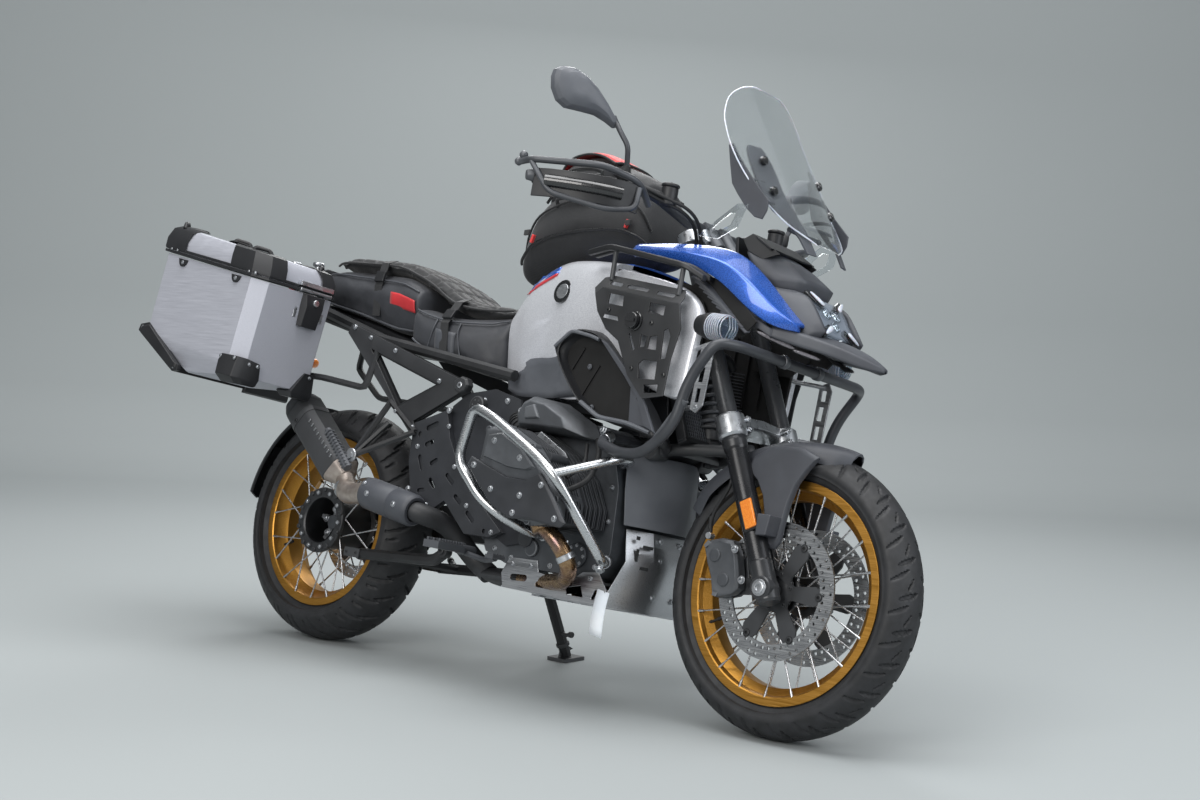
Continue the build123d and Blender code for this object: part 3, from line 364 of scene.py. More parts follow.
@dataclass(frozen=True)
class CastMetal(Finish):
    """Die-cast aluminium, raw or painted matt: sandy skin with faint flow marks."""

    edge: str = "8d9094"

    def draw(self, tree: Tree, shader: Node, place: Output) -> None:
        """Draw the sandy skin and its flow marks.

        Args:
            tree: the material's nodes.
            shader: the node that shades the surface.
            place: node and output that give the position in metres.
        """
        sand = self.noise(tree, place, self.grain_mm, 4.0)
        self.colour(tree, shader, self.noise(tree, place, 38.0, 5.0))
        self.relief(tree, shader, sand, self.bump, 0.35)
        self.gloss(tree, shader, self.noise(tree, place, 14.0, 3.0), 0.18)
        self.worn(tree, shader, self.edge, 0.55)


@dataclass(frozen=True)
class BrushedMetal(Finish):
    """Sheet or tube with a brushed or ground face: long fine scratches in one direction."""

    along: Point = (40, 1, 1)

    def draw(self, tree: Tree, shader: Node, place: Output) -> None:
        """Draw the long fine scratches.

        Args:
            tree: the material's nodes.
            shader: the node that shades the surface.
            place: node and output that give the position in metres.
        """
        # Scratches are 0.1 mm wide in reality; the grain size keeps them visible.
        lines = self.noise(tree, place, self.grain_mm, 3.0, self.along)
        self.colour(tree, shader, lines)
        self.relief(tree, shader, lines, self.bump, 0.08)
        self.gloss(tree, shader, lines, 0.22)


@dataclass(frozen=True)
class HeatedSteel(Finish):
    """Stainless header pipe: straw and bronze bands where the gas was hottest."""

    hot: str = "5a4a6c"

    def draw(self, tree: Tree, shader: Node, place: Output) -> None:
        """Draw the straw and bronze bands.

        Args:
            tree: the material's nodes.
            shader: the node that shades the surface.
            place: node and output that give the position in metres.
        """
        bands = self.noise(tree, place, 70.0, 2.0)
        self.colour(tree, shader, self.noise(tree, place, 12.0, 4.0))
        below = shader.inputs["Base Color"].links[0]
        hue = mixed(tree, self.spread(tree, bands, 0.48, 0.66, 0.0, 0.55),
                    (below.from_node, below.from_socket.name), linear(self.hot))
        wire(tree, hue, shader, "Base Color")
        self.gloss(tree, shader, self.noise(tree, place, 6.0, 3.0), 0.16)


@dataclass(frozen=True)
class Moulded(Finish):
    """Injection-moulded plastic with a spark-eroded matt grain."""

    def draw(self, tree: Tree, shader: Node, place: Output) -> None:
        """Draw the spark-eroded grain.

        Args:
            tree: the material's nodes.
            shader: the node that shades the surface.
            place: node and output that give the position in metres.
        """
        # The spark grain is 0.4 mm; it is drawn at the grain size.
        cells = add_node(tree, "ShaderNodeMapping", {"Scale": (1000 / self.grain_mm,) * 3},
                         {"Vector": place})
        pits = add_node(tree, "ShaderNodeTexVoronoi", {"Scale": 1.0},
                        {"Vector": (cells, "Vector")})
        self.relief(tree, shader, (pits, "Distance"), self.bump, 0.12)
        self.colour(tree, shader, self.noise(tree, place, 80.0, 3.0))
        self.gloss(tree, shader, self.noise(tree, place, 50.0, 3.0), 0.1)


@dataclass(frozen=True)
class Rubber(Finish):
    """Cured rubber compound: matt, a little dusty, with a fine skin."""

    def draw(self, tree: Tree, shader: Node, place: Output) -> None:
        """Draw the fine skin and its dust.

        Args:
            tree: the material's nodes.
            shader: the node that shades the surface.
            place: node and output that give the position in metres.
        """
        skin = self.noise(tree, place, self.grain_mm, 3.0)
        self.relief(tree, shader, skin, self.bump, 0.2)
        self.colour(tree, shader, self.noise(tree, place, 30.0, 5.0))
        self.gloss(tree, shader, self.noise(tree, place, 16.0, 3.0), 0.14)


@dataclass(frozen=True)
class Vinyl(Finish):
    """Seat covering: embossed vinyl with rounded leather-like cells."""

    def draw(self, tree: Tree, shader: Node, place: Output) -> None:
        """Draw the leather-like cells.

        Args:
            tree: the material's nodes.
            shader: the node that shades the surface.
            place: node and output that give the position in metres.
        """
        cells = add_node(tree, "ShaderNodeMapping", {"Scale": (1000 / self.grain_mm,) * 3},
                         {"Vector": place})
        hide = add_node(tree, "ShaderNodeTexVoronoi", {"Scale": 1.0, "feature": "SMOOTH_F1"},
                        {"Vector": (cells, "Vector")})
        self.relief(tree, shader, (hide, "Distance"), self.bump, 0.25)
        self.colour(tree, shader, self.noise(tree, place, 55.0, 4.0))
        self.gloss(tree, shader, self.noise(tree, place, 20.0, 3.0), 0.12)
        shader.inputs["Sheen Weight"].default_value = 0.08


@dataclass(frozen=True)
class Woven(Finish):
    """Heavy nylon or polyester cloth: plain weave of thick threads with a coated back."""

    def draw(self, tree: Tree, shader: Node, place: Output) -> None:
        """Draw the weave of threads.

        Args:
            tree: the material's nodes.
            shader: the node that shades the surface.
            place: node and output that give the position in metres.
        """
        # 1000-denier thread sits 0.8 mm apart; it is drawn at the grain size to show.
        turned = add_node(tree, "ShaderNodeMapping", {"Rotation": (0.5, 0.3, 0.78)},
                          {"Vector": place})
        threads = []
        for axis in ("X", "Y", "Z"):
            wave = add_node(tree, "ShaderNodeTexWave",
                            {"Scale": 1000 / self.grain_mm / 6.28 * 2, "bands_direction": axis,
                             "Distortion": 0.4, "Detail": 1.0},
                            {"Vector": (turned, "Vector")})
            threads.append(wave)
        cross = add_node(tree, "ShaderNodeMath", {"operation": "MULTIPLY"},
                         {"#0": (threads[0], "Fac"), "#1": (threads[1], "Fac")})
        cloth = add_node(tree, "ShaderNodeMath", {"operation": "ADD"},
                         {"#0": (cross, "Value"), "#1": (threads[2], "Fac")})
        self.relief(tree, shader, (cloth, "Value"), self.bump, 0.4)
        wide = self.spread(tree, (cloth, "Value"), 0.2, 1.6)
        out = mixed(tree, wide, linear(self.base), linear(self.tint))
        wire(tree, out, shader, "Base Color")
        self.gloss(tree, shader, self.noise(tree, place, 25.0, 3.0), 0.1)
        shader.inputs["Sheen Weight"].default_value = 0.15


@dataclass(frozen=True)
class Clear(Finish):
    """Clear moulded acrylic or polycarbonate, polished both sides."""

    see_through: float = 1.0
    thin: bool = True

    def draw(self, tree: Tree, shader: Node, place: Output) -> None:
        """Draw the clear sheet and its polish.

        Args:
            tree: the material's nodes.
            shader: the node that shades the surface.
            place: node and output that give the position in metres.
        """
        shader.inputs["Transmission Weight"].default_value = self.see_through
        shader.inputs["IOR"].default_value = 1.49
        smears = self.noise(tree, place, 35.0, 3.0)
        low = self.roughness
        out = self.spread(tree, smears, 0.45, 0.75, low, low + 0.05)
        wire(tree, out, shader, "Roughness")
        if self.thin:
            # A thin sheet lets light straight through and keeps only its surface shine.
            thin = add_node(tree, "ShaderNodeBsdfTransparent", {"Color": linear(self.tint)})
            edge = add_node(tree, "ShaderNodeLayerWeight", {"Blend": 0.28})
            shine = self.spread(tree, (edge, "Facing"), 0.0, 1.0, 0.10, 0.9)
            mix = add_node(tree, "ShaderNodeMixShader", {},
                           {"#0": shine, "#1": (thin, "BSDF"), "#2": (shader, "BSDF")})
            output = tree.nodes["Material Output"]
            tree.links.new(mix.outputs["Shader"], output.inputs["Surface"])


@dataclass(frozen=True)
class Glow(Finish):
    """Pale diffusing plastic over lamps that are switched off."""

    def draw(self, tree: Tree, shader: Node, place: Output) -> None:
        """Draw the pale diffusing skin.

        Args:
            tree: the material's nodes.
            shader: the node that shades the surface.
            place: node and output that give the position in metres.
        """
        self.colour(tree, shader, self.noise(tree, place, self.grain_mm, 2.0))
        shader.inputs["Coat Weight"].default_value = 0.8
        shader.inputs["Coat Roughness"].default_value = 0.05
        shader.inputs["Subsurface Weight"].default_value = 0.1


class Stock:
    """Every finish used on the machine."""

    TANK = Lacquer("tank_silver_white_lacquer", "c9cbd2", "dfe1e6", 0.34, 0.35, 2.4, 0.04)
    BLUE = Lacquer("blue_metallic_lacquer", "1f52b0", "2a61c0", 0.28, 0.4, 2.4, 0.04)
    RED = Lacquer("red_lacquer", "c2202c", "d22a34", 0.35, 0.0, 3.0, 0.03)
    BLACK_STEEL = PowderCoat("black_powder_coat", "17181a", "202123", 0.46, 0.0, 1.6, 0.25)
    DARK_TUBE = PowderCoat("anthracite_powder_coat", "2b2d31", "34363b", 0.42, 0.2, 1.6, 0.2,
                           "6b6e73")
    FRAME = PowderCoat("frame_dark_satin_paint", "232529", "2c2e33", 0.48, 0.2, 1.8, 0.2)
    ENGINE_GREY = CastMetal("engine_casting_grey_coat", "33363b", "3f4348", 0.50, 0.45, 2.6, 0.35)
    ENGINE_BLACK = CastMetal("engine_casting_black_coat", "1d1e20", "28292c", 0.52, 0.35, 2.6,
                             0.35, "606368")
    SHEET = BrushedMetal("brushed_aluminium_sheet", "b2b4b8", "c9cbce", 0.36, 1.0, 1.6, 0.2)
    CASE = BrushedMetal("anodised_aluminium_sheet", "aaacb5", "b4b6bf", 0.56, 0.38, 1.8, 0.15)
    STEEL_TUBE = BrushedMetal("polished_stainless_tube", "b9bbbe", "d4d6d8", 0.24, 1.0, 1.6, 0.1)
    DISC = BrushedMetal("ground_brake_steel", "a0a2a5", "b9bbbd", 0.30, 1.0, 1.4, 0.15)
    FORK_LEG = PowderCoat("black_anodised_fork_tube", "16171a", "1d1e21", 0.30, 0.2, 1.2, 0.04)
    SILVER = CastMetal("machined_silver_aluminium", "a9acb0", "bcbfc3", 0.32, 0.95, 2.2, 0.1,
                       "d6d8db")
    HEADER = HeatedSteel("heat_tinted_stainless", "8c6f52", "a88c6c", 0.28, 1.0, 8.0, 0.1)
    PIPE_PALE = HeatedSteel("titanium_elbow", "a0968e", "b3aaa2", 0.44, 0.85, 8.0, 0.1,
                            "8a7f7c")
    MUFFLER = PowderCoat("matt_ceramic_black", "1b1c1e", "232427", 0.55, 0.1, 1.8, 0.25)
    GREY_PLASTIC = Moulded("dark_grey_moulded_plastic", "3d3f45", "45484e", 0.52, 0.0, 2.0, 0.15)
    MID_PLASTIC = Moulded("grey_moulded_plastic", "54575d", "5d6066", 0.50, 0.0, 2.0, 0.15)
    BLACK_PLASTIC = Moulded("black_moulded_plastic", "16171a", "1e1f22", 0.50, 0.0, 2.0, 0.2)
    # Near-black painted shade: it floors the scoop hollows and backs the louvres where these lie in
    # shade, and darkens the fairing liners beyond their own dark plastic.
    PAINTED_SHADE = Moulded("painted_shade_near_black", "060607", "0a0a0b", 0.75, 0.0, 2.0, 0.1)
    GLOSS_BLACK = Lacquer("gloss_black_plastic", "0e0f11", "141518", 0.28, 0.0, 3.0, 0.02)
    TYRE = Rubber("tyre_rubber", "1b1c1e", "26272a", 0.62, 0.0, 2.2, 0.25)
    GRIP = Rubber("grip_rubber", "141517", "1c1d1f", 0.66, 0.0, 1.8, 0.3)
    SEAT = Vinyl("seat_vinyl_charcoal", "2a2c31", "34363b", 0.55, 0.0, 3.2, 0.35)
    SEAT_SIDE = Vinyl("seat_vinyl_grey", "3a3c42", "43464c", 0.52, 0.0, 3.2, 0.3)
    SEAT_RED = Vinyl("seat_vinyl_red", "b3252b", "c22e33", 0.52, 0.0, 3.2, 0.3)
    PAD = Woven("pad_nylon_cloth", "101113", "1c1d20", 0.72, 0.0, 2.6, 0.35)
    BAG = Woven("bag_ballistic_nylon", "121315", "212226", 0.66, 0.0, 2.6, 0.4)
    BAG_RED = Woven("bag_red_nylon", "c0282a", "d63a38", 0.62, 0.0, 2.6, 0.3)
    WEB = Woven("strap_webbing", "141517", "232427", 0.7, 0.0, 3.2, 0.4)
    GOLD = BrushedMetal("gold_anodised_rim", "a9782e", "bd8d44", 0.40, 0.9, 2.0, 0.1)
    HUB = PowderCoat("black_hub_paint", "121315", "1a1b1d", 0.40, 0.3, 1.6, 0.2)
    SPOKE = BrushedMetal("stainless_spoke", "b5b7ba", "cccdd0", 0.28, 1.0, 2.0, 0.1)
    SCREEN = Clear("clear_screen_polycarbonate", "fbfdfe", "fbfdfe", 0.03, 0.0, 4.0, 0.0)
    LENS = Clear("clear_lamp_lens", "e6ebef", "dfe6ea", 0.03, 0.0, 4.0, 0.0)
    REFLECTOR = BrushedMetal("lamp_reflector_chrome", "cfd3d8", "e3e6ea", 0.12, 1.0, 4.0, 0.02)
    # Real pale diffuser on the lamp bars and strips; also used as painted highlight on the screen's
    # edge and as painted reflection inside the auxiliary lamps.
    LED_AND_PAINTED_HIGHLIGHT = Glow("pale_led_diffuser_and_painted_highlight", "c6c9d6", "d4d7e2", 0.30, 0.0, 6.0, 0.0)
    FROST = Glow("frosted_lamp_optic", "a2a5b0", "b4b7c2", 0.34, 0.0, 5.0, 0.0)
    SMOKED = Moulded("smoked_indicator_lens", "7d7a80", "96939a", 0.14, 0.0, 2.0, 0.05)
    AMBER = Glow("amber_reflector", "e2761a", "f0902e", 0.25, 0.0, 3.0, 0.1)
    TAIL_RED = Glow("red_lamp_lens", "a3141a", "c01c22", 0.22, 0.0, 3.0, 0.1)
    PAPER = Moulded("white_paper_tag", "dfe6ee", "eef2f6", 0.8, 0.0, 3.0, 0.05)
    MIRROR = BrushedMetal("mirror_glass", "d7dbdf", "e6e9ec", 0.04, 1.0, 6.0, 0.0)


# --- mesh kit, all in upright machine millimetres ------------------------------------------
def smooth_path(points: Sequence[Point], bend: float, steps: int = 5) -> list[Vector]:
    """Round the corners of a run of straight tube.

    Args:
        points: corners of the run.
        bend: how far from each corner the bend starts.
        steps: parts of each bend.

    Returns:
        Points along the rounded run.
    """
    run = [Vector(p) for p in points]
    path = [run[0]]
    for before, corner, after in zip(run, run[1:], run[2:]):
        reach = min(bend, (before - corner).length * 0.48, (after - corner).length * 0.48)
        enter = corner + (before - corner).normalized() * reach
        leave = corner + (after - corner).normalized() * reach
        for step in range(steps + 1):
            t = step / steps
            path.append(enter * (1 - t) ** 2 + corner * 2 * t * (1 - t) + leave * t ** 2)
    path.append(run[-1])
    return path


def loft(bm: Mesh, rings: Sequence[Sequence[Any]], wrap: bool = False,
         caps: bool = True, open_ring: bool = False) -> list[list[bmesh.types.BMVert]]:
    """Join rings of equally many points with quads.

    Args:
        bm: mesh to add to.
        rings: rows of points.
        wrap: also join the last ring to the first.
        caps: close the first and last ring with a face.
        open_ring: leave each ring open between its last and first point.

    Returns:
        The vertices, ring by ring.
    """
    rows = [[bm.verts.new(tuple(p)) for p in ring] for ring in rings]
    count = len(rows[0])
    pairs = list(zip(rows, rows[1:])) + ([(rows[-1], rows[0])] if wrap else [])
    for near, far in pairs:
        for i in range(count - 1 if open_ring else count):
            j = (i + 1) % count
            bm.faces.new((near[i], near[j], far[j], far[i]))
    if caps and not wrap and not open_ring:
        bm.faces.new(list(reversed(rows[0])))
        bm.faces.new(rows[-1])
    return rows


def ring_round(centre: Vector, along: Vector, side: Vector, radius: float,
               sides: int) -> list[Vector]:
    """Points of a circle square to a direction, starting towards side.

    Args:
        centre: middle of the circle.
        along: direction of its axis.
        side: direction of the first point.
        radius: radius of the circle.
        sides: number of points.

    Returns:
        The points in order.
    """
    up = along.cross(side).normalized()
    return [
        centre + side * radius * math.cos(2 * math.pi * n / sides)
        + up * radius * math.sin(2 * math.pi * n / sides)
        for n in range(sides)
    ]


def square_to(way: Vector, seed: Vector) -> Vector:
    """The direction nearest to seed that is square to way."""
    return (seed - way * seed.dot(way)).normalized()


def beside(way: Vector) -> Vector:
    """Some direction square to way: upwards, or ahead where way itself is steep."""
    return square_to(way, UP if abs(way.z) < 0.9 else AHEAD)


def axes(first: Vector, second: Vector, third: Vector) -> Matrix:
    """The turn that lays x, y and z along three directions."""
    return Matrix((first, second, third)).transposed()


def on_circle(x: float, z: float, radius: float, share: float) -> Pair:
    """The (x, z) point of a circle at a share of a turn."""
    angle = 2 * math.pi * share
    return (x + radius * math.cos(angle), z + radius * math.sin(angle))


def disc_edge(x: float, z: float, radius: float, sides: int = 18,
              start: float = 0.0) -> list[Pair]:
    """A round outline whose first point lies start steps round the circle."""
    return [on_circle(x, z, radius, (n + start) / sides) for n in range(sides)]


def add_tube(bm: Mesh, points: Sequence[Any], radius: float | Sequence[float],
             bend: float = 0.0, sides: int = 14, steps: int = 5) -> None:
    """Sweep a round bar along a run of points.

    Args:
        bm: mesh to add to.
        points: corners of the run.
        radius: one radius, or one for each point of an unrounded run.
        bend: corner rounding.
        sides: sides of the bar.
        steps: parts of each bend.
    """
    path = smooth_path(points, bend, steps) if bend else [Vector(p) for p in points]
    ways = [(b - a).normalized() for a, b in zip(path, path[1:])]
    tangents = [ways[0]] + [(a + b).normalized() for a, b in zip(ways, ways[1:])] + [ways[-1]]
    side = beside(ways[0])
    rings = []
    for index, (spot, way) in enumerate(zip(path, tangents)):
        side = square_to(way, side)
        size = radius if isinstance(radius, (int, float)) else radius[index]
        rings.append(ring_round(spot, way, side, size, sides))
    loft(bm, rings)


def add_rod(bm: Mesh, start: Any, end: Any, radius: float, sides: int = 20,
            far_radius: float | None = None, edge: float = 0.0) -> None:
    """Add a straight round bar, tapered towards a far radius, its ends rounded by an edge.

    Args:
        bm: mesh to add to.
        start: middle of the near end.
        end: middle of the far end.
        radius: radius at the near end.
        sides: number of flats.
        far_radius: radius at the far end, where it differs.
        edge: rounding of the ends.
    """
    a, b = Vector(start), Vector(end)
    way = (b - a).normalized()
    far = radius if far_radius is None else far_radius
    if edge:
        stops = [(a, radius - edge), (a + way * edge, radius), (b - way * edge, far),
                 (b, far - edge)]
    else:
        stops = [(a, radius), (b, far)]
    add_tube(bm, [s for s, r in stops], [r for s, r in stops], sides=sides)


def add_prism(bm: Mesh, outline: Sequence[Pair], y_low: float, y_high: float) -> None:
    """Extrude an outline of (x, z) points across the machine."""
    loft(bm, [[(x, y, z) for x, z in outline] for y in (y_low, y_high)])


def add_plate(bm: Mesh, corners: Sequence[Point], thick: float) -> None:
    """Thicken a flat polygon of 3-D points along its own normal.

    Args:
        bm: mesh to add to.
        corners: corners of the polygon in order.
        thick: thickness.
    """
    spots = [Vector(c) for c in corners]
    normal = (spots[1] - spots[0]).cross(spots[2] - spots[0]).normalized() * thick
    loft(bm, [spots, [s + normal for s in spots]])


def add_lathe(bm: Mesh, profile: Sequence[Pair], x: float, z: float, sides: int,
              start: float = 0.0, finish: float = 360.0) -> None:
    """Turn (y, radius) points about the cross axis at (x, z), whole or over part of a turn.

    Args:
        bm: mesh to add to.
        profile: (y, radius) points.
        x: x of the axis.
        z: height of the axis.
        sides: steps of the turn.
        start: degrees where the turn starts.
        finish: degrees where the turn ends.
    """
    whole = abs(finish - start - 360) < 1e-6
    count = sides if whole else sides + 1
    rings = []
    for n in range(count):
        angle = math.radians(start + (finish - start) * n / sides)
        rings.append([(x + r * math.cos(angle), y, z + r * math.sin(angle)) for y, r in profile])
    loft(bm, rings, wrap=whole)


def add_block(bm: Mesh, centre: Any, size: Point, turn: Matrix | None = None) -> None:
    """Add a rectangular block, turned about its centre.

    Args:
        bm: mesh to add to.
        centre: its middle.
        size: its size along x, y and z.
        turn: rotation about the middle.
    """
    matrix = Matrix.Translation(Vector(centre)) @ (turn.to_4x4() if turn else Matrix())
    hx, hy, hz = (s / 2 for s in size)
    rings = []
    for z in (-hz, hz):
        rings.append([matrix @ Vector((x, y, z)) for x, y in
                      ((-hx, -hy), (hx, -hy), (hx, hy), (-hx, hy))])
    loft(bm, rings)


def add_bolt(bm: Mesh, spot: Any, out: Any, radius: float,
             height: float | None = None) -> None:
    """Add a flanged socket-head bolt: washer, head with a rounded rim and a hexagon recess.

    Args:
        bm: mesh to add to.
        spot: middle of the washer's foot.
        out: direction the head points in.
        radius: size of the head.
        height: height of the head, four fifths of the radius if not given.
    """
    base, way = Vector(spot), Vector(out).normalized()
    tall = height or radius * 0.8
    side = beside(way)
    stops = [
        (0.0, radius * 1.35, 18), (tall * 0.22, radius * 1.35, 18), (tall * 0.24, radius, 18),
        (tall * 0.85, radius, 18), (tall, radius * 0.86, 18), (tall, radius * 0.5, 18),
        (tall * 0.4, radius * 0.46, 18),
    ]
    loft(bm, [ring_round(base + way * h, way, side, r, n) for h, r, n in stops])


def shrunk(outline: Sequence[Pair], share: float) -> list[Pair]:
    """An outline drawn smaller about its own middle.

    Args:
        outline: the outline.
        share: its new size against the old.

    Returns:
        The smaller outline.
    """
    mu = sum(u for u, v in outline) / len(outline)
    mv = sum(v for u, v in outline) / len(outline)
    return [(mu + (u - mu) * share, mv + (v - mv) * share) for u, v in outline]


def add_stack(bm: Mesh, outline: Sequence[Pair], levels: Sequence[Pair]) -> None:
    """Loft one (x, z) outline through (y, share) levels, each drawn smaller to its share."""
    loft(bm, [[(x, y, z) for x, z in shrunk(outline, share)] for y, share in levels])


def add_wrapped(bm: Mesh, levels: Sequence[tuple[float, Sequence[Pair]]], wall: float,
                share: float) -> None:
    """Wrap a sheet round the machine's front.

    Args:
        bm: mesh to add to.
        levels: heights, each with the (x, y) corners of its left half from rear to middle.
        wall: how far the inner face lies behind the outer one.
        share: width of the inner face against the outer one.
    """
    rings = []
    for z, corners in levels:
        outer = [(x, -y) for x, y in corners] + [(x, y) for x, y in reversed(corners)]
        rings.append([(x, y, z) for x, y in outer]
                     + [(x - wall, y * share, z) for x, y in reversed(outer)])
    loft(bm, rings)


def add_side_bolts(bm: Mesh, spots: Sequence[Pair], y: float, radius: float,
                   height: float) -> None:
    """Put equal bolts at (x, z) spots on both flanks, at a distance from the middle.

    Args:
        bm: mesh to add to.
        spots: (x, z) of each bolt.
        y: distance from the middle plane.
        radius: size of the heads.
        height: height of the heads.
    """
    for side in SIDES:
        for x, z in spots:
            add_bolt(bm, (x, side * y, z), (0, side, 0), radius, height)


def radial_rib(z: float, share: float, near: Pair, far: Pair) -> list[Pair]:
    """Outline of a tapered rib on a wheel's side, at a share of a turn about (0, z).

    Args:
        z: height of the wheel's middle.
        share: place round the wheel, in turns.
        near: radius and half width of the rib's inner end.
        far: radius and half width of its outer end.

    Returns:
        Four (x, z) corners.
    """
    cos, sin = math.cos(2 * math.pi * share), math.sin(2 * math.pi * share)
    return [(r * cos - w * sin, z + r * sin + w * cos)
            for r, w in (near, far, (far[0], -far[1]), (near[0], -near[1]))]


def thicken(piece: bpy.types.Object, thick_mm: float) -> None:
    """Give a single skin its thickness, half to each side.

    Args:
        piece: the piece to change.
        thick_mm: whole thickness.
    """
    sheet = piece.modifiers.new("thick", "SOLIDIFY")
    sheet.thickness = thick_mm * MM
    sheet.offset = 0.0


def mirrored(bm: Mesh) -> None:
    """Add the mirror image of everything in the mesh to the machine's other side.

    Args:
        bm: mesh to double.
    """
    copy = bmesh.ops.duplicate(bm, geom=bm.verts[:] + bm.edges[:] + bm.faces[:])["geom"]
    verts = [g for g in copy if isinstance(g, bmesh.types.BMVert)]
    faces = [g for g in copy if isinstance(g, bmesh.types.BMFace)]
    for vert in verts:
        vert.co.y = -vert.co.y
    bmesh.ops.reverse_faces(bm, faces=faces)


class Fork:
    """The steered frame of reference: x ahead square to the steering axis, z up along it."""

    foot = Vector((WHEELBASE - FORK_OFFSET * math.cos(RAKE), 0,
                   FRONT_AXLE_Z - FORK_OFFSET * math.sin(RAKE)))
    ahead = Vector((math.cos(RAKE), 0, math.sin(RAKE)))
    up = Vector((-math.sin(RAKE), 0, math.cos(RAKE)))

    @classmethod
    def point(cls, x: float, y: float, z: float) -> Vector:
        """A point of the steered frame in machine millimetres."""
        return cls.foot + cls.ahead * x + LEFT * y + cls.up * z


# --- workshop ---------------------------------------------------------------------------
class Workshop:
    """Puts pieces on the machine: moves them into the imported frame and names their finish."""

    def __init__(self, frame: dict[str, Any]) -> None:
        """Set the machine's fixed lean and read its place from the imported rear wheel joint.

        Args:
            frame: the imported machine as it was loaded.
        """
        self.nodes: dict[str, bpy.types.Object] = frame["nodes"]
        self.slots = {part["node"]: part["material_slot"] for part in frame["record"]["subparts"]}
        rear = next(j for j in frame["joints"] if j["name"] == "rear_wheel_spin")
        turn = Matrix.Rotation(-LEAN, 4, "X")
        axle = turn @ Vector((0, 0, REAR_AXLE_Z)) * MM
        self.stance = Matrix.Translation(Vector(rear["pos_m"]) - axle) @ turn @ Matrix.Scale(MM, 4)

    def world(self, point: Any) -> Vector:
        """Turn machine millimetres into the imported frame's metres."""
        return self.stance @ Vector(point)

    def dress(self, names: Iterable[str], finish: Finish, round_mm: float = 1.2,
              smooth: float = 32.0) -> None:
        """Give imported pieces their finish, small rounded edges and smooth curves.

        Args:
            names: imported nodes.
            finish: the material.
            round_mm: edge rounding.
            smooth: edges flatter than this many degrees are shaded as one curve.
        """
        for name in names:
            piece = self.nodes[name]
            piece.data.materials.clear()
            piece.data.materials.append(finish.material())
            self.soften(piece, round_mm, smooth, weld=True)
            LOG.info("dressed %s in %s", name, finish.name)

    def soften(self, piece: bpy.types.Object, round_mm: float, smooth: float,
               weld: bool = False) -> None:
        """Round a piece's sharp edges and shade its shallow ones as curves.

        Args:
            piece: the piece to change.
            round_mm: edge rounding.
            smooth: edges flatter than this many degrees are shaded as one curve.
            weld: whether corners that coincide are joined first.
        """
        mesh = piece.data
        if weld:
            if mesh.attributes.get("custom_normal"):
                mesh.attributes.remove(mesh.attributes["custom_normal"])
            joined = piece.modifiers.new("weld", "WELD")
            joined.merge_threshold = 0.02 * MM
        mesh.shade_smooth()
        if round_mm:
            bevel = piece.modifiers.new("rounded", "BEVEL")
            bevel.width = round_mm * MM
            bevel.segments = 2
            bevel.limit_method = "ANGLE"
            bevel.angle_limit = math.radians(smooth)
            bevel.use_clamp_overlap = True
            bevel.harden_normals = False
            even = piece.modifiers.new("even", "WEIGHTED_NORMAL")
            even.keep_sharp = False
            even.weight = 60
        else:
            mesh.set_sharp_from_angle(angle=math.radians(smooth))

    def fit(self, name: str, bm: Mesh, finish: Finish, body: str = "chassis",
            instead: Sequence[str] = (), round_mm: float = 0.0, smooth: float = 35.0,
            levels: int = 0) -> bpy.types.Object:
        """Turn a mesh in machine millimetres into a piece that rides on a body.

        Args:
            name: the piece's name.
            bm: its mesh, which is used up.
            finish: its material.
            body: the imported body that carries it.
            instead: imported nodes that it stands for.
            round_mm: edge rounding.
            smooth: edges flatter than this many degrees are shaded as one curve.
            levels: subdivision levels.

        Returns:
            The new object.
        """
        bmesh.ops.recalc_face_normals(bm, faces=bm.faces)
        mesh = bpy.data.meshes.new(name)
        bm.transform(self.stance)
        bm.to_mesh(mesh)
        bm.free()
        piece = bpy.data.objects.new(name, mesh)
        bpy.context.scene.collection.objects.link(piece)
        mesh.materials.append(finish.material())
        if levels:
            mesh.shade_smooth()
            sub = piece.modifiers.new("subdivided", "SUBSURF")
            sub.levels = sub.render_levels = levels
        else:
            self.soften(piece, round_mm, smooth)
        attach(piece, body)
        known = [node for node in instead if node in self.nodes]
        if known:
            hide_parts(*known)
        LOG.info("%s: %d faces, %s", name, len(mesh.polygons), finish.name)
        return piece


# --- wheels -----------------------------------------------------------------------------
class Pattern(Enum):
    """Tread layouts: diagonal slots that point ahead on the front, wider ones on the rear."""

    FRONT = "front"
    REAR = "rear"


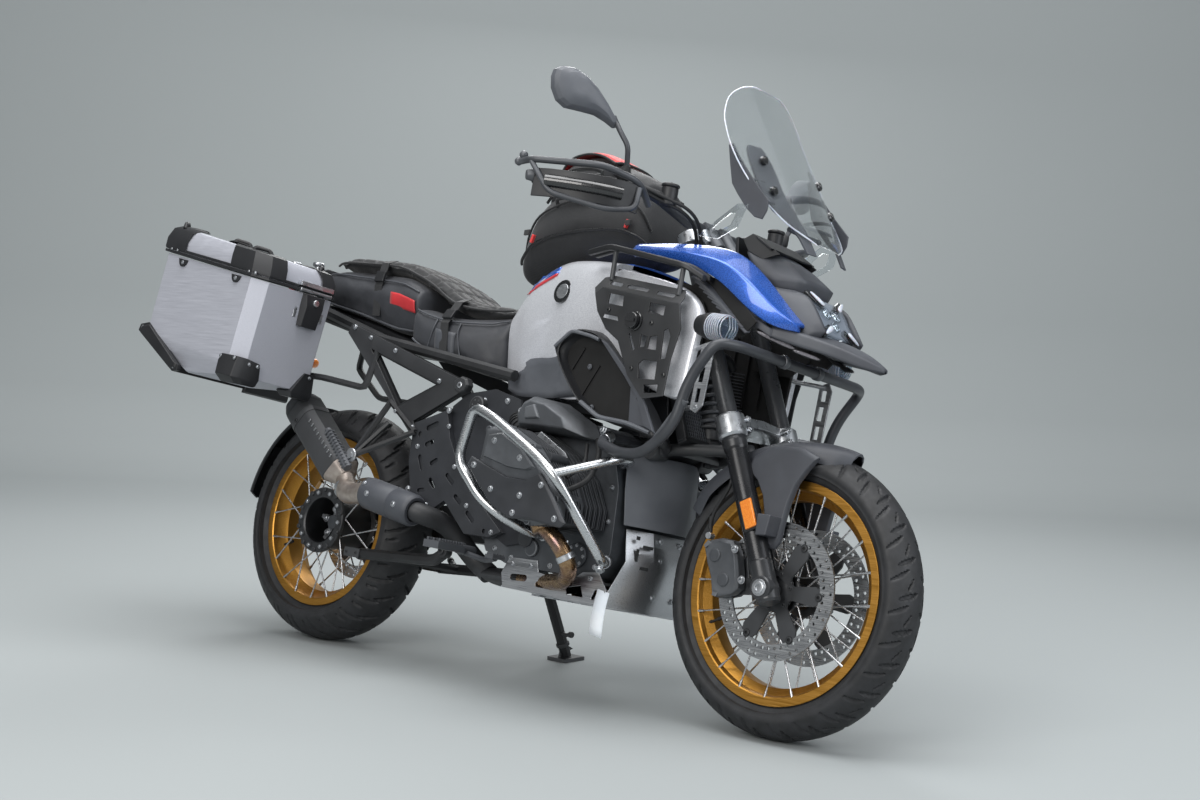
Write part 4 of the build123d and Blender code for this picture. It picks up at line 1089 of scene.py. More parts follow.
@dataclass
class Wheel:
    """A spoked wheel without its hub: tyre, gold rim, valve and crossed spokes."""

    label: str
    x: float
    tyre_r: float
    half: float
    rim_r: float
    rim_half: float
    hub_r: float
    hub_half: float
    pattern: Pattern
    body: str
    spoke_count: int = 40
    pitches: int = 26
    groove_mm: float = 6.0

    def build(self, shop: Workshop) -> None:
        """Build the tyre, rim and spokes and hang them on the wheel's body.

        Args:
            shop: places and finishes the pieces.
        """
        self.tyre(shop)
        self.rim(shop)
        self.spokes(shop)

    def crown(self, across: float) -> float:
        """Radius of the tread at a distance across the wheel.

        Args:
            across: distance from the wheel's middle plane.

        Returns:
            Distance from the axle.
        """
        fall = self.half * 0.62
        bow = (self.half ** 2 + fall ** 2) / (2 * fall)
        return self.tyre_r - bow + math.sqrt(max(0.0, bow ** 2 - across ** 2))

    def cut(self, u: float, v: float) -> float:
        """Depth of the tread pattern, from 0 to 1, at a place in one pitch.

        Args:
            u: place along the pitch, from 0 to 1.
            v: place across the tread, from -1 to 1.

        Returns:
            1 in a groove, 0 on a block.
        """
        side = abs(v)
        if self.pattern is Pattern.FRONT:
            slots = ((0.10, 0.80, 0.55, 0.34, 0.055), (0.46, 0.97, 0.20, -0.10, 0.05),
                     (0.30, 0.52, 0.95, 0.62, 0.04))
        else:
            slots = ((0.08, 0.62, 0.72, 0.30, 0.05), (0.40, 0.98, 0.30, -0.06, 0.055),
                     (0.66, 0.94, 0.78, 0.62, 0.035))
        deepest = 0.0
        for v_in, v_out, u_in, u_out, width in slots:
            if not v_in <= side <= v_out:
                continue
            share = (side - v_in) / (v_out - v_in)
            bend = u_in + (u_out - u_in) * share ** 0.8
            shift = 0.5 if v > 0 else 0.0
            gap = abs((u - bend - shift + 0.5) % 1.0 - 0.5)
            ends = min(1.0, share * 9, (1 - share) * 9 + (1.0 if v_out > 0.9 else 0.0))
            wide = width * (0.75 + 0.5 * math.sin(math.pi * share)) * max(ends, 0.0)
            deepest = max(deepest, min(1.0, max(0.0, (wide - gap) / 0.012 + 0.5)))
        return deepest

    def tyre(self, shop: Workshop) -> None:
        """Round tyre with sunk slots across the crown and plain ridged sidewalls.

        Args:
            shop: places and finishes the pieces.
        """
        steps_round = self.pitches * PITCH_STEPS
        tread = [(-1 + 2 * n / TREAD_STEPS) * TREAD_SHARE for n in range(TREAD_STEPS + 1)]
        shoulder = self.crown(self.half * TREAD_SHARE)
        bead = self.rim_half - 5.3
        top = self.rim_r + 1.0
        waist = (shoulder + top) / 2
        bulge = (self.half * 0.94 + bead) / 2
        side = [
            (self.half * 1.0, shoulder - 4), (self.half * 0.998, shoulder - 12),
            (self.half * 0.985, shoulder - 13.2), (self.half * 0.985, shoulder - 20),
            (self.half * 0.95, waist + 2), (self.half * 0.955, waist), (self.half * 0.94, waist - 2),
            (bulge, top + 13), (bulge - 1.0, top + 11),
            (bead + 4, top + 5), (bead + 2.4, top + 2), (bead, top), (bead, self.rim_r - 12),
        ]
        side = [(min(y, self.half), r) for y, r in side]
        bm = bmesh.new()
        rows = []
        for n in range(steps_round):
            angle = 2 * math.pi * n / steps_round
            u = (n / PITCH_STEPS) % 1.0
            row = [(-y, r) for y, r in reversed(side)]
            for v in tread:
                y = v * self.half
                row.append((y, self.crown(y) - self.groove_mm * self.cut(u, v)))
            row.extend(side)
            rows.append([(self.x + r * math.cos(angle), y, self.tyre_r + r * math.sin(angle))
                         for y, r in row])
        loft(bm, rows, wrap=True, open_ring=True)
        shop.fit(f"{self.label}_tyre_dressed", bm, Stock.TYRE, self.body,
                 [f"{self.label}_tyre"], smooth=40)

    def rim(self, shop: Workshop) -> None:
        """Gold rim with a deep well, raised spoke seats and rolled edges.

        Args:
            shop: places and finishes the pieces.
        """
        w, r = self.rim_half, self.rim_r
        seat, well = r - 16.0, r - 38.0
        profile = [
            (-w + 0.6, r), (-w + 4.4, r), (-w + 5, r - 1), (-w + 5, seat), (-w * 0.6, seat - 2),
            (-w * 0.34, well), (w * 0.34, well), (w * 0.6, seat - 2), (w - 5, seat), (w - 5, r - 1),
            (w - 4.4, r), (w - 0.6, r), (w, r - 1), (w, seat - 2), (w - 2, seat - 5),
            (w * 0.72, seat - 9), (w * 0.42, well - 4), (w * 0.3, well - 5), (-w * 0.3, well - 5),
            (-w * 0.42, well - 4), (-w * 0.72, seat - 9), (-w + 2, seat - 5), (-w, seat - 2),
            (-w, r - 1),
        ]
        bm = bmesh.new()
        add_lathe(bm, profile, self.x, self.tyre_r, 160)
        shop.fit(f"{self.label}_rim_dressed", bm, Stock.GOLD, self.body, [f"{self.label}_rim"],
                 smooth=28)
        bm = bmesh.new()
        angle = math.radians(205)
        foot = Vector((self.x + (r - 22) * math.cos(angle), -w * 0.5,
                       self.tyre_r + (r - 22) * math.sin(angle)))
        inward = Vector((-math.cos(angle), 0, -math.sin(angle)))
        add_rod(bm, foot, foot + inward * 16, 4.2, 12, edge=0.6)
        add_rod(bm, foot + inward * 14, foot + inward * 40, 3.0, 12)
        add_rod(bm, foot + inward * 34, foot + inward * 46, 4.4, 12, edge=0.8)
        shop.fit(f"{self.label}_valve", bm, Stock.GRIP, self.body)

    def spokes(self, shop: Workshop) -> None:
        """Crossed wire spokes with their nipples at the rim's edge and heads at the hub.

        Args:
            shop: places and finishes the pieces.
        """
        bm = bmesh.new()
        reach = 34.0
        outer = self.rim_r - 19.0
        per_side = self.spoke_count // 2
        for side in SIDES:
            for index in range(per_side):
                base = 360.0 * index / per_side + (4.5 if side > 0 else 0.0)
                rim_a = math.radians(base)
                hub_a = math.radians(base + (reach if index % 2 else -reach))
                a = Vector((self.x + outer * math.cos(rim_a), side * (self.rim_half - 4),
                            self.tyre_r + outer * math.sin(rim_a)))
                b = Vector((self.x + self.hub_r * math.cos(hub_a), side * self.hub_half,
                            self.tyre_r + self.hub_r * math.sin(hub_a)))
                way = (b - a).normalized()
                add_rod(bm, a, b, 2.1, 8)
                add_rod(bm, a - way * 2, a + way * 15, 3.9, 8, 3.2)
                add_rod(bm, b - way * 8, b + way * 2, 3.4, 8)
        shop.fit(f"{self.label}_spokes", bm, Stock.SPOKE, self.body, smooth=50)


def front_hub(shop: Workshop) -> None:
    """Slim black hub with spoke flanges, bearing caps and a ring of bolts on both sides.

    Args:
        shop: places and finishes the pieces.
    """
    profile = [
        (-62, 12), (-62, 30), (-60, 33), (-47, 33), (-46, 46), (-44.5, 48), (-39.5, 48), (-38, 46),
        (-35, 30), (-30, 26), (30, 26), (35, 30), (38, 46), (39.5, 48), (44.5, 48), (46, 46),
        (47, 33), (60, 33), (62, 30), (62, 12),
    ]
    bm = bmesh.new()
    add_lathe(bm, profile, WHEELBASE, FRONT_AXLE_Z, 64)
    add_side_bolts(bm, disc_edge(WHEELBASE, FRONT_AXLE_Z, 40, HUB_FLANGE_BOLTS, 0.5), 65, 5.5, 4.4)
    shop.fit("front_hub_dressed", bm, Stock.HUB, "front_wheel", ["front_hub"], smooth=35)


@dataclass
class Disc:
    """A floating brake disc: drilled steel ring, black carrier with arms and round buttons."""

    name: str
    x: float
    z: float
    y: float
    outer: float
    inner: float
    boss: float
    arms: int
    out: int
    body: str
    holes: int = 48

    def build(self, shop: Workshop, instead: Sequence[str] = ()) -> None:
        """Build ring, carrier and buttons."""
        self.ring(shop, instead)
        self.carrier(shop)

    def ring(self, shop: Workshop, instead: Sequence[str]) -> None:
        """Steel ring with an inner row of drilled holes and an outer row that skips every third.

        Args:
            shop: places and finishes the pieces.
            instead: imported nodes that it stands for.
        """
        bm = bmesh.new()
        half = 2.4
        cells = self.holes
        rows = ((self.inner, self.inner + (self.outer - self.inner) * 0.5),
                (self.inner + (self.outer - self.inner) * 0.5, self.outer))
        for band, (low, high) in enumerate(rows):
            for n in range(cells):
                a0 = 2 * math.pi * n / cells
                a1 = 2 * math.pi * (n + 1) / cells
                mid_r, mid_a = (low + high) / 2, (a0 + a1) / 2 + (0.012 if band else -0.012)
                size = (high - low) * 0.23
                corners = [(low, a0), (low, (a0 + a1) / 2), (low, a1), ((low + high) / 2, a1),
                           (high, a1), (high, (a0 + a1) / 2), (high, a0), ((low + high) / 2, a0)]
                edge = [(self.x + r * math.cos(a), self.z + r * math.sin(a)) for r, a in corners]
                cx, cz = self.x + mid_r * math.cos(mid_a), self.z + mid_r * math.sin(mid_a)
                rim = []
                for ex, ez in edge:
                    gap = math.hypot(ex - cx, ez - cz)
                    rim.append((cx + (ex - cx) * size / gap, cz + (ez - cz) * size / gap))
                drilled = n % 3 != 2 or band == 0
                for y in (self.y - half, self.y + half):
                    ev = [bm.verts.new((px, y, pz)) for px, pz in edge]
                    if not drilled:
                        bm.faces.new(ev)
                        continue
                    rv = [bm.verts.new((px, y, pz)) for px, pz in rim]
                    for i in range(8):
                        j = (i + 1) % 8
                        bm.faces.new((ev[i], ev[j], rv[j], rv[i]))
                if drilled:
                    loft(bm, [[(px, self.y + d, pz) for px, pz in rim] for d in (-half, half)],
                         caps=False)
        for radius in (self.inner, self.outer):
            edge = disc_edge(self.x, self.z, radius, 2 * cells)
            loft(bm, [[(px, self.y + d, pz) for px, pz in edge] for d in (-half, half)],
                 caps=False)
        bmesh.ops.remove_doubles(bm, verts=bm.verts, dist=0.01)
        shop.fit(self.name, bm, Stock.DISC, self.body, instead, smooth=30)

    def carrier(self, shop: Workshop) -> None:
        """Black carrier star with a boss, and a round float button at each arm's end.

        Args:
            shop: places and finishes the pieces.
        """
        bm = bmesh.new()
        for n in range(self.arms):
            points = []
            for share, reach in ((-0.13, self.inner + 1), (0.13, self.inner + 1),
                                 (0.20, self.inner - 12), (0.30, self.boss + 16),
                                 (0.5, self.boss + 9), (0.5, self.boss), (-0.5, self.boss),
                                 (-0.5, self.boss + 9), (-0.30, self.boss + 16),
                                 (-0.20, self.inner - 12)):
                points.append(on_circle(self.x, self.z, reach, (n + share) / self.arms))
            add_prism(bm, points, self.y - 2.6, self.y + 2.6)
        for n in range(self.arms):
            for share, reach, size in ((0.0, self.inner - 1, 7.5), (0.25, self.boss + 6, 4.0)):
                x, z = on_circle(self.x, self.z, reach, (n + share) / self.arms)
                add_bolt(bm, (x, self.y + self.out * 2.4, z), (0, self.out, 0), size, 2.6)
        shop.fit(f"{self.name}_carrier", bm, Stock.HUB, self.body, smooth=35)


def rear_hub(shop: Workshop) -> None:
    """Wide open hub with a ring of bolts on the right and the star inside it.

    Args:
        shop: places and finishes the pieces.
    """
    profile = [
        (-76, 62), (-79, 66), (-79, 87), (-77, 89), (-69, 89), (-66, 86), (-58, 76), (50, 66),
        (58, 74), (64, 74), (66, 72), (70, 40), (92, 40), (92, 18), (40, 18), (30, 58), (-60, 62),
    ]
    bm = bmesh.new()
    add_lathe(bm, profile, 0, REAR_AXLE_Z, 80)
    bolts = bmesh.new()
    for n in range(20):
        if n % 2:
            x, z = on_circle(0, REAR_AXLE_Z, 83, n / 20)
            add_rod(bm, (x, -72, z), (x, -84, z), 6.5, 14, edge=1.5)
        else:
            x, z = on_circle(0, REAR_AXLE_Z, 76, n / 20)
            add_rod(bm, (x, -76, z), (x, -82, z), 9.5, 20, edge=1.0)
            add_bolt(bolts, (x, -82, z), (0, -1, 0), 4.2)
    star = bmesh.new()
    for n in range(5):
        share = (n + 0.3) / 5
        add_prism(star, radial_rib(REAR_AXLE_Z, share, (18, 9), (57, 6)), -26, 34)
        x, z = on_circle(0, REAR_AXLE_Z, 36, share)
        add_bolt(bolts, (x, -26, z), (0, -1, 0), 8.0, 7)
    add_rod(star, (0, 34, REAR_AXLE_Z), (0, -34, REAR_AXLE_Z), 24, 32, 20, edge=1.5)
    shop.fit("rear_hub_dressed", bm, Stock.HUB, "rear_wheel", ["rear_hub"], smooth=35)
    shop.fit("rear_hub_star", star, Stock.ENGINE_GREY, "rear_wheel", round_mm=1.0)
    shop.fit("rear_hub_bolts", bolts, Stock.SILVER, "rear_wheel", smooth=35)


def build_wheels(shop: Workshop) -> None:
    """Both wheels with hubs and discs.

    Args:
        shop: places and finishes the pieces.
    """
    Wheel("front", WHEELBASE, FRONT_AXLE_Z, 60.0, 253.0, 47.0, 44.0, 42.0, Pattern.FRONT,
          "front_wheel").build(shop)
    Wheel("rear", 0.0, REAR_AXLE_Z, 85.0, 232.0, 62.5, 72.0, 62.0, Pattern.REAR,
          "rear_wheel", groove_mm=6.5).build(shop)
    front_hub(shop)
    rear_hub(shop)
    Disc("front_disc_right", WHEELBASE, FRONT_AXLE_Z, -68.0, 155, 118, 34, 6, -1,
         "front_wheel").build(shop, ["front_discs"])
    Disc("front_disc_left", WHEELBASE, FRONT_AXLE_Z, 68.0, 155, 118, 34, 6, 1,
         "front_wheel").build(shop)
    Disc("rear_disc", 0, REAR_AXLE_Z, 78.5, 142, 106, 38, 6, 1, "rear_wheel", 42).build(shop)


# --- painted and moulded panels -------------------------------------------------------------
def creased(bm: Mesh, sharp_deg: float, amount: float) -> None:
    """Mark edges that bend by more than sharp_deg so that subdivision keeps them crisp.

    Args:
        bm: mesh to mark.
        sharp_deg: least bend of an edge that stays crisp.
        amount: how crisp it stays.
    """
    bmesh.ops.recalc_face_normals(bm, faces=bm.faces)
    layer = bm.edges.layers.float.get("crease_edge") or bm.edges.layers.float.new("crease_edge")
    for edge in bm.edges:
        bent = len(edge.link_faces) != 2 or math.degrees(edge.calc_face_angle(0.0)) > sharp_deg
        if bent:
            edge[layer] = amount


def rounded_section(points: Sequence[Pair], steps: int = 4) -> list[Pair]:
    """A closed or open row of (y, z) points drawn as a smooth curve through them.

    Args:
        points: corners in order.
        steps: points per stretch.

    Returns:
        The points of the curve.
    """
    out: list[Pair] = []
    last = len(points) - 1
    for i in range(last):
        p0, p1 = points[max(0, i - 1)], points[i]
        p2, p3 = points[i + 1], points[min(last, i + 2)]
        for n in range(steps):
            t = n / steps
            out.append(tuple(
                0.5 * (2 * b + (c - a) * t + (2 * a - 5 * b + 4 * c - d) * t * t
                       + (3 * b - a - 3 * c + d) * t ** 3)
                for a, b, c, d in zip(p0, p1, p2, p3)
            ))
    out.append(tuple(points[last]))
    return out


def smooth_rows(rows: Sequence[Sequence[float]], steps: int = 4) -> list[tuple[float, ...]]:
    """Fill in stations between the given ones along a smooth curve."""
    return rounded_section(rows, steps)


@dataclass
class Tank:
    """Painted fuel tank with its black knee panel and side stripe."""

    rows: tuple[tuple[float, ...], ...] = (
        # x, then half width and height of low edge, middle, shoulder and top, then the ridge
        (612, 92, 775, 108, 870, 94, 912, 50, 922, 925),
        (645, 106, 742, 120, 872, 106, 950, 60, 962, 966),
        (700, 118, 712, 142, 866, 124, 992, 70, 1006, 1010),
        (800, 135, 705, 174, 880, 152, 1024, 90, 1040, 1044),
        (900, 146, 700, 198, 925, 176, 1030, 100, 1044, 1048),
        (1005, 152, 712, 204, 955, 188, 1024, 110, 1040, 1044),
    )

    def half(self, row: Sequence[float]) -> list[Pair]:
        """Right half of one section as smooth (y, z) points, from low edge to ridge."""
        pairs = list(zip(row[1:9:2], row[2:10:2])) + [(0.0, row[9])]
        return [(-y, z) for y, z in rounded_section(pairs, 5)]

    def skin_y(self, x: float, z: float) -> float:
        """Distance out of the painted side at a place on it.

        Args:
            x: place along the machine.
            z: height.

        Returns:
            The skin's distance from the middle plane.
        """
        rows = smooth_rows(self.rows, 8)
        row = min(rows, key=lambda r: abs(r[0] - x))
        return min(self.half(row), key=lambda p: abs(p[1] - z) + (0 if p[0] < -60 else 500))[0]

    def build(self, shop: Workshop) -> None:
        """Build the shell, ridge cover, black lower panel, stripe and emblem place.

        Args:
            shop: places and finishes the pieces.
        """
        bm = bmesh.new()
        rings = []
        for row in smooth_rows(self.rows, 5):
            right = self.half(row)
            left = [(-y, z) for y, z in reversed(right[:-1])]
            rings.append([(row[0], y, z) for y, z in right + left])
        loft(bm, rings)
        shop.fit("tank_shell", bm, Stock.TANK, instead=["fuel_tank"], smooth=50)
        self.top_cover(shop)
        self.knee_panel(shop)
        self.stripe(shop)
        self.emblem_place(shop)

    def top_cover(self, shop: Workshop) -> None:
        """Ridge cover along the tank's top under the bag: black at the rear, blue ahead."""
        self.cover_part(shop, "tank_top_rear", 640, 812, Stock.BLACK_PLASTIC)
        self.cover_part(shop, "tank_top_front", 812, 1010, Stock.BLUE)

    def cover_part(self, shop: Workshop, name: str, x_from: float, x_to: float,
                   finish: Finish) -> None:
        """Build one length of the ridge cover.

        Args:
            shop: places and finishes the pieces.
            name: the piece's name.
            x_from: where it starts.
            x_to: where it ends.
            finish: its finish.
        """
        bm = bmesh.new()
        rings = []
        for row in smooth_rows(self.rows, 8):
            x, w, z = row[0], row[7] + 22, row[8]
            if not x_from <= x <= x_to:
                continue
            rings.append([(x, -w, z - 12), (x, -w + 6, z + 2), (x, -w * 0.5, row[9] + 4.0),
                          (x, 0, row[9] + 5.5), (x, w * 0.5, row[9] + 4.0), (x, w - 6, z + 2),
                          (x, w, z - 12)])
        loft(bm, rings)
        shop.fit(name, bm, finish, smooth=40)

    def band(self, edge_low: Sequence[Pair], edge_high: Sequence[Pair], proud: float,
             name: str, finish: Finish, shop: Workshop, rows: int = 6) -> None:
        """Lay a thin shaped layer on the tank's flank between two (x, z) edges, both sides.

        Args:
            edge_low: its lower edge.
            edge_high: its upper edge.
            proud: how far it stands off the skin.
            name: the piece's name.
            finish: its finish.
            shop: places and finishes the pieces.
            rows: steps between the edges.
        """
        bm = bmesh.new()
        low = rounded_section(edge_low, 6)
        high = rounded_section(edge_high, 6)
        outer = []
        for n in range(rows + 1):
            t = n / rows
            line = []
            for (xa, za), (xb, zb) in zip(low, high):
                x, z = xa + (xb - xa) * t, za + (zb - za) * t
                line.append((x, self.skin_y(x, z) - proud, z))
            outer.append(line)
        loft(bm, outer, open_ring=True)
        mirrored(bm)
        thicken(shop.fit(name, bm, finish, smooth=50), 1.6)

    def knee_panel(self, shop: Workshop) -> None:
        """Dark moulded panel below the paint, stepped up towards the scoop.

        Args:
            shop: places and finishes the pieces.
        """
        self.band([(648, 716), (700, 700), (780, 698), (850, 700), (905, 706), (962, 712)],
                  [(640, 748), (706, 762), (745, 790), (850, 796), (880, 822), (962, 826)],
                  5.0, "tank_knee_panel", Stock.MID_PLASTIC, shop)

    def stripe(self, shop: Workshop) -> None:
        """Blue stripe with a red lower line that runs from the seat up the tank's shoulder.

        Args:
            shop: places and finishes the pieces.
        """
        self.band([(662, 968), (720, 988), (790, 1008)], [(672, 992), (728, 1008), (790, 1026)],
                  0.8, "tank_blue_stripe", Stock.BLUE, shop, 4)
        self.band([(660, 958), (720, 979), (788, 1001)], [(662, 967), (720, 987.5), (790, 1008)],
                  0.9, "tank_red_line", Stock.RED, shop, 2)

    def emblem_place(self, shop: Workshop) -> None:
        """Bare round boss on the flank: dark rim round a plain brushed face.

        Args:
            shop: places and finishes the pieces.
        """
        x, z = 846, 956
        for name, radius, height, finish in (("tank_boss_rim", 30, 3.0, Stock.GLOSS_BLACK),
                                             ("tank_boss_face", 20, 3.6, Stock.SHEET)):
            bm = bmesh.new()
            for side in SIDES:
                y = -self.skin_y(x, z)
                out = Vector((-0.10, side, 0.16)).normalized()
                base = Vector((x, side * y, z)) - out * 4
                add_rod(bm, base, base + out * (4 + height + 1.5), radius, 48, edge=1.2)
            shop.fit(name, bm, finish, smooth=30)


SHOULDER_OUTLINE = [(1008, 1018), (1110, 1004), (1200, 985), (1242, 972), (1280, 948),
                    (1305, 912), (1300, 876), (1296, 840), (1292, 780), (1288, 722), (1262, 708),
                    (1180, 734), (1100, 760), (1050, 738), (1008, 716)]


@dataclass
class Shoulders:
    """White shoulder panels, hollow scoops floored with painted shade and the blue upper cowls."""

    cowl_rows: tuple[tuple[float, ...], ...] = (
        # x, then distance out and height of the top edge, the crease and the bottom edge
        (1060, 190, 1078, 206, 1062, 202, 1046),
        (1140, 184, 1082, 210, 1060, 204, 1042),
        (1219, 176, 1084, 212, 1056, 204, 1035),
        (1280, 158, 1082, 208, 1048, 200, 1016),
        (1337, 137, 1074, 200, 1038, 194, 991),
        (1400, 116, 1024, 186, 1002, 178, 938),
        (1460, 103, 964, 160, 945, 152, 902),
        (1512, 94, 920, 130, 914, 122, 900),
    )

    def build(self, shop: Workshop) -> None:
        """Build panels, scoops and cowls.

        Args:
            shop: places and finishes the pieces.
        """
        self.shoulder(shop)
        self.scoop(shop)
        self.cowl(shop)

    def shoulder(self, shop: Workshop) -> None:
        """Curved white panel ahead of the tank, with a soft rolled edge.

        Args:
            shop: places and finishes the pieces.
        """
        bm = bmesh.new()
        rings = []
        for y, share in ((-186, 1.0), (-196, 1.0), (-203, 0.985), (-207, 0.95)):
            rings.append([(x, y, z) for x, z in shrunk(SHOULDER_OUTLINE, share)])
        rows = loft(bm, rings, caps=False)
        inner = [bm.verts.new((x, -209.5, z)) for x, z in shrunk(SHOULDER_OUTLINE, 0.72)]
        core = [bm.verts.new((x, -210.5, z)) for x, z in shrunk(SHOULDER_OUTLINE, 0.3)]
        for a, b in ((rows[-1], inner), (inner, core)):
            for i in range(len(a)):
                j = (i + 1) % len(a)
                bm.faces.new((a[i], a[j], b[j], b[i]))
        bm.faces.new(core)
        bm.faces.new(list(reversed(rows[0])))
        mirrored(bm)
        creased(bm, 70, 0.5)
        shop.fit("shoulder_panels", bm, Stock.TANK, instead=["side_fairings"], levels=2)

    def scoop(self, shop: Workshop) -> None:
        """Open air duct: bright-edged rim round a hollow that runs inwards, its floor a near-black
        sheet of painted shade.

        Args:
            shop: places and finishes the pieces.
        """
        mouth = [(884, 815), (944, 866), (1010, 856), (1040, 846), (1130, 764), (1210, 690),
                 (1248, 640), (1252, 614), (1160, 636), (1072, 644), (1000, 678), (930, 752)]
        bm = bmesh.new()
        rings = []
        for y, share in ((-200, 1.02), (-224, 1.0), (-235, 0.985), (-239, 0.955), (-237, 0.925),
                         (-222, 0.91), (-212.5, 0.88)):
            rings.append([(x, y, z) for x, z in shrunk(mouth, share)])
        loft(bm, rings, caps=False)
        mirrored(bm)
        creased(bm, 80, 0.6)
        shop.fit("air_scoop_ducts", bm, Stock.BLACK_PLASTIC, instead=["air_scoops"], levels=2)
        # Painted shade: a near-black floor and grooves are set in each scoop where the deep duct lies
        # in shade.
        bm = bmesh.new()
        floor = shrunk(mouth, 0.9)
        loft(bm, [[(x, -212, z) for x, z in floor],
                  [(x + 8, -202, z) for x, z in shrunk(floor, 0.9)]])
        for x, z, long in ((960, 790, 60), (1010, 740, 84)):
            add_block(bm, (x, -213, z), (5, 5, long), Matrix.Rotation(0.5, 3, "Y"))
        mirrored(bm)
        shop.fit("air_scoop_painted_shade", bm, Stock.PAINTED_SHADE, smooth=30)
        bm = bmesh.new()
        blade = [(1040, 838), (1064, 830), (1150, 760), (1214, 690), (1256, 624), (1222, 636),
                 (1188, 700), (1136, 752)]
        add_stack(bm, blade, ((-236, 1.0), (-243, 0.94)))
        wedge = [(1150, 748), (1206, 672), (1232, 634), (1166, 640)]
        add_stack(bm, wedge, ((-230, 1.0), (-238, 0.85)))
        mirrored(bm)
        shop.fit("scoop_blades", bm, Stock.GREY_PLASTIC, round_mm=1.5)
        bm = bmesh.new()
        add_tube(bm, [(898, -236, 812), (946, -239, 852), (1010, -239, 842), (1036, -238, 834)],
                 4.5, 14, 8)
        add_tube(bm, [(1012, -238, 684), (1076, -239, 652), (1162, -238, 645), (1236, -236, 628)],
                 5.5, 14, 8)
        for x, z in ((1002, 772), (1030, 676), (916, 772)):
            add_bolt(bm, (x, -216, z), (0, -1, 0), 5, 3)
        mirrored(bm)
        shop.fit("scoop_edges", bm, Stock.MID_PLASTIC, smooth=40)

    def cowl(self, shop: Workshop) -> None:
        """Blue metallic cowl with one crisp crease and a turned-in lower edge.

        Args:
            shop: places and finishes the pieces.
        """
        bm = bmesh.new()
        rings = []
        for x, y1, z1, y2, z2, y3, z3 in self.cowl_rows:
            outer = [(y1 - 8, z1 - 7), (y1, z1), (y1 * 0.45 + y2 * 0.55, z1 * 0.46 + z2 * 0.54 + 2),
                     (y2, z2), (y2 * 0.4 + y3 * 0.6 + 1.5, z2 * 0.4 + z3 * 0.6), (y3, z3),
                     (y3 - 9, z3 - 1)]
            rings.append([(x, -y, z) for y, z in outer]
                         + [(x, -(y - 4), z + 1) for y, z in reversed(outer)])
        rows = loft(bm, rings)
        layer = bm.edges.layers.float.new("crease_edge")
        for near, far in zip(rows, rows[1:]):
            for index, amount in ((3, 0.85), (1, 0.7), (5, 0.8)):
                edge = bm.edges.get((near[index], far[index]))
                edge[layer] = amount
        for row in (rows[0], rows[-1]):
            for a, b in zip(row, row[1:] + row[:1]):
                bm.edges.get((a, b))[layer] = 0.8
        mirrored(bm)
        shop.fit("blue_cowls", bm, Stock.BLUE, instead=["side_cowls"], levels=3)


def build_front_panels(shop: Workshop) -> None:
    """Louvres, beak, nose, headlight, screen and lamps.

    Args:
        shop: places and finishes the pieces.
    """
    louvres(shop)
    beak(shop)
    nose(shop)
    headlight(shop)
    screen(shop)
    aux_lamps(shop)


def louvres(shop: Workshop) -> None:
    """Plate of near-black painted shade with fins stacked on it between the shoulder panel and the
    blue cowl.

    Args:
        shop: places and finishes the pieces.
    """
    bm = bmesh.new()
    fins = bmesh.new()
    plate = [(1236, 984), (1262, 1010), (1330, 1000), (1392, 948), (1436, 908), (1400, 868),
             (1334, 882), (1312, 920), (1290, 952)]
    add_prism(bm, plate, -176, -170)
    for n in range(8):
        x, z = 1286 + 13.5 * n, 979 - 11.0 * n
        run = [Vector((x - 44, -190 + 1.5 * n, z + 25)), Vector((x - 10, -187 + 1.5 * n, z + 10)),
               Vector((x + 34, -176, z - 20))]
        rings = []
        for spot in smooth_path(run, 20, 4):
            rings.append([spot + Vector((-1, -6, -4)), spot + Vector((0.5, -6, -1)),
                          spot + Vector((4, 8, 4.5)), spot + Vector((2, 8, 0.5))])
        loft(fins, rings)
    mirrored(bm)
    mirrored(fins)
    # The plate behind the fins is painted shade: near-black where the gaps between the fins lie in
    # shade.
    shop.fit("louvre_painted_shade", bm, Stock.PAINTED_SHADE, instead=["louvre_panels"], round_mm=0.6)
    shop.fit("cooling_louvres", fins, Stock.GREY_PLASTIC, round_mm=0.6)


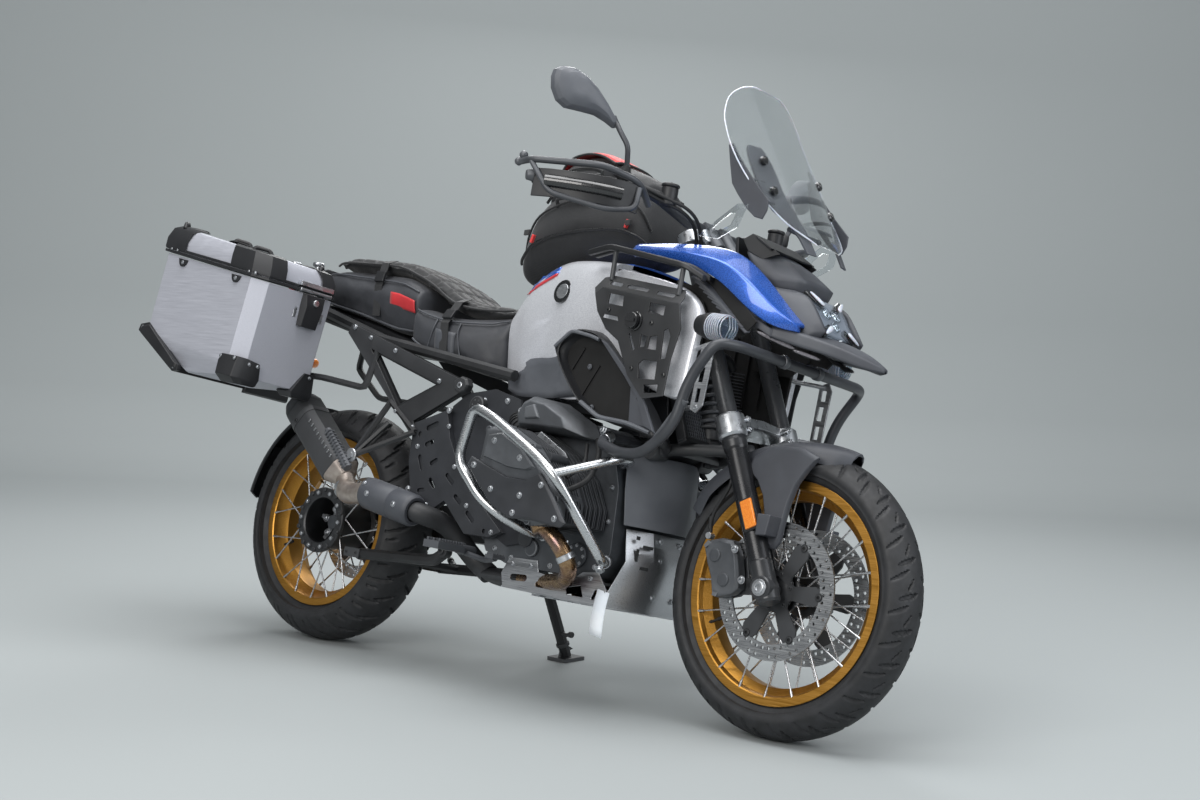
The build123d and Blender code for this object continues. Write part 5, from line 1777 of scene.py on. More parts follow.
def beak(shop: Workshop) -> None:
    """Pointed dark-grey beak with a raised ridge, side lips and headlight cheeks.

    Args:
        shop: places and finishes the pieces.
    """
    stations = (
        # x, half width, low, side high, shoulder y share, shoulder z, ridge z
        (1452, 148, 880, 902, 0.62, 908, 908),
        (1490, 130, 872, 902, 0.60, 912, 912),
        (1530, 110, 864, 894, 0.55, 908, 911),
        (1576, 88, 857, 884, 0.50, 894, 900),
        (1615, 60, 846, 873, 0.45, 882, 886),
        (1650, 32, 838, 860, 0.40, 866, 870),
        (1680, 8, 838, 847, 0.40, 849, 850),
    )
    bm = bmesh.new()
    rings = []
    for x, w, low, high, share, sz, ridge in stations:
        right = [(-w + 5, low), (-w, low + 3), (-w, high), (-w * share, sz)]
        left = [(-y, z) for y, z in reversed(right)]
        under = [(w * 0.6, low + 6), (0, low + 8), (-w * 0.6, low + 6)]
        rings.append([(x, y, z) for y, z in right + [(0, ridge)] + left + under])
    loft(bm, rings)
    for side in SIDES:
        strip = [[(x, side * y, z) for y, z in
                  ((w, low), (w + 1, low + 8), (w, high), (w - 10, high), (w - 10, low))]
                 for x, w, low, high in ((1388, 166, 921, 935), (1425, 158, 898, 916),
                                         (1460, 146, 880, 898))]
        loft(bm, strip)
    creased(bm, 24, 0.75)
    shop.fit("beak_shell", bm, Stock.GREY_PLASTIC, instead=["beak"], levels=2)
    bm = bmesh.new()
    cheek = [
        [(1408, -75, 1007), (1452, -75, 1004), (1500, -75, 999), (1561, -75, 911),
         (1545, -75, 893), (1440, -75, 890)],
        [(1404, -96, 1008), (1440, -96, 1002), (1478, -96, 978), (1536, -96, 910),
         (1520, -96, 893), (1440, -96, 890)],
        [(1398, -118, 1002), (1410, -118, 994), (1440, -112, 968), (1508, -100, 910),
         (1500, -100, 892), (1440, -112, 890)],
    ]
    loft(bm, cheek)
    mirrored(bm)
    creased(bm, 30, 0.7)
    shop.fit("headlight_cheeks", bm, Stock.GREY_PLASTIC, levels=2)
    bm = bmesh.new()
    glass = bmesh.new()
    for side in SIDES:
        for base, tip, wide in (((1420, side * 150, 892), (1498, side * 97, 865), 8.0),
                                ((1492, side * 100, 863), (1546, side * 64, 850), 6.5)):
            a, b = Vector(base), Vector(tip)
            add_tube(bm, [a, a.lerp(b, 0.5) + UP * -1, b],
                     [wide * 0.7, wide, wide * 0.6], sides=12)
            out = Vector((0.55, side * 0.8, -0.25)).normalized()
            along = (b - a).normalized()
            tall = out.cross(along).normalized()
            rings = []
            for share, reach in ((0.04, 0.25), (0.1, 0.75), (0.3, 1.0), (0.7, 1.0), (0.9, 0.7),
                                 (0.97, 0.2)):
                mid = a.lerp(b, share) + out * (wide * 0.72)
                rings.append([mid + tall * (math.cos(t * math.pi / 6) * wide * 0.62 * reach)
                              + out * (math.sin(t * math.pi / 6) * 3.4 * reach)
                              for t in range(12)])
            loft(glass, rings)
            for n in range(1, 8):
                mid = a.lerp(b, n / 8) + out * (wide * 0.72 + 2.6)
                add_tube(glass, [mid + tall * wide * 0.42, mid + out * 1.4,
                                 mid - tall * wide * 0.42], 0.9, sides=6)
    shop.fit("indicator_housings", bm, Stock.BLACK_PLASTIC, smooth=40)
    shop.fit("indicator_lenses", glass, Stock.SMOKED, smooth=40)


def nose(shop: Workshop) -> None:
    """Faceted instrument cowl above the headlight.

    Args:
        shop: places and finishes the pieces.
    """
    bm = bmesh.new()
    rings = [
        [(1352, -90, 1003), (1400, -84, 1002), (1452, -60, 1003), (1456, 0, 1003), (1452, 60, 1003),
         (1400, 84, 1002), (1352, 90, 1003)],
        [(1348, -98, 1028), (1404, -92, 1029), (1463, -62, 1030), (1468, 0, 1030), (1463, 62, 1030),
         (1404, 92, 1029), (1348, 98, 1028)],
        [(1326, -97, 1062), (1372, -84, 1066), (1411, -50, 1068), (1417, 0, 1068), (1411, 50, 1068),
         (1372, 84, 1066), (1326, 97, 1062)],
        [(1306, -94, 1090), (1334, -72, 1094), (1358, -37, 1097), (1362, 0, 1097), (1358, 37, 1097),
         (1334, 72, 1094), (1306, 94, 1090)],
    ]
    loft(bm, rings)
    creased(bm, 14, 0.88)
    shop.fit("nose_cowl", bm, Stock.GREY_PLASTIC, instead=["nose_panel"], levels=2)
    bm = bmesh.new()
    for side in SIDES:
        add_plate(bm, [(1290, side * 90, 1118), (1316, side * 90, 1132), (1392, side * 74, 1088),
                       (1352, side * 84, 1072), (1312, side * 92, 1090)], 4)
    add_prism(bm, [(1290, 1118), (1318, 1132), (1376, 1098), (1372, 1094), (1318, 1126),
                   (1292, 1113)], -88, 88)
    add_prism(bm, [(1272, 1068), (1264, 1124), (1272, 1126), (1282, 1070)], -84, 84)
    shop.fit("instrument_hood", bm, Stock.BLACK_PLASTIC, round_mm=1.5)


def headlight(shop: Workshop) -> None:
    """Dark bowl, clear central lens with its projectors, and four pale light bars in an X.

    Args:
        shop: places and finishes the pieces.
    """
    bm = bmesh.new()
    add_prism(bm, [(1420, 1000), (1478, 996), (1536, 912), (1520, 896), (1424, 900)], -72, 72)
    shop.fit("headlight_bowl", bm, Stock.CASE, instead=["headlight"], round_mm=2)
    bm = bmesh.new()
    rings = []
    for y, k in ((-66, 0.0), (-40, 1.0), (0, 1.35), (40, 1.0), (66, 0.0)):
        rings.append([(1484 + 5 * k, y, 994), (1500 + 5 * k, y, 976), (1535 + 5 * k, y, 926),
                      (1543 + 4 * k, y, 908), (1537, y, 906), (1478, y, 992)])
    loft(bm, rings)
    shop.fit("headlight_lens", bm, Stock.LENS, smooth=60)
    face = Vector((0.83, 0, 0.56)).normalized()
    down = Vector((0.56, 0, -0.83)).normalized()
    bm = bmesh.new()
    for y, s, r in ((-19, 0, 17), (19, 0, 17), (0, 34, 14)):
        spot = Vector((1502, y, 962)) + down * s
        stops = [(0, r), (5, r), (6, r * 0.8), (1, r * 0.7), (7, r * 0.5), (10, 0.6)]
        loft(bm, [ring_round(spot + face * h, face, LEFT, q, 24) for h, q in stops])
    shop.fit("headlight_projectors", bm, Stock.REFLECTOR, smooth=40)
    bm = bmesh.new()
    for side in SIDES:
        for (y0, s0), (y1, s1) in (((30, -16), (66, -44)), ((32, 44), (66, 70))):
            a = Vector((1517, side * y0, 968)) + down * s0
            b = Vector((1513, side * y1, 968)) + down * s1
            along = (b - a).normalized()
            wide = face.cross(along).normalized()
            rings = []
            for share, half, tall in ((0.0, 1.5, 0.8), (0.05, 4.5, 2.2), (0.16, 6.2, 3.2),
                                      (0.45, 6.0, 3.4), (0.8, 4.2, 2.8), (0.96, 2.2, 1.6),
                                      (1.0, 0.8, 0.6)):
                rings.append([a.lerp(b, share) + wide * (half * math.cos(t * math.pi / 6))
                              + face * (tall * math.sin(t * math.pi / 6)) for t in range(12)])
            loft(bm, rings)
    shop.fit("headlight_light_bars", bm, Stock.LED_AND_PAINTED_HIGHLIGHT, smooth=45)
    bm = bmesh.new()
    for side in SIDES:
        for (y0, s0), (y1, s1) in (((26, -13), (69, -48)), ((28, 41), (69, 73))):
            a = Vector((1504, side * y0, 964)) + down * s0
            b = Vector((1501, side * y1, 964)) + down * s1
            add_tube(bm, [a, a.lerp(b, 0.5), b], [8.5, 9.5, 5.5], sides=14)
    shop.fit("headlight_bar_beds", bm, Stock.GLOSS_BLACK, smooth=45)


def screen_x(height: float) -> float:
    """Middle line of the screen's front face."""
    return SCREEN_FOOT[0] - (height - SCREEN_FOOT[1]) * SCREEN_LEAN


def on_screen(across: float, height: float, behind: float = 0.0) -> Point:
    """A point of the screen's bowed front face, or so far behind it."""
    return (screen_x(height) - behind - SCREEN_BOW * across * across, across, height)


def screen(shop: Workshop) -> None:
    """Clear screen with polished edges drawn as a pale tube of painted highlight, its dark carrier
    arms, bolts and deflectors.

    Args:
        shop: places and finishes the pieces.
    """
    rows = [(1118, 46), (1134, 84), (1150, 112), (1182, 138), (1220, 158), (1270, 171),
            (1320, 175), (1360, 172), (1400, 164), (1450, 138), (1482, 100), (1496, 66), (1500, 46)]
    bm = bmesh.new()
    rings = []
    for z, half in smooth_rows(rows, 2):
        line = [on_screen(half * (-1 + n / 8), z) for n in range(17)]
        rings.append(line + [(x - 3.4, y, z) for x, y, z in reversed(line)])
    loft(bm, rings)
    shop.fit("windscreen_sheet", bm, Stock.SCREEN, instead=["windscreen"], smooth=45)
    # Painted highlight: a pale opaque tube along the clear edge stands for the light that the polished
    # edge catches.
    bm = bmesh.new()
    edge = [on_screen(-h, z, 1.7) for z, h in smooth_rows(rows, 3)]
    edge += [(x, -y, z) for x, y, z in reversed(edge)]
    add_tube(bm, edge, 1.9, sides=6)
    shop.fit("windscreen_edge_painted_highlight", bm, Stock.LED_AND_PAINTED_HIGHLIGHT, smooth=60)
    carrier(shop)


def carrier(shop: Workshop) -> None:
    """Bent carrier arms behind the screen, round bolts, flat deflectors and small winglets.

    Args:
        shop: places and finishes the pieces.
    """
    bm = bmesh.new()
    rings = []
    for z, low, high in ((1334, 100, 128), (1320, 92, 136), (1294, 86, 140), (1262, 84, 141),
                         (1232, 84, 140), (1200, 78, 136), (1176, 70, 128), (1150, 58, 98),
                         (1120, 54, 84), (1088, 52, 78)):
        mid = (low + high) / 2
        front = [on_screen(-y, z, 7) for y in (low, mid, high)]
        rings.append(front + [(x - 7, y, z) for x, y, z in reversed(front)])
    loft(bm, rings)
    mirrored(bm)
    add_tube(bm, [(1396, -64, 1150), (1402, 0, 1146), (1396, 64, 1150)], 6, 20, 10)
    shop.fit("screen_arms", bm, Stock.GREY_PLASTIC, instead=["screen_carrier"], round_mm=1.4)
    bm = bmesh.new()
    for z, y in ((1300, 112), (1226, 116)):
        for side in SIDES:
            x = on_screen(y, z)[0]
            add_rod(bm, (x - 4, side * y, z - 2), (x + 6, side * (y + 1), z + 2), 11, 24, edge=2)
            add_rod(bm, (x + 4, side * y, z + 1.5), (x + 8, side * (y + 1), z + 3), 6, 20, edge=1)
    shop.fit("screen_bolts", bm, Stock.GLOSS_BLACK, smooth=35)
    bm = bmesh.new()
    wing = [(1258, 1326), (1270, 1328), (1296, 1296), (1350, 1240), (1404, 1190), (1404, 1166),
            (1394, 1146), (1370, 1152), (1345, 1170), (1310, 1206), (1288, 1232), (1272, 1280)]
    rings = []
    for y, share in ((-160, 0.98), (-163, 1.0), (-166, 0.98)):
        rings.append([(x, y - (x - 1250) * 0.02 + 2, z) for x, z in shrunk(wing, share)])
    loft(bm, rings)
    add_rod(bm, (1366, -160, 1194), (1386, -120, 1194), 5, 10)
    add_rod(bm, (1320, -160, 1244), (1350, -122, 1244), 5, 10)
    mirrored(bm)
    shop.fit("side_deflectors", bm, Stock.GREY_PLASTIC, round_mm=0.8)
    bm = bmesh.new()
    fin = [(1240, -190, 1100), (1300, -196, 1092), (1352, -196, 1120), (1366, -190, 1176),
           (1330, -182, 1178), (1280, -184, 1140)]
    mid = Vector((1310, -190, 1130))
    outer = [Vector(p) for p in fin]
    loft(bm, [outer, [p * 0.5 + mid * 0.5 + Vector((0, -2.5, 0)) for p in outer],
              [p * 0.5 + mid * 0.5 + Vector((0, 0.5, 0)) for p in outer],
              [p + Vector((0, 3, 0)) for p in outer]], wrap=True)
    mirrored(bm)
    shop.fit("clear_winglets", bm, Stock.SCREEN, smooth=50)


def aux_lamps(shop: Workshop) -> None:
    """Long ribbed glass bowls in black pods on short stalks.

    Args:
        shop: places and finishes the pieces.
    """
    bm = bmesh.new()
    glass = bmesh.new()
    shine = bmesh.new()
    ribs = bmesh.new()
    for side in SIDES:
        back, front = Vector((1312, side * 225, 885)), Vector((1414, side * 234, 877))
        way = (front - back).normalized()
        across = square_to(way, UP)
        length = (front - back).length
        stops = [(0, 8), (2, 17), (8, 23), (24, 27), (34, 30), (38, 31), (44, 31), (46, 29),
                 (40, 26)]
        loft(bm, [ring_round(back + way * h, way, across, r, 32) for h, r in stops])
        add_rod(bm, (1340, side * 170, 880), (1340, side * 205, 882), 8, 16)
        add_rod(bm, (1340, side * 192, 881), (1340, side * 206, 882), 13, 16, edge=1.5)
        # The pale sleeve built in shine is painted reflection: pale diffuser drawn in place of the
        # chrome reflector inside each glass.
        stops = [(39, 1), (39, 22), (52, 26), (length - 14, 27.2), (length - 15, 26.2), (54, 25),
                 (43, 20), (43, 1)]
        loft(shine, [ring_round(back + way * h, way, across, r, 32) for h, r in stops])
        stops = [(46, 28.6), (length - 8, 28.8), (length - 2, 26), (length + 3, 19),
                 (length + 5, 8), (length + 5, 0.8), (length, 0.8), (length - 6, 24), (47, 26.4)]
        loft(glass, [ring_round(back + way * h, way, across, r, 48) for h, r in stops], wrap=True)
        for n in range(8):
            h, r = 49 + 6.6 * n, 29.2 if n < 7 else 27.4
            ring = ring_round(back + way * h, way, across, r, 40)
            add_tube(ribs, [*ring, ring[0]], 1.7, sides=6)
        for n in (-1, 0, 1):
            reach = math.sqrt(26.0 ** 2 - (n * 9.0) ** 2)
            spot = back + way * (length + 2) + way.cross(across) * (n * 9.0)
            add_tube(ribs, [spot - across * reach - way * 5, spot + way * 3.5,
                            spot + across * reach - way * 5], 1.5, sides=6)
    shop.fit("aux_lamp_pods", bm, Stock.BLACK_PLASTIC, instead=["aux_lights"], smooth=35)
    shop.fit("aux_lamp_painted_reflection", shine, Stock.LED_AND_PAINTED_HIGHLIGHT, smooth=40)
    shop.fit("aux_lamp_lenses", glass, Stock.LENS, smooth=40)
    shop.fit("aux_lamp_ribs", ribs, Stock.FROST, smooth=60)


# --- soft goods ---------------------------------------------------------------------------
@dataclass
class Cushion:
    """A stuffed piece: its shell is swelled by cloth simulation and held near its pattern."""

    name: str
    finish: Finish
    rings: list[list[Point]]
    instead: tuple[str, ...] = ()
    cap_mm: float = 8.0
    voxel_mm: float = 6.0
    pressure: float = 3.0
    fill: float = 0.6

    def build(self, shop: Workshop) -> bpy.types.Object:
        """Make the shell, swell it with air pressure, and cap how far each point moved.

        Args:
            shop: places and finishes the pieces.

        Returns:
            The finished cushion.
        """
        bm = bmesh.new()
        loft(bm, self.rings)
        bmesh.ops.recalc_face_normals(bm, faces=bm.faces)
        mesh = bpy.data.meshes.new(self.name)
        bm.transform(shop.stance)
        bm.to_mesh(mesh)
        bm.free()
        piece = bpy.data.objects.new(self.name, mesh)
        bpy.context.scene.collection.objects.link(piece)
        mesh.materials.append(self.finish.material())
        net = piece.modifiers.new("net", "REMESH")
        net.mode = "VOXEL"
        net.voxel_size = self.voxel_mm * MM
        self.apply(piece)
        self.swell(piece)
        relax = piece.modifiers.new("relax", "SMOOTH")
        relax.factor = 0.5
        relax.iterations = 4
        self.apply(piece)
        piece.data.shade_smooth()
        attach(piece, "chassis")
        if self.instead:
            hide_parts(*self.instead)
        LOG.info("%s: %d faces, %s", self.name, len(piece.data.polygons), self.finish.name)
        return piece

    def apply(self, piece: bpy.types.Object) -> None:
        """Turn the modified shape into the piece's own mesh.

        Args:
            piece: the piece to change.
        """
        graph = bpy.context.evaluated_depsgraph_get()
        graph.update()
        made = bpy.data.meshes.new_from_object(piece.evaluated_get(graph))
        old = piece.data
        piece.modifiers.clear()
        piece.data = made
        bpy.data.meshes.remove(old)

    def swell(self, piece: bpy.types.Object) -> None:
        """Blow the shell up for twenty frames and bring far points back to the cap.

        Args:
            piece: the piece to change.
        """
        rest = [v.co.copy() for v in piece.data.vertices]
        scene = bpy.context.scene
        scene.frame_set(1)
        cloth = piece.modifiers.new("air", "CLOTH")
        cloth.settings.use_pressure = True
        cloth.settings.uniform_pressure_force = self.pressure
        cloth.settings.quality = 5
        cloth.settings.effector_weights.gravity = 0.0
        for frame in range(1, 21):
            scene.frame_set(frame)
        graph = bpy.context.evaluated_depsgraph_get()
        made = bpy.data.meshes.new_from_object(piece.evaluated_get(graph))
        piece.modifiers.clear()
        scene.frame_set(1)
        limit = self.cap_mm * MM
        for vert, home, moved in zip(piece.data.vertices, rest, made.vertices):
            step = moved.co - home
            if step.length > limit:
                step *= limit / step.length
            vert.co = home + step
        bpy.data.meshes.remove(made)


def pillow_ring(x: float, z_low: float, z_high: float, w_low: float, w_high: float,
                power: float = 3.2, count: int = 28) -> list[Point]:
    """One station of a cushion: a rounded box section across the machine.

    Args:
        x: place along the machine.
        z_low: height of the foot.
        z_high: height of the top.
        w_low: half width low down.
        w_high: half width high up.
        power: how square the outline is.
        count: number of points.

    Returns:
        The closed outline.
    """
    mid, tall = (z_low + z_high) / 2, (z_high - z_low) / 2
    ring = []
    for n in range(count):
        angle = 2 * math.pi * n / count
        cos, sin = math.cos(angle), math.sin(angle)
        up = math.copysign(abs(sin) ** (2 / power), sin)
        out = math.copysign(abs(cos) ** (2 / power), cos)
        wide = w_low + (w_high - w_low) * (up + 1) / 2
        ring.append((x, out * wide, mid + up * tall))
    return ring


def seat_rings(rows: Sequence[Sequence[float]], steps: int = 4) -> list[list[Point]]:
    """Seat stations: flat-bottomed, waisted sides, a crowned top with soft shoulders.

    Args:
        rows: stations along the seat.
        steps: steps between stations.

    Returns:
        One outline for each station and step.
    """
    rings = []
    for x, low, w_low, mid, w, top in smooth_rows(rows, steps):
        right = rounded_section(
            [(-w_low, low), (-(w_low + w) / 2 - 1, (low + mid) / 2 - 3), (-w, mid),
             (-w + 9, (mid + top) / 2 + 6), (-w + 30, top - 1), (-w * 0.42, top + 2), (0, top - 3)], 3)
        rings.append([(x, y, z) for y, z in right]
                     + [(x, -y, z) for y, z in reversed(right[:-1])])
    return rings


def along_seat(rows: Sequence[Sequence[float]], share: float, lift: float,
               proud: float) -> list[Point]:
    """A line along a seat's right side, at a share of the way from low edge to shoulder.

    Args:
        rows: stations along the seat.
        share: how far up, from 0 to 1.
        lift: how far it is raised.
        proud: how far it stands out.

    Returns:
        The points of the line.
    """
    line = []
    for x, low, w_low, mid, w, _ in smooth_rows(rows, 4):
        z = low + (mid - low) * share
        line.append((x, -(w_low + (w - w_low) * share) - proud, z + lift))
    return line


class Saddle:
    """Rider's and passenger's seats with seams, red and grey side panels."""

    rider = ((606, 760, 90, 868, 104, 905), (575, 756, 104, 858, 116, 898),
             (545, 752, 118, 850, 128, 892), (440, 775, 146, 850, 156, 884),
             (346, 800, 150, 868, 160, 896), (304, 822, 150, 882, 158, 910))
    passenger = ((298, 840, 118, 920, 148, 956), (250, 842, 124, 934, 148, 976),
                 (200, 848, 126, 944, 144, 988), (60, 880, 124, 956, 138, 998),
                 (-70, 904, 116, 970, 130, 1002), (-134, 922, 98, 974, 112, 990))

    def build(self, shop: Workshop) -> None:
        """Build both seats and everything sewn on them.

        Args:
            shop: places and finishes the pieces.
        """
        Cushion("rider_seat_foam", Stock.SEAT, seat_rings(self.rider), ("rider_seat",), 4.0, 6.0,
                1.6, 0.8).build(shop)
        Cushion("passenger_seat_foam", Stock.SEAT, seat_rings(self.passenger),
                ("passenger_seat",), 4.0, 6.0, 1.6, 0.8).build(shop)
        self.seams(shop)
        self.panels(shop)

    def seams(self, shop: Workshop) -> None:
        """Raised welts along the shoulders and down the sides.

        Args:
            shop: places and finishes the pieces.
        """
        bm = bmesh.new()
        for rows in (self.rider, self.passenger):
            line = [(x, -w + 7, (mid + top) / 2 + 7) for x, _, _, mid, w, top
                    in smooth_rows(rows, 4)]
            add_tube(bm, line[1:-1], 2.3, sides=8)
            add_tube(bm, along_seat(rows, 0.04, 2, 2.5)[1:-1], 3.0, sides=8)
        for x_top, x_low in ((470, 492), (392, 372)):
            row = min(smooth_rows(self.rider, 8), key=lambda r: abs(r[0] - x_top))
            add_tube(bm, [(x_top, -row[4] + 8, (row[3] + row[5]) / 2 + 5), (x_top + 2, -row[4] - 3,
                          row[3]), ((x_top + x_low) / 2, -(row[2] + row[4]) / 2 - 4,
                          (row[1] + row[3]) / 2), (x_low, -row[2] - 4, row[1] + 6)], 2.0, 14, 8)
        mirrored(bm)
        shop.fit("seat_welts", bm, Stock.SEAT_SIDE, smooth=50)

    def panels(self, shop: Workshop) -> None:
        """Thin vinyl side panels: red under the passenger, grey between the rider's seams.

        Args:
            shop: places and finishes the pieces.
        """
        for name, rows, x_low, x_high, low, high, finish in (
            ("seat_red_panels", self.passenger, 175, 292, 0.62, 1.0, Stock.SEAT_RED),
            ("seat_grey_panels", self.rider, 398, 478, 0.16, 0.94, Stock.SEAT_SIDE),
        ):
            bm = bmesh.new()
            grid = []
            chosen = [r for r in smooth_rows(rows, 8) if x_low <= r[0] <= x_high]
            for n in range(7):
                share = low + (high - low) * n / 6
                line = []
                for x, z0, w0, z1, w1, _ in chosen:
                    bow = 3.6 + 2.0 * math.sin(math.pi * n / 6)
                    line.append((x, -(w0 + (w1 - w0) * share) - bow, z0 + (z1 - z0) * share))
                grid.append(line)
            loft(bm, grid, open_ring=True)
            mirrored(bm)
            thicken(shop.fit(name, bm, finish, smooth=60), 2.4)


class QuiltedPad:
    """Air-cell pad strapped over both seats: rows of sewn cells, piping and two straps."""

    rows = ((-92, 1010, 1030, 106), (-60, 1010, 1040, 120), (-20, 1008, 1044, 126),
            (60, 1008, 1040, 128), (176, 1004, 1034, 128), (250, 985, 1014, 126),
            (320, 958, 988, 125), (400, 916, 948, 124), (470, 902, 932, 118),
            (540, 902, 930, 106), (594, 910, 932, 90))

    def build(self, shop: Workshop) -> None:
        """Build the stuffed pad, its sewn grooves, edge piping and straps.

        Args:
            shop: places and finishes the pieces.
        """
        rings = [pillow_ring(x, low, high, w - 3, w - 8, 2.6)
                 for x, low, high, w in smooth_rows(self.rows, 5)]
        piece = Cushion("seat_pad_body", Stock.PAD, rings, ("seat_pad",), 7.0, 6.0, 3.5,
                        0.55).build(shop)
        self.quilt(piece, shop)
        self.trim(shop)

    def quilt(self, piece: bpy.types.Object, shop: Workshop) -> None:
        """Press the sewn channels between the air cells into the pad's top.

        Args:
            piece: the piece to change.
            shop: places and finishes the pieces.
        """
        back = shop.stance.inverted()
        for vert in piece.data.vertices:
            spot = back @ vert.co
            across = abs(((spot.y + 21) % 42) - 21) if abs(spot.y) < 100 else 21
            around = abs(((spot.x + 26) % 52) - 26)
            edge = 108 - abs(spot.y)
            deep = 0.0
            for gap in (across, around, abs(edge)):
                deep = max(deep, math.exp(-(gap / 4.2) ** 2))
            row = min(self.rows, key=lambda r: abs(r[0] - spot.x))
            if spot.z > (row[1] + row[2]) / 2:
                spot.z -= 6.5 * deep
                vert.co = shop.stance @ spot

    def trim(self, shop: Workshop) -> None:
        """Piping round the pad's edge and two webbing straps with their buckles.

        Args:
            shop: places and finishes the pieces.
        """
        bm = bmesh.new()
        line = [(x, -w + 2, (low + high) / 2) for x, low, high, w in smooth_rows(self.rows, 4)]
        add_tube(bm, line, 3.2, sides=8)
        add_tube(bm, [(x, -y, z) for x, y, z in line], 3.2, sides=8)
        shop.fit("seat_pad_piping", bm, Stock.WEB, smooth=60)
        bm = bmesh.new()
        buckles = bmesh.new()
        for x, top, low, w_top, w_low in ((128, 1040, 880, 132, 140), (430, 944, 790, 126, 160)):
            for side in SIDES:
                run = [Vector((x, side * (w_top - 30), top)), Vector((x, side * w_top, top - 14)),
                       Vector((x, side * (w_low + 4), (top + low) / 2)),
                       Vector((x + 6, side * (w_low - 2), low))]
                for a, b in zip(run, run[1:]):
                    way = (b - a).normalized()
                    out = way.cross(AHEAD).normalized() * side
                    ends = [a - way * 0.5, b + way * 0.5]
                    loft(bm, [[p + Vector((14, 0, 0)), p + Vector((-14, 0, 0)),
                               p + Vector((-14, 0, 0)) + out * 2, p + Vector((14, 0, 0)) + out * 2]
                              for p in ends])
                spot = run[1] * 0.4 + run[2] * 0.6
                turn = (run[2] - run[1]).normalized().to_track_quat("Z", "X").to_matrix()
                add_block(buckles, spot + Vector((0, side * 3, 0)), (8, 34, 30), turn)
        shop.fit("seat_pad_straps", bm, Stock.WEB, smooth=40)
        shop.fit("seat_pad_buckles", buckles, Stock.BLACK_PLASTIC, round_mm=2.0)


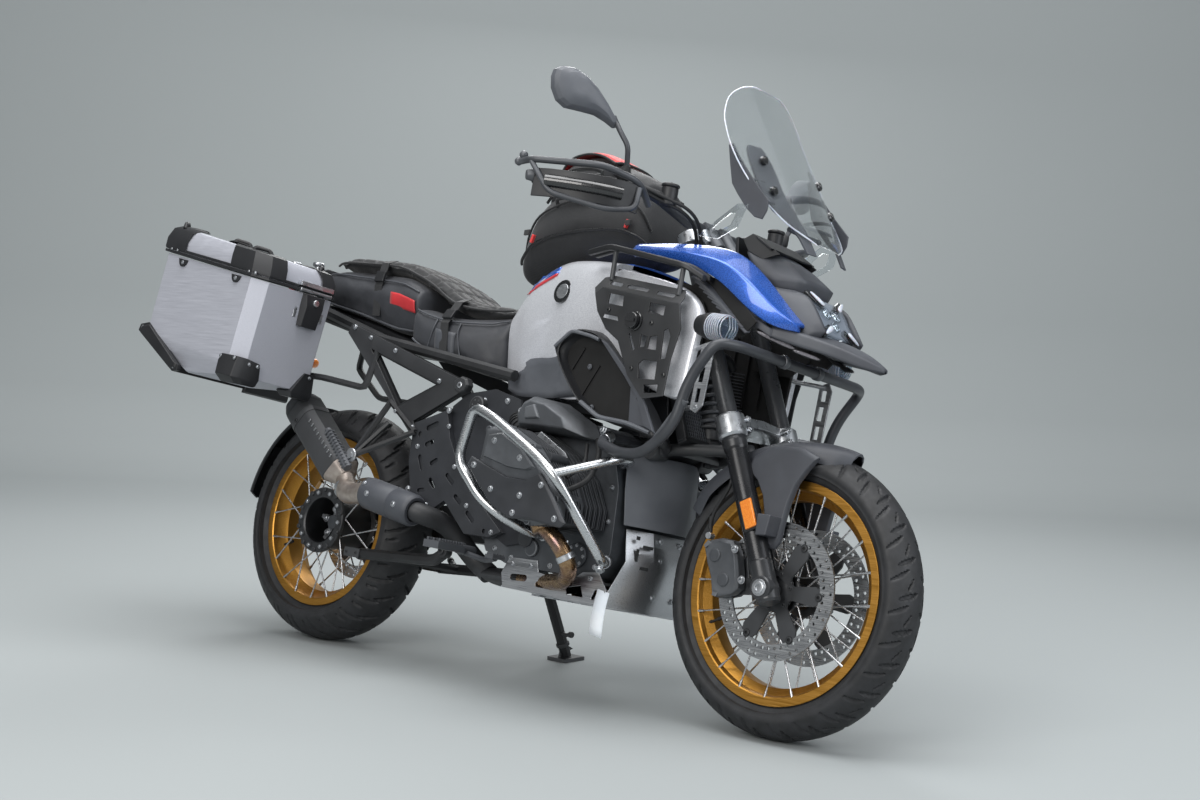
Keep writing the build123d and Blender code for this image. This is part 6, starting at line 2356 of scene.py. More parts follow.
class TankBag:
    """Textile tank bag: a wide bulging base and a raised red-flapped top."""

    base = ((566, 1012, 1120, 64, 46), (590, 1000, 1176, 88, 70), (640, 1018, 1226, 112, 98),
            (720, 1038, 1256, 124, 112), (820, 1052, 1270, 128, 112), (920, 1058, 1268, 124, 104),
            (970, 1062, 1232, 110, 92), (994, 1072, 1164, 88, 66))
    top = ((632, 1180, 1262, 78, 62), (668, 1188, 1318, 92, 72), (720, 1196, 1338, 98, 76),
           (780, 1200, 1336, 100, 76), (840, 1204, 1312, 102, 80), (910, 1206, 1290, 98, 78),
           (952, 1208, 1264, 84, 66))
    toothed = 0.34  # share of a lobe's height at which its toothed zip runs

    def build(self, shop: Workshop) -> None:
        """Build both lobes and what is sewn on them.

        Args:
            shop: places and finishes the pieces.
        """
        base = [pillow_ring(*row, 2.7) for row in smooth_rows(self.base, 4)]
        Cushion("tank_bag_base", Stock.BAG, base, ("tank_bag",), 9.0, 6.0, 3.0, 0.5).build(shop)
        top = [pillow_ring(*row, 2.6) for row in smooth_rows(self.top, 4)]
        Cushion("tank_bag_top", Stock.BAG, top, (), 8.0, 6.0, 3.0, 0.5).build(shop)
        self.zips(shop)
        self.flap(shop)
        self.fittings(shop)

    def line(self, rows: Sequence[Sequence[float]], share: float, proud: float) -> list[Point]:
        """A line round the right side of a lobe at a share of its height.

        Args:
            rows: stations along the lobe.
            share: how far up, from 0 to 1.
            proud: how far it stands out.

        Returns:
            The points of the line.
        """
        out = []
        for x, lo, hi, wl, wh in smooth_rows(rows, 4):
            bulge = (1 - abs(2 * share - 1) ** 2.7) ** (1 / 2.7)
            out.append((x, -(wl + (wh - wl) * share) * bulge - proud, lo + (hi - lo) * share))
        return out

    def zips(self, shop: Workshop) -> None:
        """Curved zips with rows of teeth, and piping between the lobes.

        Args:
            shop: places and finishes the pieces.
        """
        bm = bmesh.new()
        teeth = bmesh.new()
        for rows, share, size in ((self.base, self.toothed, 3.4), (self.base, 0.72, 3.0),
                                  (self.top, self.toothed, 3.2), (self.top, 0.70, 2.6)):
            run = self.line(rows, share, 5.5)
            add_tube(bm, run, size, sides=8)
            add_tube(bm, [(x, -y, z) for x, y, z in run], size, sides=8)
            if share == self.toothed:
                fine = smooth_rows(run, 9)
                for a, b in zip(fine[::2], fine[1::2]):
                    for side in (1, -1):
                        add_rod(teeth, (a[0], side * (a[1] - 4.2), a[2] + 1),
                                (b[0], side * (b[1] - 4.2), b[2] + 1), 1.3, 6)
        shop.fit("tank_bag_piping", bm, Stock.WEB, smooth=60)
        shop.fit("tank_bag_zips", teeth, Stock.GLOSS_BLACK, smooth=60)

    def flap(self, shop: Workshop) -> None:
        """Red flap over the raised top, with black binding.

        Args:
            shop: places and finishes the pieces.
        """
        bm = bmesh.new()
        grid = []
        for x, _, hi, _, wh in smooth_rows(self.top[:5], 4):
            line = []
            for n in range(11):
                t = -1 + n / 5
                drop = 10 * abs(t) ** 3.0
                line.append((x, t * (wh - 4), hi + 9 - drop))
            grid.append(line)
        loft(bm, grid, open_ring=True)
        thicken(shop.fit("tank_bag_red_flap", bm, Stock.BAG_RED, smooth=70), 3.0)
        bm = bmesh.new()
        for y in (-1, 1):
            add_tube(bm, [(row[0][0], y * abs(row[0][1]), row[0][2] - 1) for row in grid], 3.0,
                     sides=8)
        add_tube(bm, grid[0], 3.0, sides=8)
        add_tube(bm, grid[-1], 3.0, sides=8)
        shop.fit("tank_bag_binding", bm, Stock.WEB, smooth=60)

    def fittings(self, shop: Workshop) -> None:
        """Carry handle, side loops, red pull tabs and the ring under the bag.

        Args:
            shop: places and finishes the pieces.
        """
        bm = bmesh.new()
        for side in SIDES:
            add_tube(bm, [(700, side * 106, 1190), (704, side * 122, 1206), (760, side * 128, 1212),
                          (816, side * 124, 1206), (820, side * 108, 1190)], 5, 12, 10)
            for x, z in ((620, 1120), (952, 1148)):
                add_block(bm, (x, side * 118, z), (26, 6, 14),
                          Matrix.Rotation(0.3 * side, 3, "Z"))
        add_rod(bm, (800, 0, 1044), (800, 0, 1060), 70, 40, edge=2)
        shop.fit("tank_bag_loops", bm, Stock.WEB, round_mm=1.2)
        bm = bmesh.new()
        for x, y, z in ((642, 117, 1104), (946, 114, 1146), (930, 94, 1214)):
            for side in SIDES:
                add_block(bm, (x, side * y, z), (7, 9, 22), Matrix.Rotation(0.25, 3, "Y"))
        shop.fit("tank_bag_red_tabs", bm, Stock.BAG_RED, round_mm=1.0)


def dress_packed(shop: Workshop) -> None:
    """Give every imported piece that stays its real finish.

    Args:
        shop: places and finishes the pieces.
    """
    for finish, names, round_mm in (
        (Stock.ENGINE_GREY, ("engine_block", "head_covers", "intake_housings"), 3.0),
        (Stock.ENGINE_BLACK, ("cylinders",), 1.0),
        (Stock.FRAME, ("main_frame", "head_guards"), 1.5),
        (Stock.BLACK_STEEL, ("rear_subframe", "swingarm", "suspension_struts", "telelever_arm",
                             "luggage_rack", "side_racks", "side_stand", "centre_stand"), 1.5),
        (Stock.HEADER, ("exhaust_headers",), 0.0),
        (Stock.MUFFLER, ("muffler", "heat_shield"), 3.0),
        (Stock.BLACK_PLASTIC, ("rear_guard", "tail_unit", "hand_guards", "case_guards"), 1.5),
        (Stock.GREY_PLASTIC, ("mirrors", "front_mudguard"), 2.0),
        (Stock.MID_PLASTIC, ("front_cowl",), 2.0),
        (Stock.SHEET, ("skid_plate",), 0.8),
        (Stock.CASE, ("pannier_case", "pannier_lid"), 2.0),
        (Stock.DARK_TUBE, ("upper_crash_bars", "handlebar"), 0.0),
        (Stock.STEEL_TUBE, ("lower_crash_bars",), 0.0),
        (Stock.SILVER, ("foot_controls", "top_yoke"), 1.5),
        (Stock.FORK_LEG, ("fork",), 1.0),
        (Stock.ENGINE_GREY, ("front_calipers",), 2.5),
        (Stock.TANK, ("fuel_tank",), 0.0),
    ):
        shop.dress([n for n in names if n in shop.nodes], finish, round_mm)


# --- tubes, engine and chassis ----------------------------------------------------------------
def build_guard_bars(shop: Workshop) -> None:
    """Smoothly bent guard bars with their clamps, end bolts and weld collars.

    Args:
        shop: places and finishes the pieces.
    """
    bm = bmesh.new()
    add_tube(bm, [(1098, -212, 612), (1104, -246, 592), (1190, -272, 570), (1262, -280, 574),
                  (1345, -290, 640), (1366, -290, 750), (1424, -290, 836), (1450, -240, 838),
                  (1450, 240, 838), (1424, 290, 836), (1366, 290, 750), (1345, 290, 640),
                  (1262, 280, 574), (1190, 272, 570), (1104, 246, 592), (1098, 212, 612)],
             GUARD_BAR_RADIUS, 46, 18, 7)
    for side in SIDES:
        add_tube(bm, [(1282, side * 282, 588), (1366, side * 290, 702)], 9, sides=14)
        add_rod(bm, (1450, side * 60, 838), (1450, side * 76, 838), 15.5, 24, edge=1)
    shop.fit("guard_bar_dark", bm, Stock.DARK_TUBE, instead=["upper_crash_bars"], smooth=50)
    bm = bmesh.new()
    add_tube(bm, [(1100, -150, 330), (1143, -206, 318), (1082, -352, 494), (1015, -364, 540),
                  (887, -364, 602), (784, -352, 636), (752, -342, 505), (832, -322, 420),
                  (885, -286, 386), (912, -226, 366), (912, -150, 366)],
             GUARD_BAR_RADIUS, 34, 18, 7)
    add_tube(bm, [(1078, -352, 500), (1146, -226, 560), (1134, -160, 566), (1100, -150, 556)],
             11, 24, 16)
    mirrored(bm)
    shop.fit("guard_bar_silver", bm, Stock.STEEL_TUBE, instead=["lower_crash_bars"], smooth=50)
    bm = bmesh.new()
    for side in SIDES:
        for a, b, r in (((1112, side * 164, 327), (1124, side * 182, 324), 15.5),
                        ((912, side * 176, 366), (912, side * 158, 366), 15.5),
                        ((1100, side * 230, 602), (1098, side * 208, 613), 15)):
            add_rod(bm, a, b, r, 24, edge=1.5)
        add_bolt(bm, (1143, side * 216, 306), (0.3, side * 0.5, -0.8), 9, 7)
        add_bolt(bm, (1098, side * 236, 622), (-0.2, side * 1, 0.3), 8, 7)
        add_bolt(bm, (1450, side * 68, 851), (0, 0, 1), 5, 4)
    shop.fit("guard_bar_clamps", bm, Stock.SILVER, round_mm=0.8)


HEAD_OUTLINE = [(806, 500), (812, 594), (880, 602), (975, 562), (1040, 505), (1082, 440),
                (1084, 396), (1000, 378), (900, 398)]


def build_engine(shop: Workshop) -> None:
    """Finned barrels, rocker covers, dark guards, intake housings, bolts and plugs.

    Args:
        shop: places and finishes the pieces.
    """
    bm = bmesh.new()
    outline = [(800, 498), (806, 598), (884, 610), (985, 566), (1050, 508), (1092, 440),
               (1092, 392), (1000, 372), (896, 392)]
    for n in range(9):
        y = 158 + 8.6 * n
        share = 0.94 + 0.02 * (n % 2)
        add_prism(bm, shrunk(outline, share), -y - 2.6, -y)
    add_prism(bm, shrunk(outline, 0.84), -234, -150)
    add_prism(bm, shrunk(HEAD_OUTLINE, 0.95), -300, -232)
    for n in range(6):
        y = 244 + 9.0 * n
        add_prism(bm, shrunk(HEAD_OUTLINE, 1.0), -y - 2.4, -y)
    for x, z in ((818, 520), (824, 580), (1000, 540), (1062, 450), (1066, 410), (905, 410)):
        add_rod(bm, (x, -300, z), (x, -240, z), 12, 16)
    mirrored(bm)
    shop.fit("finned_cylinders", bm, Stock.ENGINE_BLACK, instead=["cylinders"], round_mm=0.6)
    bm = bmesh.new()
    add_stack(bm, HEAD_OUTLINE, ((-300, 1.0), (-318, 1.0), (-334, 0.93), (-345, 0.80)))
    upper = [(836, 520), (842, 574), (884, 582), (958, 548), (1010, 508), (990, 498), (928, 500)]
    add_stack(bm, upper, ((-343, 1.0), (-352, 0.9)))
    for x, z in shrunk(HEAD_OUTLINE, 0.93):
        add_rod(bm, (x, -306, z), (x, -330, z), 9, 16, edge=1)
    mirrored(bm)
    shop.fit("rocker_covers", bm, Stock.ENGINE_GREY, instead=["head_covers"], round_mm=3.5)
    bm = bmesh.new()
    plate = [(795, 496), (803, 518), (862, 500), (928, 480), (996, 478), (1035, 498), (1058, 477),
             (1098, 434), (1134, 392), (1120, 380), (1028, 387), (957, 385), (893, 411),
             (836, 458)]
    add_stack(bm, plate, ((-346, 1.0), (-351, 1.0), (-356, 0.93)))
    mirrored(bm)
    shop.fit("rocker_guards", bm, Stock.FRAME, instead=["head_guards"], round_mm=2.0)
    bm = bmesh.new()
    add_side_bolts(bm, ((822, 497), (890, 446), (985, 440), (1046, 470), (1104, 398), (972, 398)),
                   355.5, 6.0, 4.5)
    add_side_bolts(bm, ((870, 560), (960, 526)), 351, 6.0, 5)
    shop.fit("rocker_guard_bolts", bm, Stock.SILVER, smooth=35)
    intake(shop)
    crankcase_trim(shop)


def intake(shop: Workshop) -> None:
    """Grey faceted air housing over each barrel, with its bright facet, bolts and hose.

    Args:
        shop: places and finishes the pieces.
    """
    base = [(800, 608), (788, 646), (806, 676), (836, 692), (905, 684), (1000, 642), (1026, 604),
            (900, 606)]
    bm = bmesh.new()
    add_stack(bm, base, ((-152, 1.02), (-200, 1.0), (-214, 0.94), (-238, 0.66)))
    rib = [(842, 628), (838, 662), (872, 672), (898, 634)]
    add_stack(bm, rib, ((-228, 1.0), (-244, 0.82)))
    mirrored(bm)
    shop.fit("intake_covers", bm, Stock.ENGINE_GREY, instead=["intake_housings"], round_mm=4.0)
    bm = bmesh.new()
    for side in SIDES:
        for x, z in ((940, 636), (822, 650)):
            add_bolt(bm, (x, side * 231, z), (0, side, 0.2), 7, 5)
        add_plate(bm, [(912, side * 246, 604), (1000, side * 246, 560), (1010, side * 246, 548),
                       (930, side * 246, 566), (900, side * 246, 590)], 4)
    shop.fit("intake_bolts", bm, Stock.SILVER, round_mm=1.0)
    bm = bmesh.new()
    for side in SIDES:
        run = [(770, side * 120, 640), (756, side * 168, 636), (790, side * 196, 612),
               (836, side * 200, 596)]
        add_tube(bm, run, 22, 26, 20)
        path = smooth_path(run, 26, 6)
        for a, b in list(zip(path, path[1:]))[1::2]:
            add_rod(bm, a, a + (b - a).normalized() * 4, 25, 20)
        add_tube(bm, [(1046, side * 190, 604), (1080, side * 214, 560), (1092, side * 250, 500),
                      (1064, side * 286, 470)], 7, 26, 12)
        add_tube(bm, [(1020, side * 196, 590), (1056, side * 232, 540), (1050, side * 280, 500)],
                 5, 22, 10)
    shop.fit("engine_hoses", bm, Stock.GRIP, smooth=45)


def crankcase_trim(shop: Workshop) -> None:
    """Front cover ribs, oil cooler, sump bolts, plug and gearbox details.

    Args:
        shop: places and finishes the pieces.
    """
    bm = bmesh.new()
    for n in range(7):
        z = 440 + 18 * n
        add_block(bm, (1128, 0, z), (5, 150, 5))
    add_prism(bm, [(1060, 596), (1092, 620), (1128, 612), (1132, 572)], -70, 70)
    for side in SIDES:
        add_prism(bm, [(742, 560), (760, 600), (820, 612), (836, 560), (790, 540)], side * 154,
                  side * 148)
        add_rod(bm, (1010, side * 150, 330), (1010, side * 158, 330), 30, 32, edge=2)
        add_rod(bm, (866, side * 150, 330), (866, side * 160, 330), 20, 28, edge=2)
    shop.fit("crankcase_ribs", bm, Stock.ENGINE_GREY, round_mm=1.5)
    bm = bmesh.new()
    add_side_bolts(bm, disc_edge(1010, 330, 24, 8), 157.5, 3.2, 3)
    add_side_bolts(bm, ((740, 316), (800, 300), (930, 296), (1070, 310), (1086, 420), (1080, 500),
                        (752, 586), (716, 470)), 150, 5, 5)
    shop.fit("crankcase_bolts", bm, Stock.SILVER, smooth=35)


def build_exhaust(shop: Workshop) -> None:
    """Bronze header pipes, black link pipe with a pale elbow, clamps, sleeve and silencer.

    Args:
        shop: places and finishes the pieces.
    """
    bm = bmesh.new()
    for side in SIDES:
        add_tube(bm, [(985, side * 262, 384), (1036, side * 254, 352), (1062, side * 228, 300),
                      (1020, side * 186, 266), (900, side * 130, 255), (800, side * 96, 255)],
                 20, 34, 24, 8)
        add_rod(bm, (980, side * 263, 392), (992, side * 261, 372), 27, 24, edge=2)
    shop.fit("header_pipes", bm, Stock.HEADER, instead=["exhaust_headers"], smooth=50)
    bm = bmesh.new()
    run = smooth_path([(336, -216, 401), (226, -199, 394), (190, -184, 432)], 34, 8)
    last = len(run) - 1
    add_tube(bm, run, [26 + 5 * math.sin(math.pi * n / last) for n in range(last + 1)], sides=28)
    shop.fit("silencer_elbow", bm, Stock.PIPE_PALE, smooth=50)
    bm = bmesh.new()
    add_tube(bm, [(650, -60, 252), (596, -64, 280), (548, -138, 358), (520, -216, 371),
                  (330, -216, 402)], 26, 36, 26, 8)
    rings = []
    for x, z, w, tall in ((836, 256, 60, 14), (826, 255, 96, 20), (740, 251, 110, 24),
                          (664, 250, 106, 24), (644, 251, 70, 18)):
        rings.append([(x, w * math.cos(t * math.pi / 12), z + tall * math.sin(t * math.pi / 12))
                      for t in range(24)])
    loft(bm, rings)
    shop.fit("link_pipe", bm, Stock.MUFFLER, smooth=50)
    bm = bmesh.new()
    for a, b in (((1050, -240, 326), (1056, -234, 314)), ((1050, 240, 326), (1056, 234, 314)),
                 ((214, -197, 398), (202, -191, 412)), ((330, -216, 402), (318, -215, 403.5))):
        add_rod(bm, a, b, 28 if a[0] < 500 else 23.5, 28, edge=1)
        add_bolt(bm, Vector(a) + Vector((0, 0, 28 if a[0] < 500 else 23)), (0, 0, 1), 5, 10)
    shop.fit("exhaust_clamps", bm, Stock.SILVER, smooth=35)
    heat_shield(shop)
    silencer(shop)


def heat_shield(shop: Workshop) -> None:
    """Dark-grey sleeve over the link pipe with a groove, rolled ends and bolts.

    Args:
        shop: places and finishes the pieces.
    """
    a, b = Vector((508, -216, 373)), Vector((322, -216, 403.5))
    way = (b - a).normalized()
    across = LEFT
    length = (b - a).length
    stops = [(0, 28), (0, 35), (4, 39), (12, 41.5), (70, 42), (72, 40.8), (76, 40.8), (78, 42),
             (length - 12, 41.5), (length - 4, 39), (length, 35), (length, 28)]
    bm = bmesh.new()
    rings = [[a + way * h + across * r * math.cos(t * math.pi / 20)
              + way.cross(across) * r * math.sin(t * math.pi / 20) for t in range(40)]
             for h, r in stops]
    loft(bm, rings, wrap=True)
    shop.fit("link_pipe_sleeve", bm, Stock.GREY_PLASTIC, instead=["heat_shield"], smooth=40)
    bm = bmesh.new()
    for share in (0.22, 0.78):
        add_bolt(bm, a + (b - a) * share + Vector((0, -41, 2)), (0, -1, 0), 6, 4)
    add_bolt(bm, a + (b - a) * 0.9 + Vector((0, -34, 24)), (0, -1, 0.6), 5, 4)
    shop.fit("link_pipe_bolts", bm, Stock.SILVER, smooth=35)


def silencer(shop: Workshop) -> None:
    """Upswept matt black can with a pale inlet cone, end cap, band, outlet and vents.

    Args:
        shop: places and finishes the pieces.
    """
    low, high = Vector((188, -183, 434)), Vector((-50, -186, 624))
    way = (high - low).normalized()
    side = square_to(way, LEFT)
    up = way.cross(side)
    section = [(-46, -20), (-46, 20), (-42, 32), (-28, 44), (28, 44), (42, 32), (46, 20), (46, -20),
               (42, -32), (28, -44), (-28, -44), (-42, -32)]

    def ring(distance: float, share: float) -> list[Vector]:
        """One square-cut outline of the can."""
        return [low + way * distance + side * u * share + up * v * share for u, v in section]

    bm = bmesh.new()
    loft(bm, [ring(h, s) for h, s in ((26, 0.86), (30, 0.97), (34, 1.0), (262, 1.0), (264, 0.985),
                                      (267, 0.985), (269, 1.0), (276, 0.99), (300, 0.80),
                                      (301, 0.70), (290, 0.62), (276, 0.56))])
    shop.fit("silencer_can", bm, Stock.MUFFLER, instead=["muffler"], round_mm=0.8)
    bm = bmesh.new()
    loft(bm, [ring(h, s) for h, s in ((-4, 0.56), (4, 0.64), (26, 0.92), (34, 0.97))])
    shop.fit("silencer_inlet", bm, Stock.PIPE_PALE, round_mm=1.5)
    bm = bmesh.new()
    loft(bm, [ring(h, s) for h, s in ((216, 1.02), (216, 1.035), (232, 1.035), (232, 1.02))])
    spot = low + way * 224 - side * 46 + up * 10
    add_bolt(bm, spot, -side, 6, 5)
    add_rod(bm, low + way * 276 + up * 6, low + way * 300 + up * 6, 19, 28, edge=1.5)
    shop.fit("silencer_band", bm, Stock.BLACK_STEEL, round_mm=1.0)
    bm = bmesh.new()
    for n in range(9):
        spot = low + way * (48 + 17 * n) - side * 46.4 - up * 26
        add_block(bm, spot, (4, 2.4, 10), axes(way, side, up))
    shop.fit("silencer_vents", bm, Stock.SHEET, round_mm=0.5)


def build_front_end(shop: Workshop) -> None:
    """Fork, yokes, leading arm fittings, calipers, hoses, mudguard and strut spring.

    Args:
        shop: places and finishes the pieces.
    """
    bm = bmesh.new()
    silver = bmesh.new()
    for side in SIDES:
        y = side * 105.0
        stops = [(-34, 24), (-28, 27), (60, 27), (64, 26), (330, 26), (336, 28), (352, 29),
                 (362, 27), (366, 24)]
        for (low, r_low), (high, r_high) in zip(stops, stops[1:]):
            add_rod(bm, Fork.point(FORK_OFFSET, y, low), Fork.point(FORK_OFFSET, y, high),
                    r_low, 32, r_high)
        add_rod(bm, Fork.point(FORK_OFFSET, y, 366), Fork.point(FORK_OFFSET, y, 858), 21, 32)
        add_rod(bm, Fork.point(FORK_OFFSET, y * 0.86, 0), Fork.point(FORK_OFFSET, y * 1.26, 0), 27,
                32, edge=3)
        collar = ((361, 30), (367, 34), (412, 34), (417, 30))
        for (low, r_low), (high, r_high) in zip(collar, collar[1:]):
            add_rod(silver, Fork.point(FORK_OFFSET, y, low), Fork.point(FORK_OFFSET, y, high),
                    r_low, 36, r_high)
        for lift in (376, 402):
            spot = Fork.point(FORK_OFFSET + 24, y - side * 26, lift)
            add_rod(silver, spot - Fork.ahead * 16, spot + Fork.ahead * 10, 8, 16, edge=1)
            add_bolt(silver, spot + Fork.ahead * 10, Fork.ahead, 5, 4)
        add_bolt(silver, Fork.point(FORK_OFFSET, side * 133, 0), (0, side, 0), 14, 5)
    add_rod(bm, Fork.point(FORK_OFFSET, -100, 0), Fork.point(FORK_OFFSET, 100, 0), 11, 24)
    rings = []
    for y, ahead, tall in ((-86, 24, 14), (-60, 28, 15), (0, 34, 16), (60, 28, 15), (86, 24, 14)):
        rings.append([Fork.point(26 + ahead * a, y, 405 + tall * u) for a, u in
                      ((-1, -0.7), (-1, 0.7), (-0.7, 1), (0.7, 1), (1, 0.7), (1, -0.7),
                       (0.7, -1), (-0.7, -1))])
    loft(silver, rings)
    shop.fit("fork_tubes", bm, Stock.FORK_LEG, "steering", ["fork"], smooth=40)
    shop.fit("fork_clamps", silver, Stock.SILVER, "steering", round_mm=0.8)
    top_yoke(shop)
    leading_arm(shop)
    calipers(shop)
    mudguard(shop)


def top_yoke(shop: Workshop) -> None:
    """Silver top clamp with stem nut, fork caps and bar risers.

    Args:
        shop: places and finishes the pieces.
    """
    bm = bmesh.new()
    outline = [(-18, -84), (-24, -40), (-24, 40), (-18, 84), (0, 104), (34, 128), (62, 122),
               (66, 96), (50, 62), (46, 0), (50, -62), (66, -96), (62, -122), (34, -128),
               (0, -104)]
    loft(bm, [[Fork.point(x, y, 872 + h) for x, y in outline] for h in (-13, 12)])
    for side in SIDES:
        for y, low, high, near, sides, far, edge in ((105, 858, 888, 31, 32, 31, 2),
                                                     (105, 886, 896, 19, 24, 19, 2),
                                                     (42, 880, 914, 17, 24, 15, 1)):
            add_rod(bm, Fork.point(FORK_OFFSET, side * y, low),
                    Fork.point(FORK_OFFSET, side * y, high), near, sides, far, edge)
    add_rod(bm, Fork.point(0, 0, 882), Fork.point(0, 0, 894), 19, 6, edge=1.5)
    shop.fit("yoke_plate", bm, Stock.SILVER, "steering", ["top_yoke"], round_mm=1.6)


def leading_arm(shop: Workshop) -> None:
    """Cast A-arm with a web, its ball joint, and the front strut with a coiled spring.

    Args:
        shop: places and finishes the pieces.
    """
    tip = Fork.point(0, 0, 362)
    bm = bmesh.new()
    for side in SIDES:
        run = [Vector((1140, side * 90, 604)), Vector((1214, side * 84, 614)), tip]
        add_tube(bm, run, 14.5, 36, 20, 6)
        add_rod(bm, (1140, side * 62, 604), (1140, side * 112, 604), 24, 28, edge=2)
    add_rod(bm, (1200, -86, 612), (1200, 86, 612), 12, 16)
    add_rod(bm, tip - Fork.up * 12, tip + Fork.up * 12, 17, 28, edge=2)
    shop.fit("leading_arm", bm, Stock.BLACK_STEEL, instead=["telelever_arm"], smooth=45)
    bm = bmesh.new()
    dark = bmesh.new()
    for low, high in (((450, 0, 424), (552, 0, 642)), ((1226, 0, 640), (1190, 0, 850))):
        a, b = Vector(low), Vector(high)
        way = (b - a).normalized()
        length = (b - a).length
        across = LEFT
        coil = []
        turns = 6.5
        for n in range(int(turns * 18) + 1):
            angle = 2 * math.pi * n / 18
            reach = length * (0.2 + 0.62 * n / (turns * 18))
            coil.append(a + way * reach + across * 29 * math.cos(angle)
                        + way.cross(across) * 29 * math.sin(angle))
        add_tube(bm, coil, 4.6, sides=10)
        add_rod(dark, a, b, 11, 20)
        add_rod(dark, a + way * length * 0.05, a + way * length * 0.5, 19, 24, edge=2)
        add_rod(dark, a + way * length * 0.17, a + way * length * 0.2, 34, 28, edge=1.5)
        add_rod(dark, a + way * length * 0.82, a + way * length * 0.86, 34, 28, edge=1.5)
        add_rod(dark, a - across * 16, a + across * 16, 15, 20, edge=1)
        add_rod(dark, b - across * 16, b + across * 16, 15, 20, edge=1)
    shop.fit("strut_springs", bm, Stock.DARK_TUBE, smooth=60)
    shop.fit("strut_bodies", dark, Stock.BLACK_STEEL, instead=["suspension_struts"], smooth=35)


def calipers(shop: Workshop) -> None:
    """Four-piston radial calipers with ribs, pins, banjo bolts and brake hoses.

    Args:
        shop: places and finishes the pieces.
    """
    bm = bmesh.new()
    metal = bmesh.new()
    hose = bmesh.new()
    for side in SIDES:
        outer = [(1337, 403), (1352, 416), (1384, 424), (1418, 422), (1436, 392), (1450, 346),
                 (1454, 316), (1436, 300), (1400, 289), (1384, 290), (1372, 330), (1352, 366)]
        for levels in (((74.5, 0.98), (90, 1.0), (98, 0.97), (104, 0.84)),
                       ((61.5, 0.98), (58, 1.0), (54, 0.94))):
            add_stack(bm, outer, [(side * y, share) for y, share in levels])
        for x, z in ((1378, 382), (1412, 330)):
            add_rod(bm, (x, side * 100, z), (x, side * 108, z), 17, 28, 15, edge=1.5)
        add_prism(bm, [(1340, 400), (1350, 414), (1362, 408), (1352, 392)], side * 54, side * 104)
        add_prism(bm, [(1386, 292), (1398, 290), (1404, 302), (1388, 306)], side * 54, side * 104)
        for x, z in ((1430, 402), (1462, 336)):
            add_bolt(metal, (x, side * 103, z), (0, side, 0), 7, 7)
        add_rod(metal, (1398, side * 80, 412), (1384, side * 80, 300), 3, 12)
        add_rod(metal, (1346, side * 84, 424), (1346, side * 102, 424), 8, 16, edge=1)
        top = Fork.point(0, side * 84, 356)
        add_tube(hose, [(1346, side * 92, 424), (1340, side * 92, 470), (1388, side * 92, 560),
                        top, Fork.point(-14, side * 78, 420)], 4.2, 40, 12, 8)
        add_rod(hose, (1342, side * 92, 440), (1340, side * 92, 468), 5.6, 12)
    shop.fit("caliper_bodies", bm, Stock.ENGINE_GREY, "steering", ["front_calipers"], round_mm=1.8)
    shop.fit("caliper_bolts", metal, Stock.SILVER, "steering", smooth=35)
    shop.fit("front_brake_hoses", hose, Stock.GRIP, "steering", smooth=50)


def mudguard(shop: Workshop) -> None:
    """Dark-grey front guard with a raised spine, rolled edge, side arms and reflectors.

    Args:
        shop: places and finishes the pieces.
    """
    top_r = FRONT_AXLE_Z + 16
    profile = [(-73, top_r - 46), (-74, top_r - 30), (-67, top_r - 13), (-50, top_r - 3),
               (-26, top_r + 1), (-10, top_r + 4), (10, top_r + 4), (26, top_r + 1),
               (50, top_r - 3), (67, top_r - 13), (74, top_r - 30), (73, top_r - 46),
               (70, top_r - 45), (63, top_r - 17), (29, top_r - 3), (0, top_r - 2),
               (-29, top_r - 3), (-63, top_r - 17), (-70, top_r - 45)]
    bm = bmesh.new()
    rings = []
    steps = 28
    for n in range(steps + 1):
        angle = math.radians(70.0 + 81.0 * n / steps)
        wide = min(1.0, 0.30 + 0.70 * math.sqrt(min(1.0, n / 7)), 0.72 + 0.28 * (steps - n) / 4)
        lift = 6.0 * max(0.0, 1 - n / 7)
        rings.append([(WHEELBASE + (r + lift) * math.cos(angle), y * wide,
                       FRONT_AXLE_Z + (r + lift) * math.sin(angle)) for y, r in profile])
    loft(bm, rings)
    shop.fit("mudguard_shell", bm, Stock.GREY_PLASTIC, "steering", ["front_mudguard"], smooth=38)
    bm = bmesh.new()
    arm = [(1416, 588), (1428, 616), (1480, 646), (1560, 646), (1604, 628), (1582, 600),
           (1560, 566), (1546, 520), (1539, 470), (1536, 430), (1524, 414), (1498, 414),
           (1488, 430), (1486, 480), (1470, 530), (1446, 566)]
    add_stack(bm, arm, ((-77, 0.97), (-81, 1.0), (-88, 1.0), (-95, 0.9)))
    add_prism(bm, [(1502, 438), (1530, 440), (1536, 486), (1500, 486)], -84, -138)
    mirrored(bm)
    shop.fit("mudguard_arms", bm, Stock.GREY_PLASTIC, "steering", round_mm=3.0)
    turn = axes(Fork.ahead, LEFT, Fork.up)
    bm = bmesh.new()
    holders = bmesh.new()
    for side in SIDES:
        add_block(bm, Fork.point(52, side * 135, 168), (30, 7, 66), turn)
        add_block(holders, Fork.point(48, side * 130, 168), (36, 6, 76), turn)
        add_rod(holders, Fork.point(48, side * 108, 190), Fork.point(48, side * 130, 190), 6, 14)
    shop.fit("fork_reflectors", bm, Stock.AMBER, "steering", round_mm=2.0)
    shop.fit("reflector_holders", holders, Stock.BLACK_PLASTIC, "steering", round_mm=1.2)


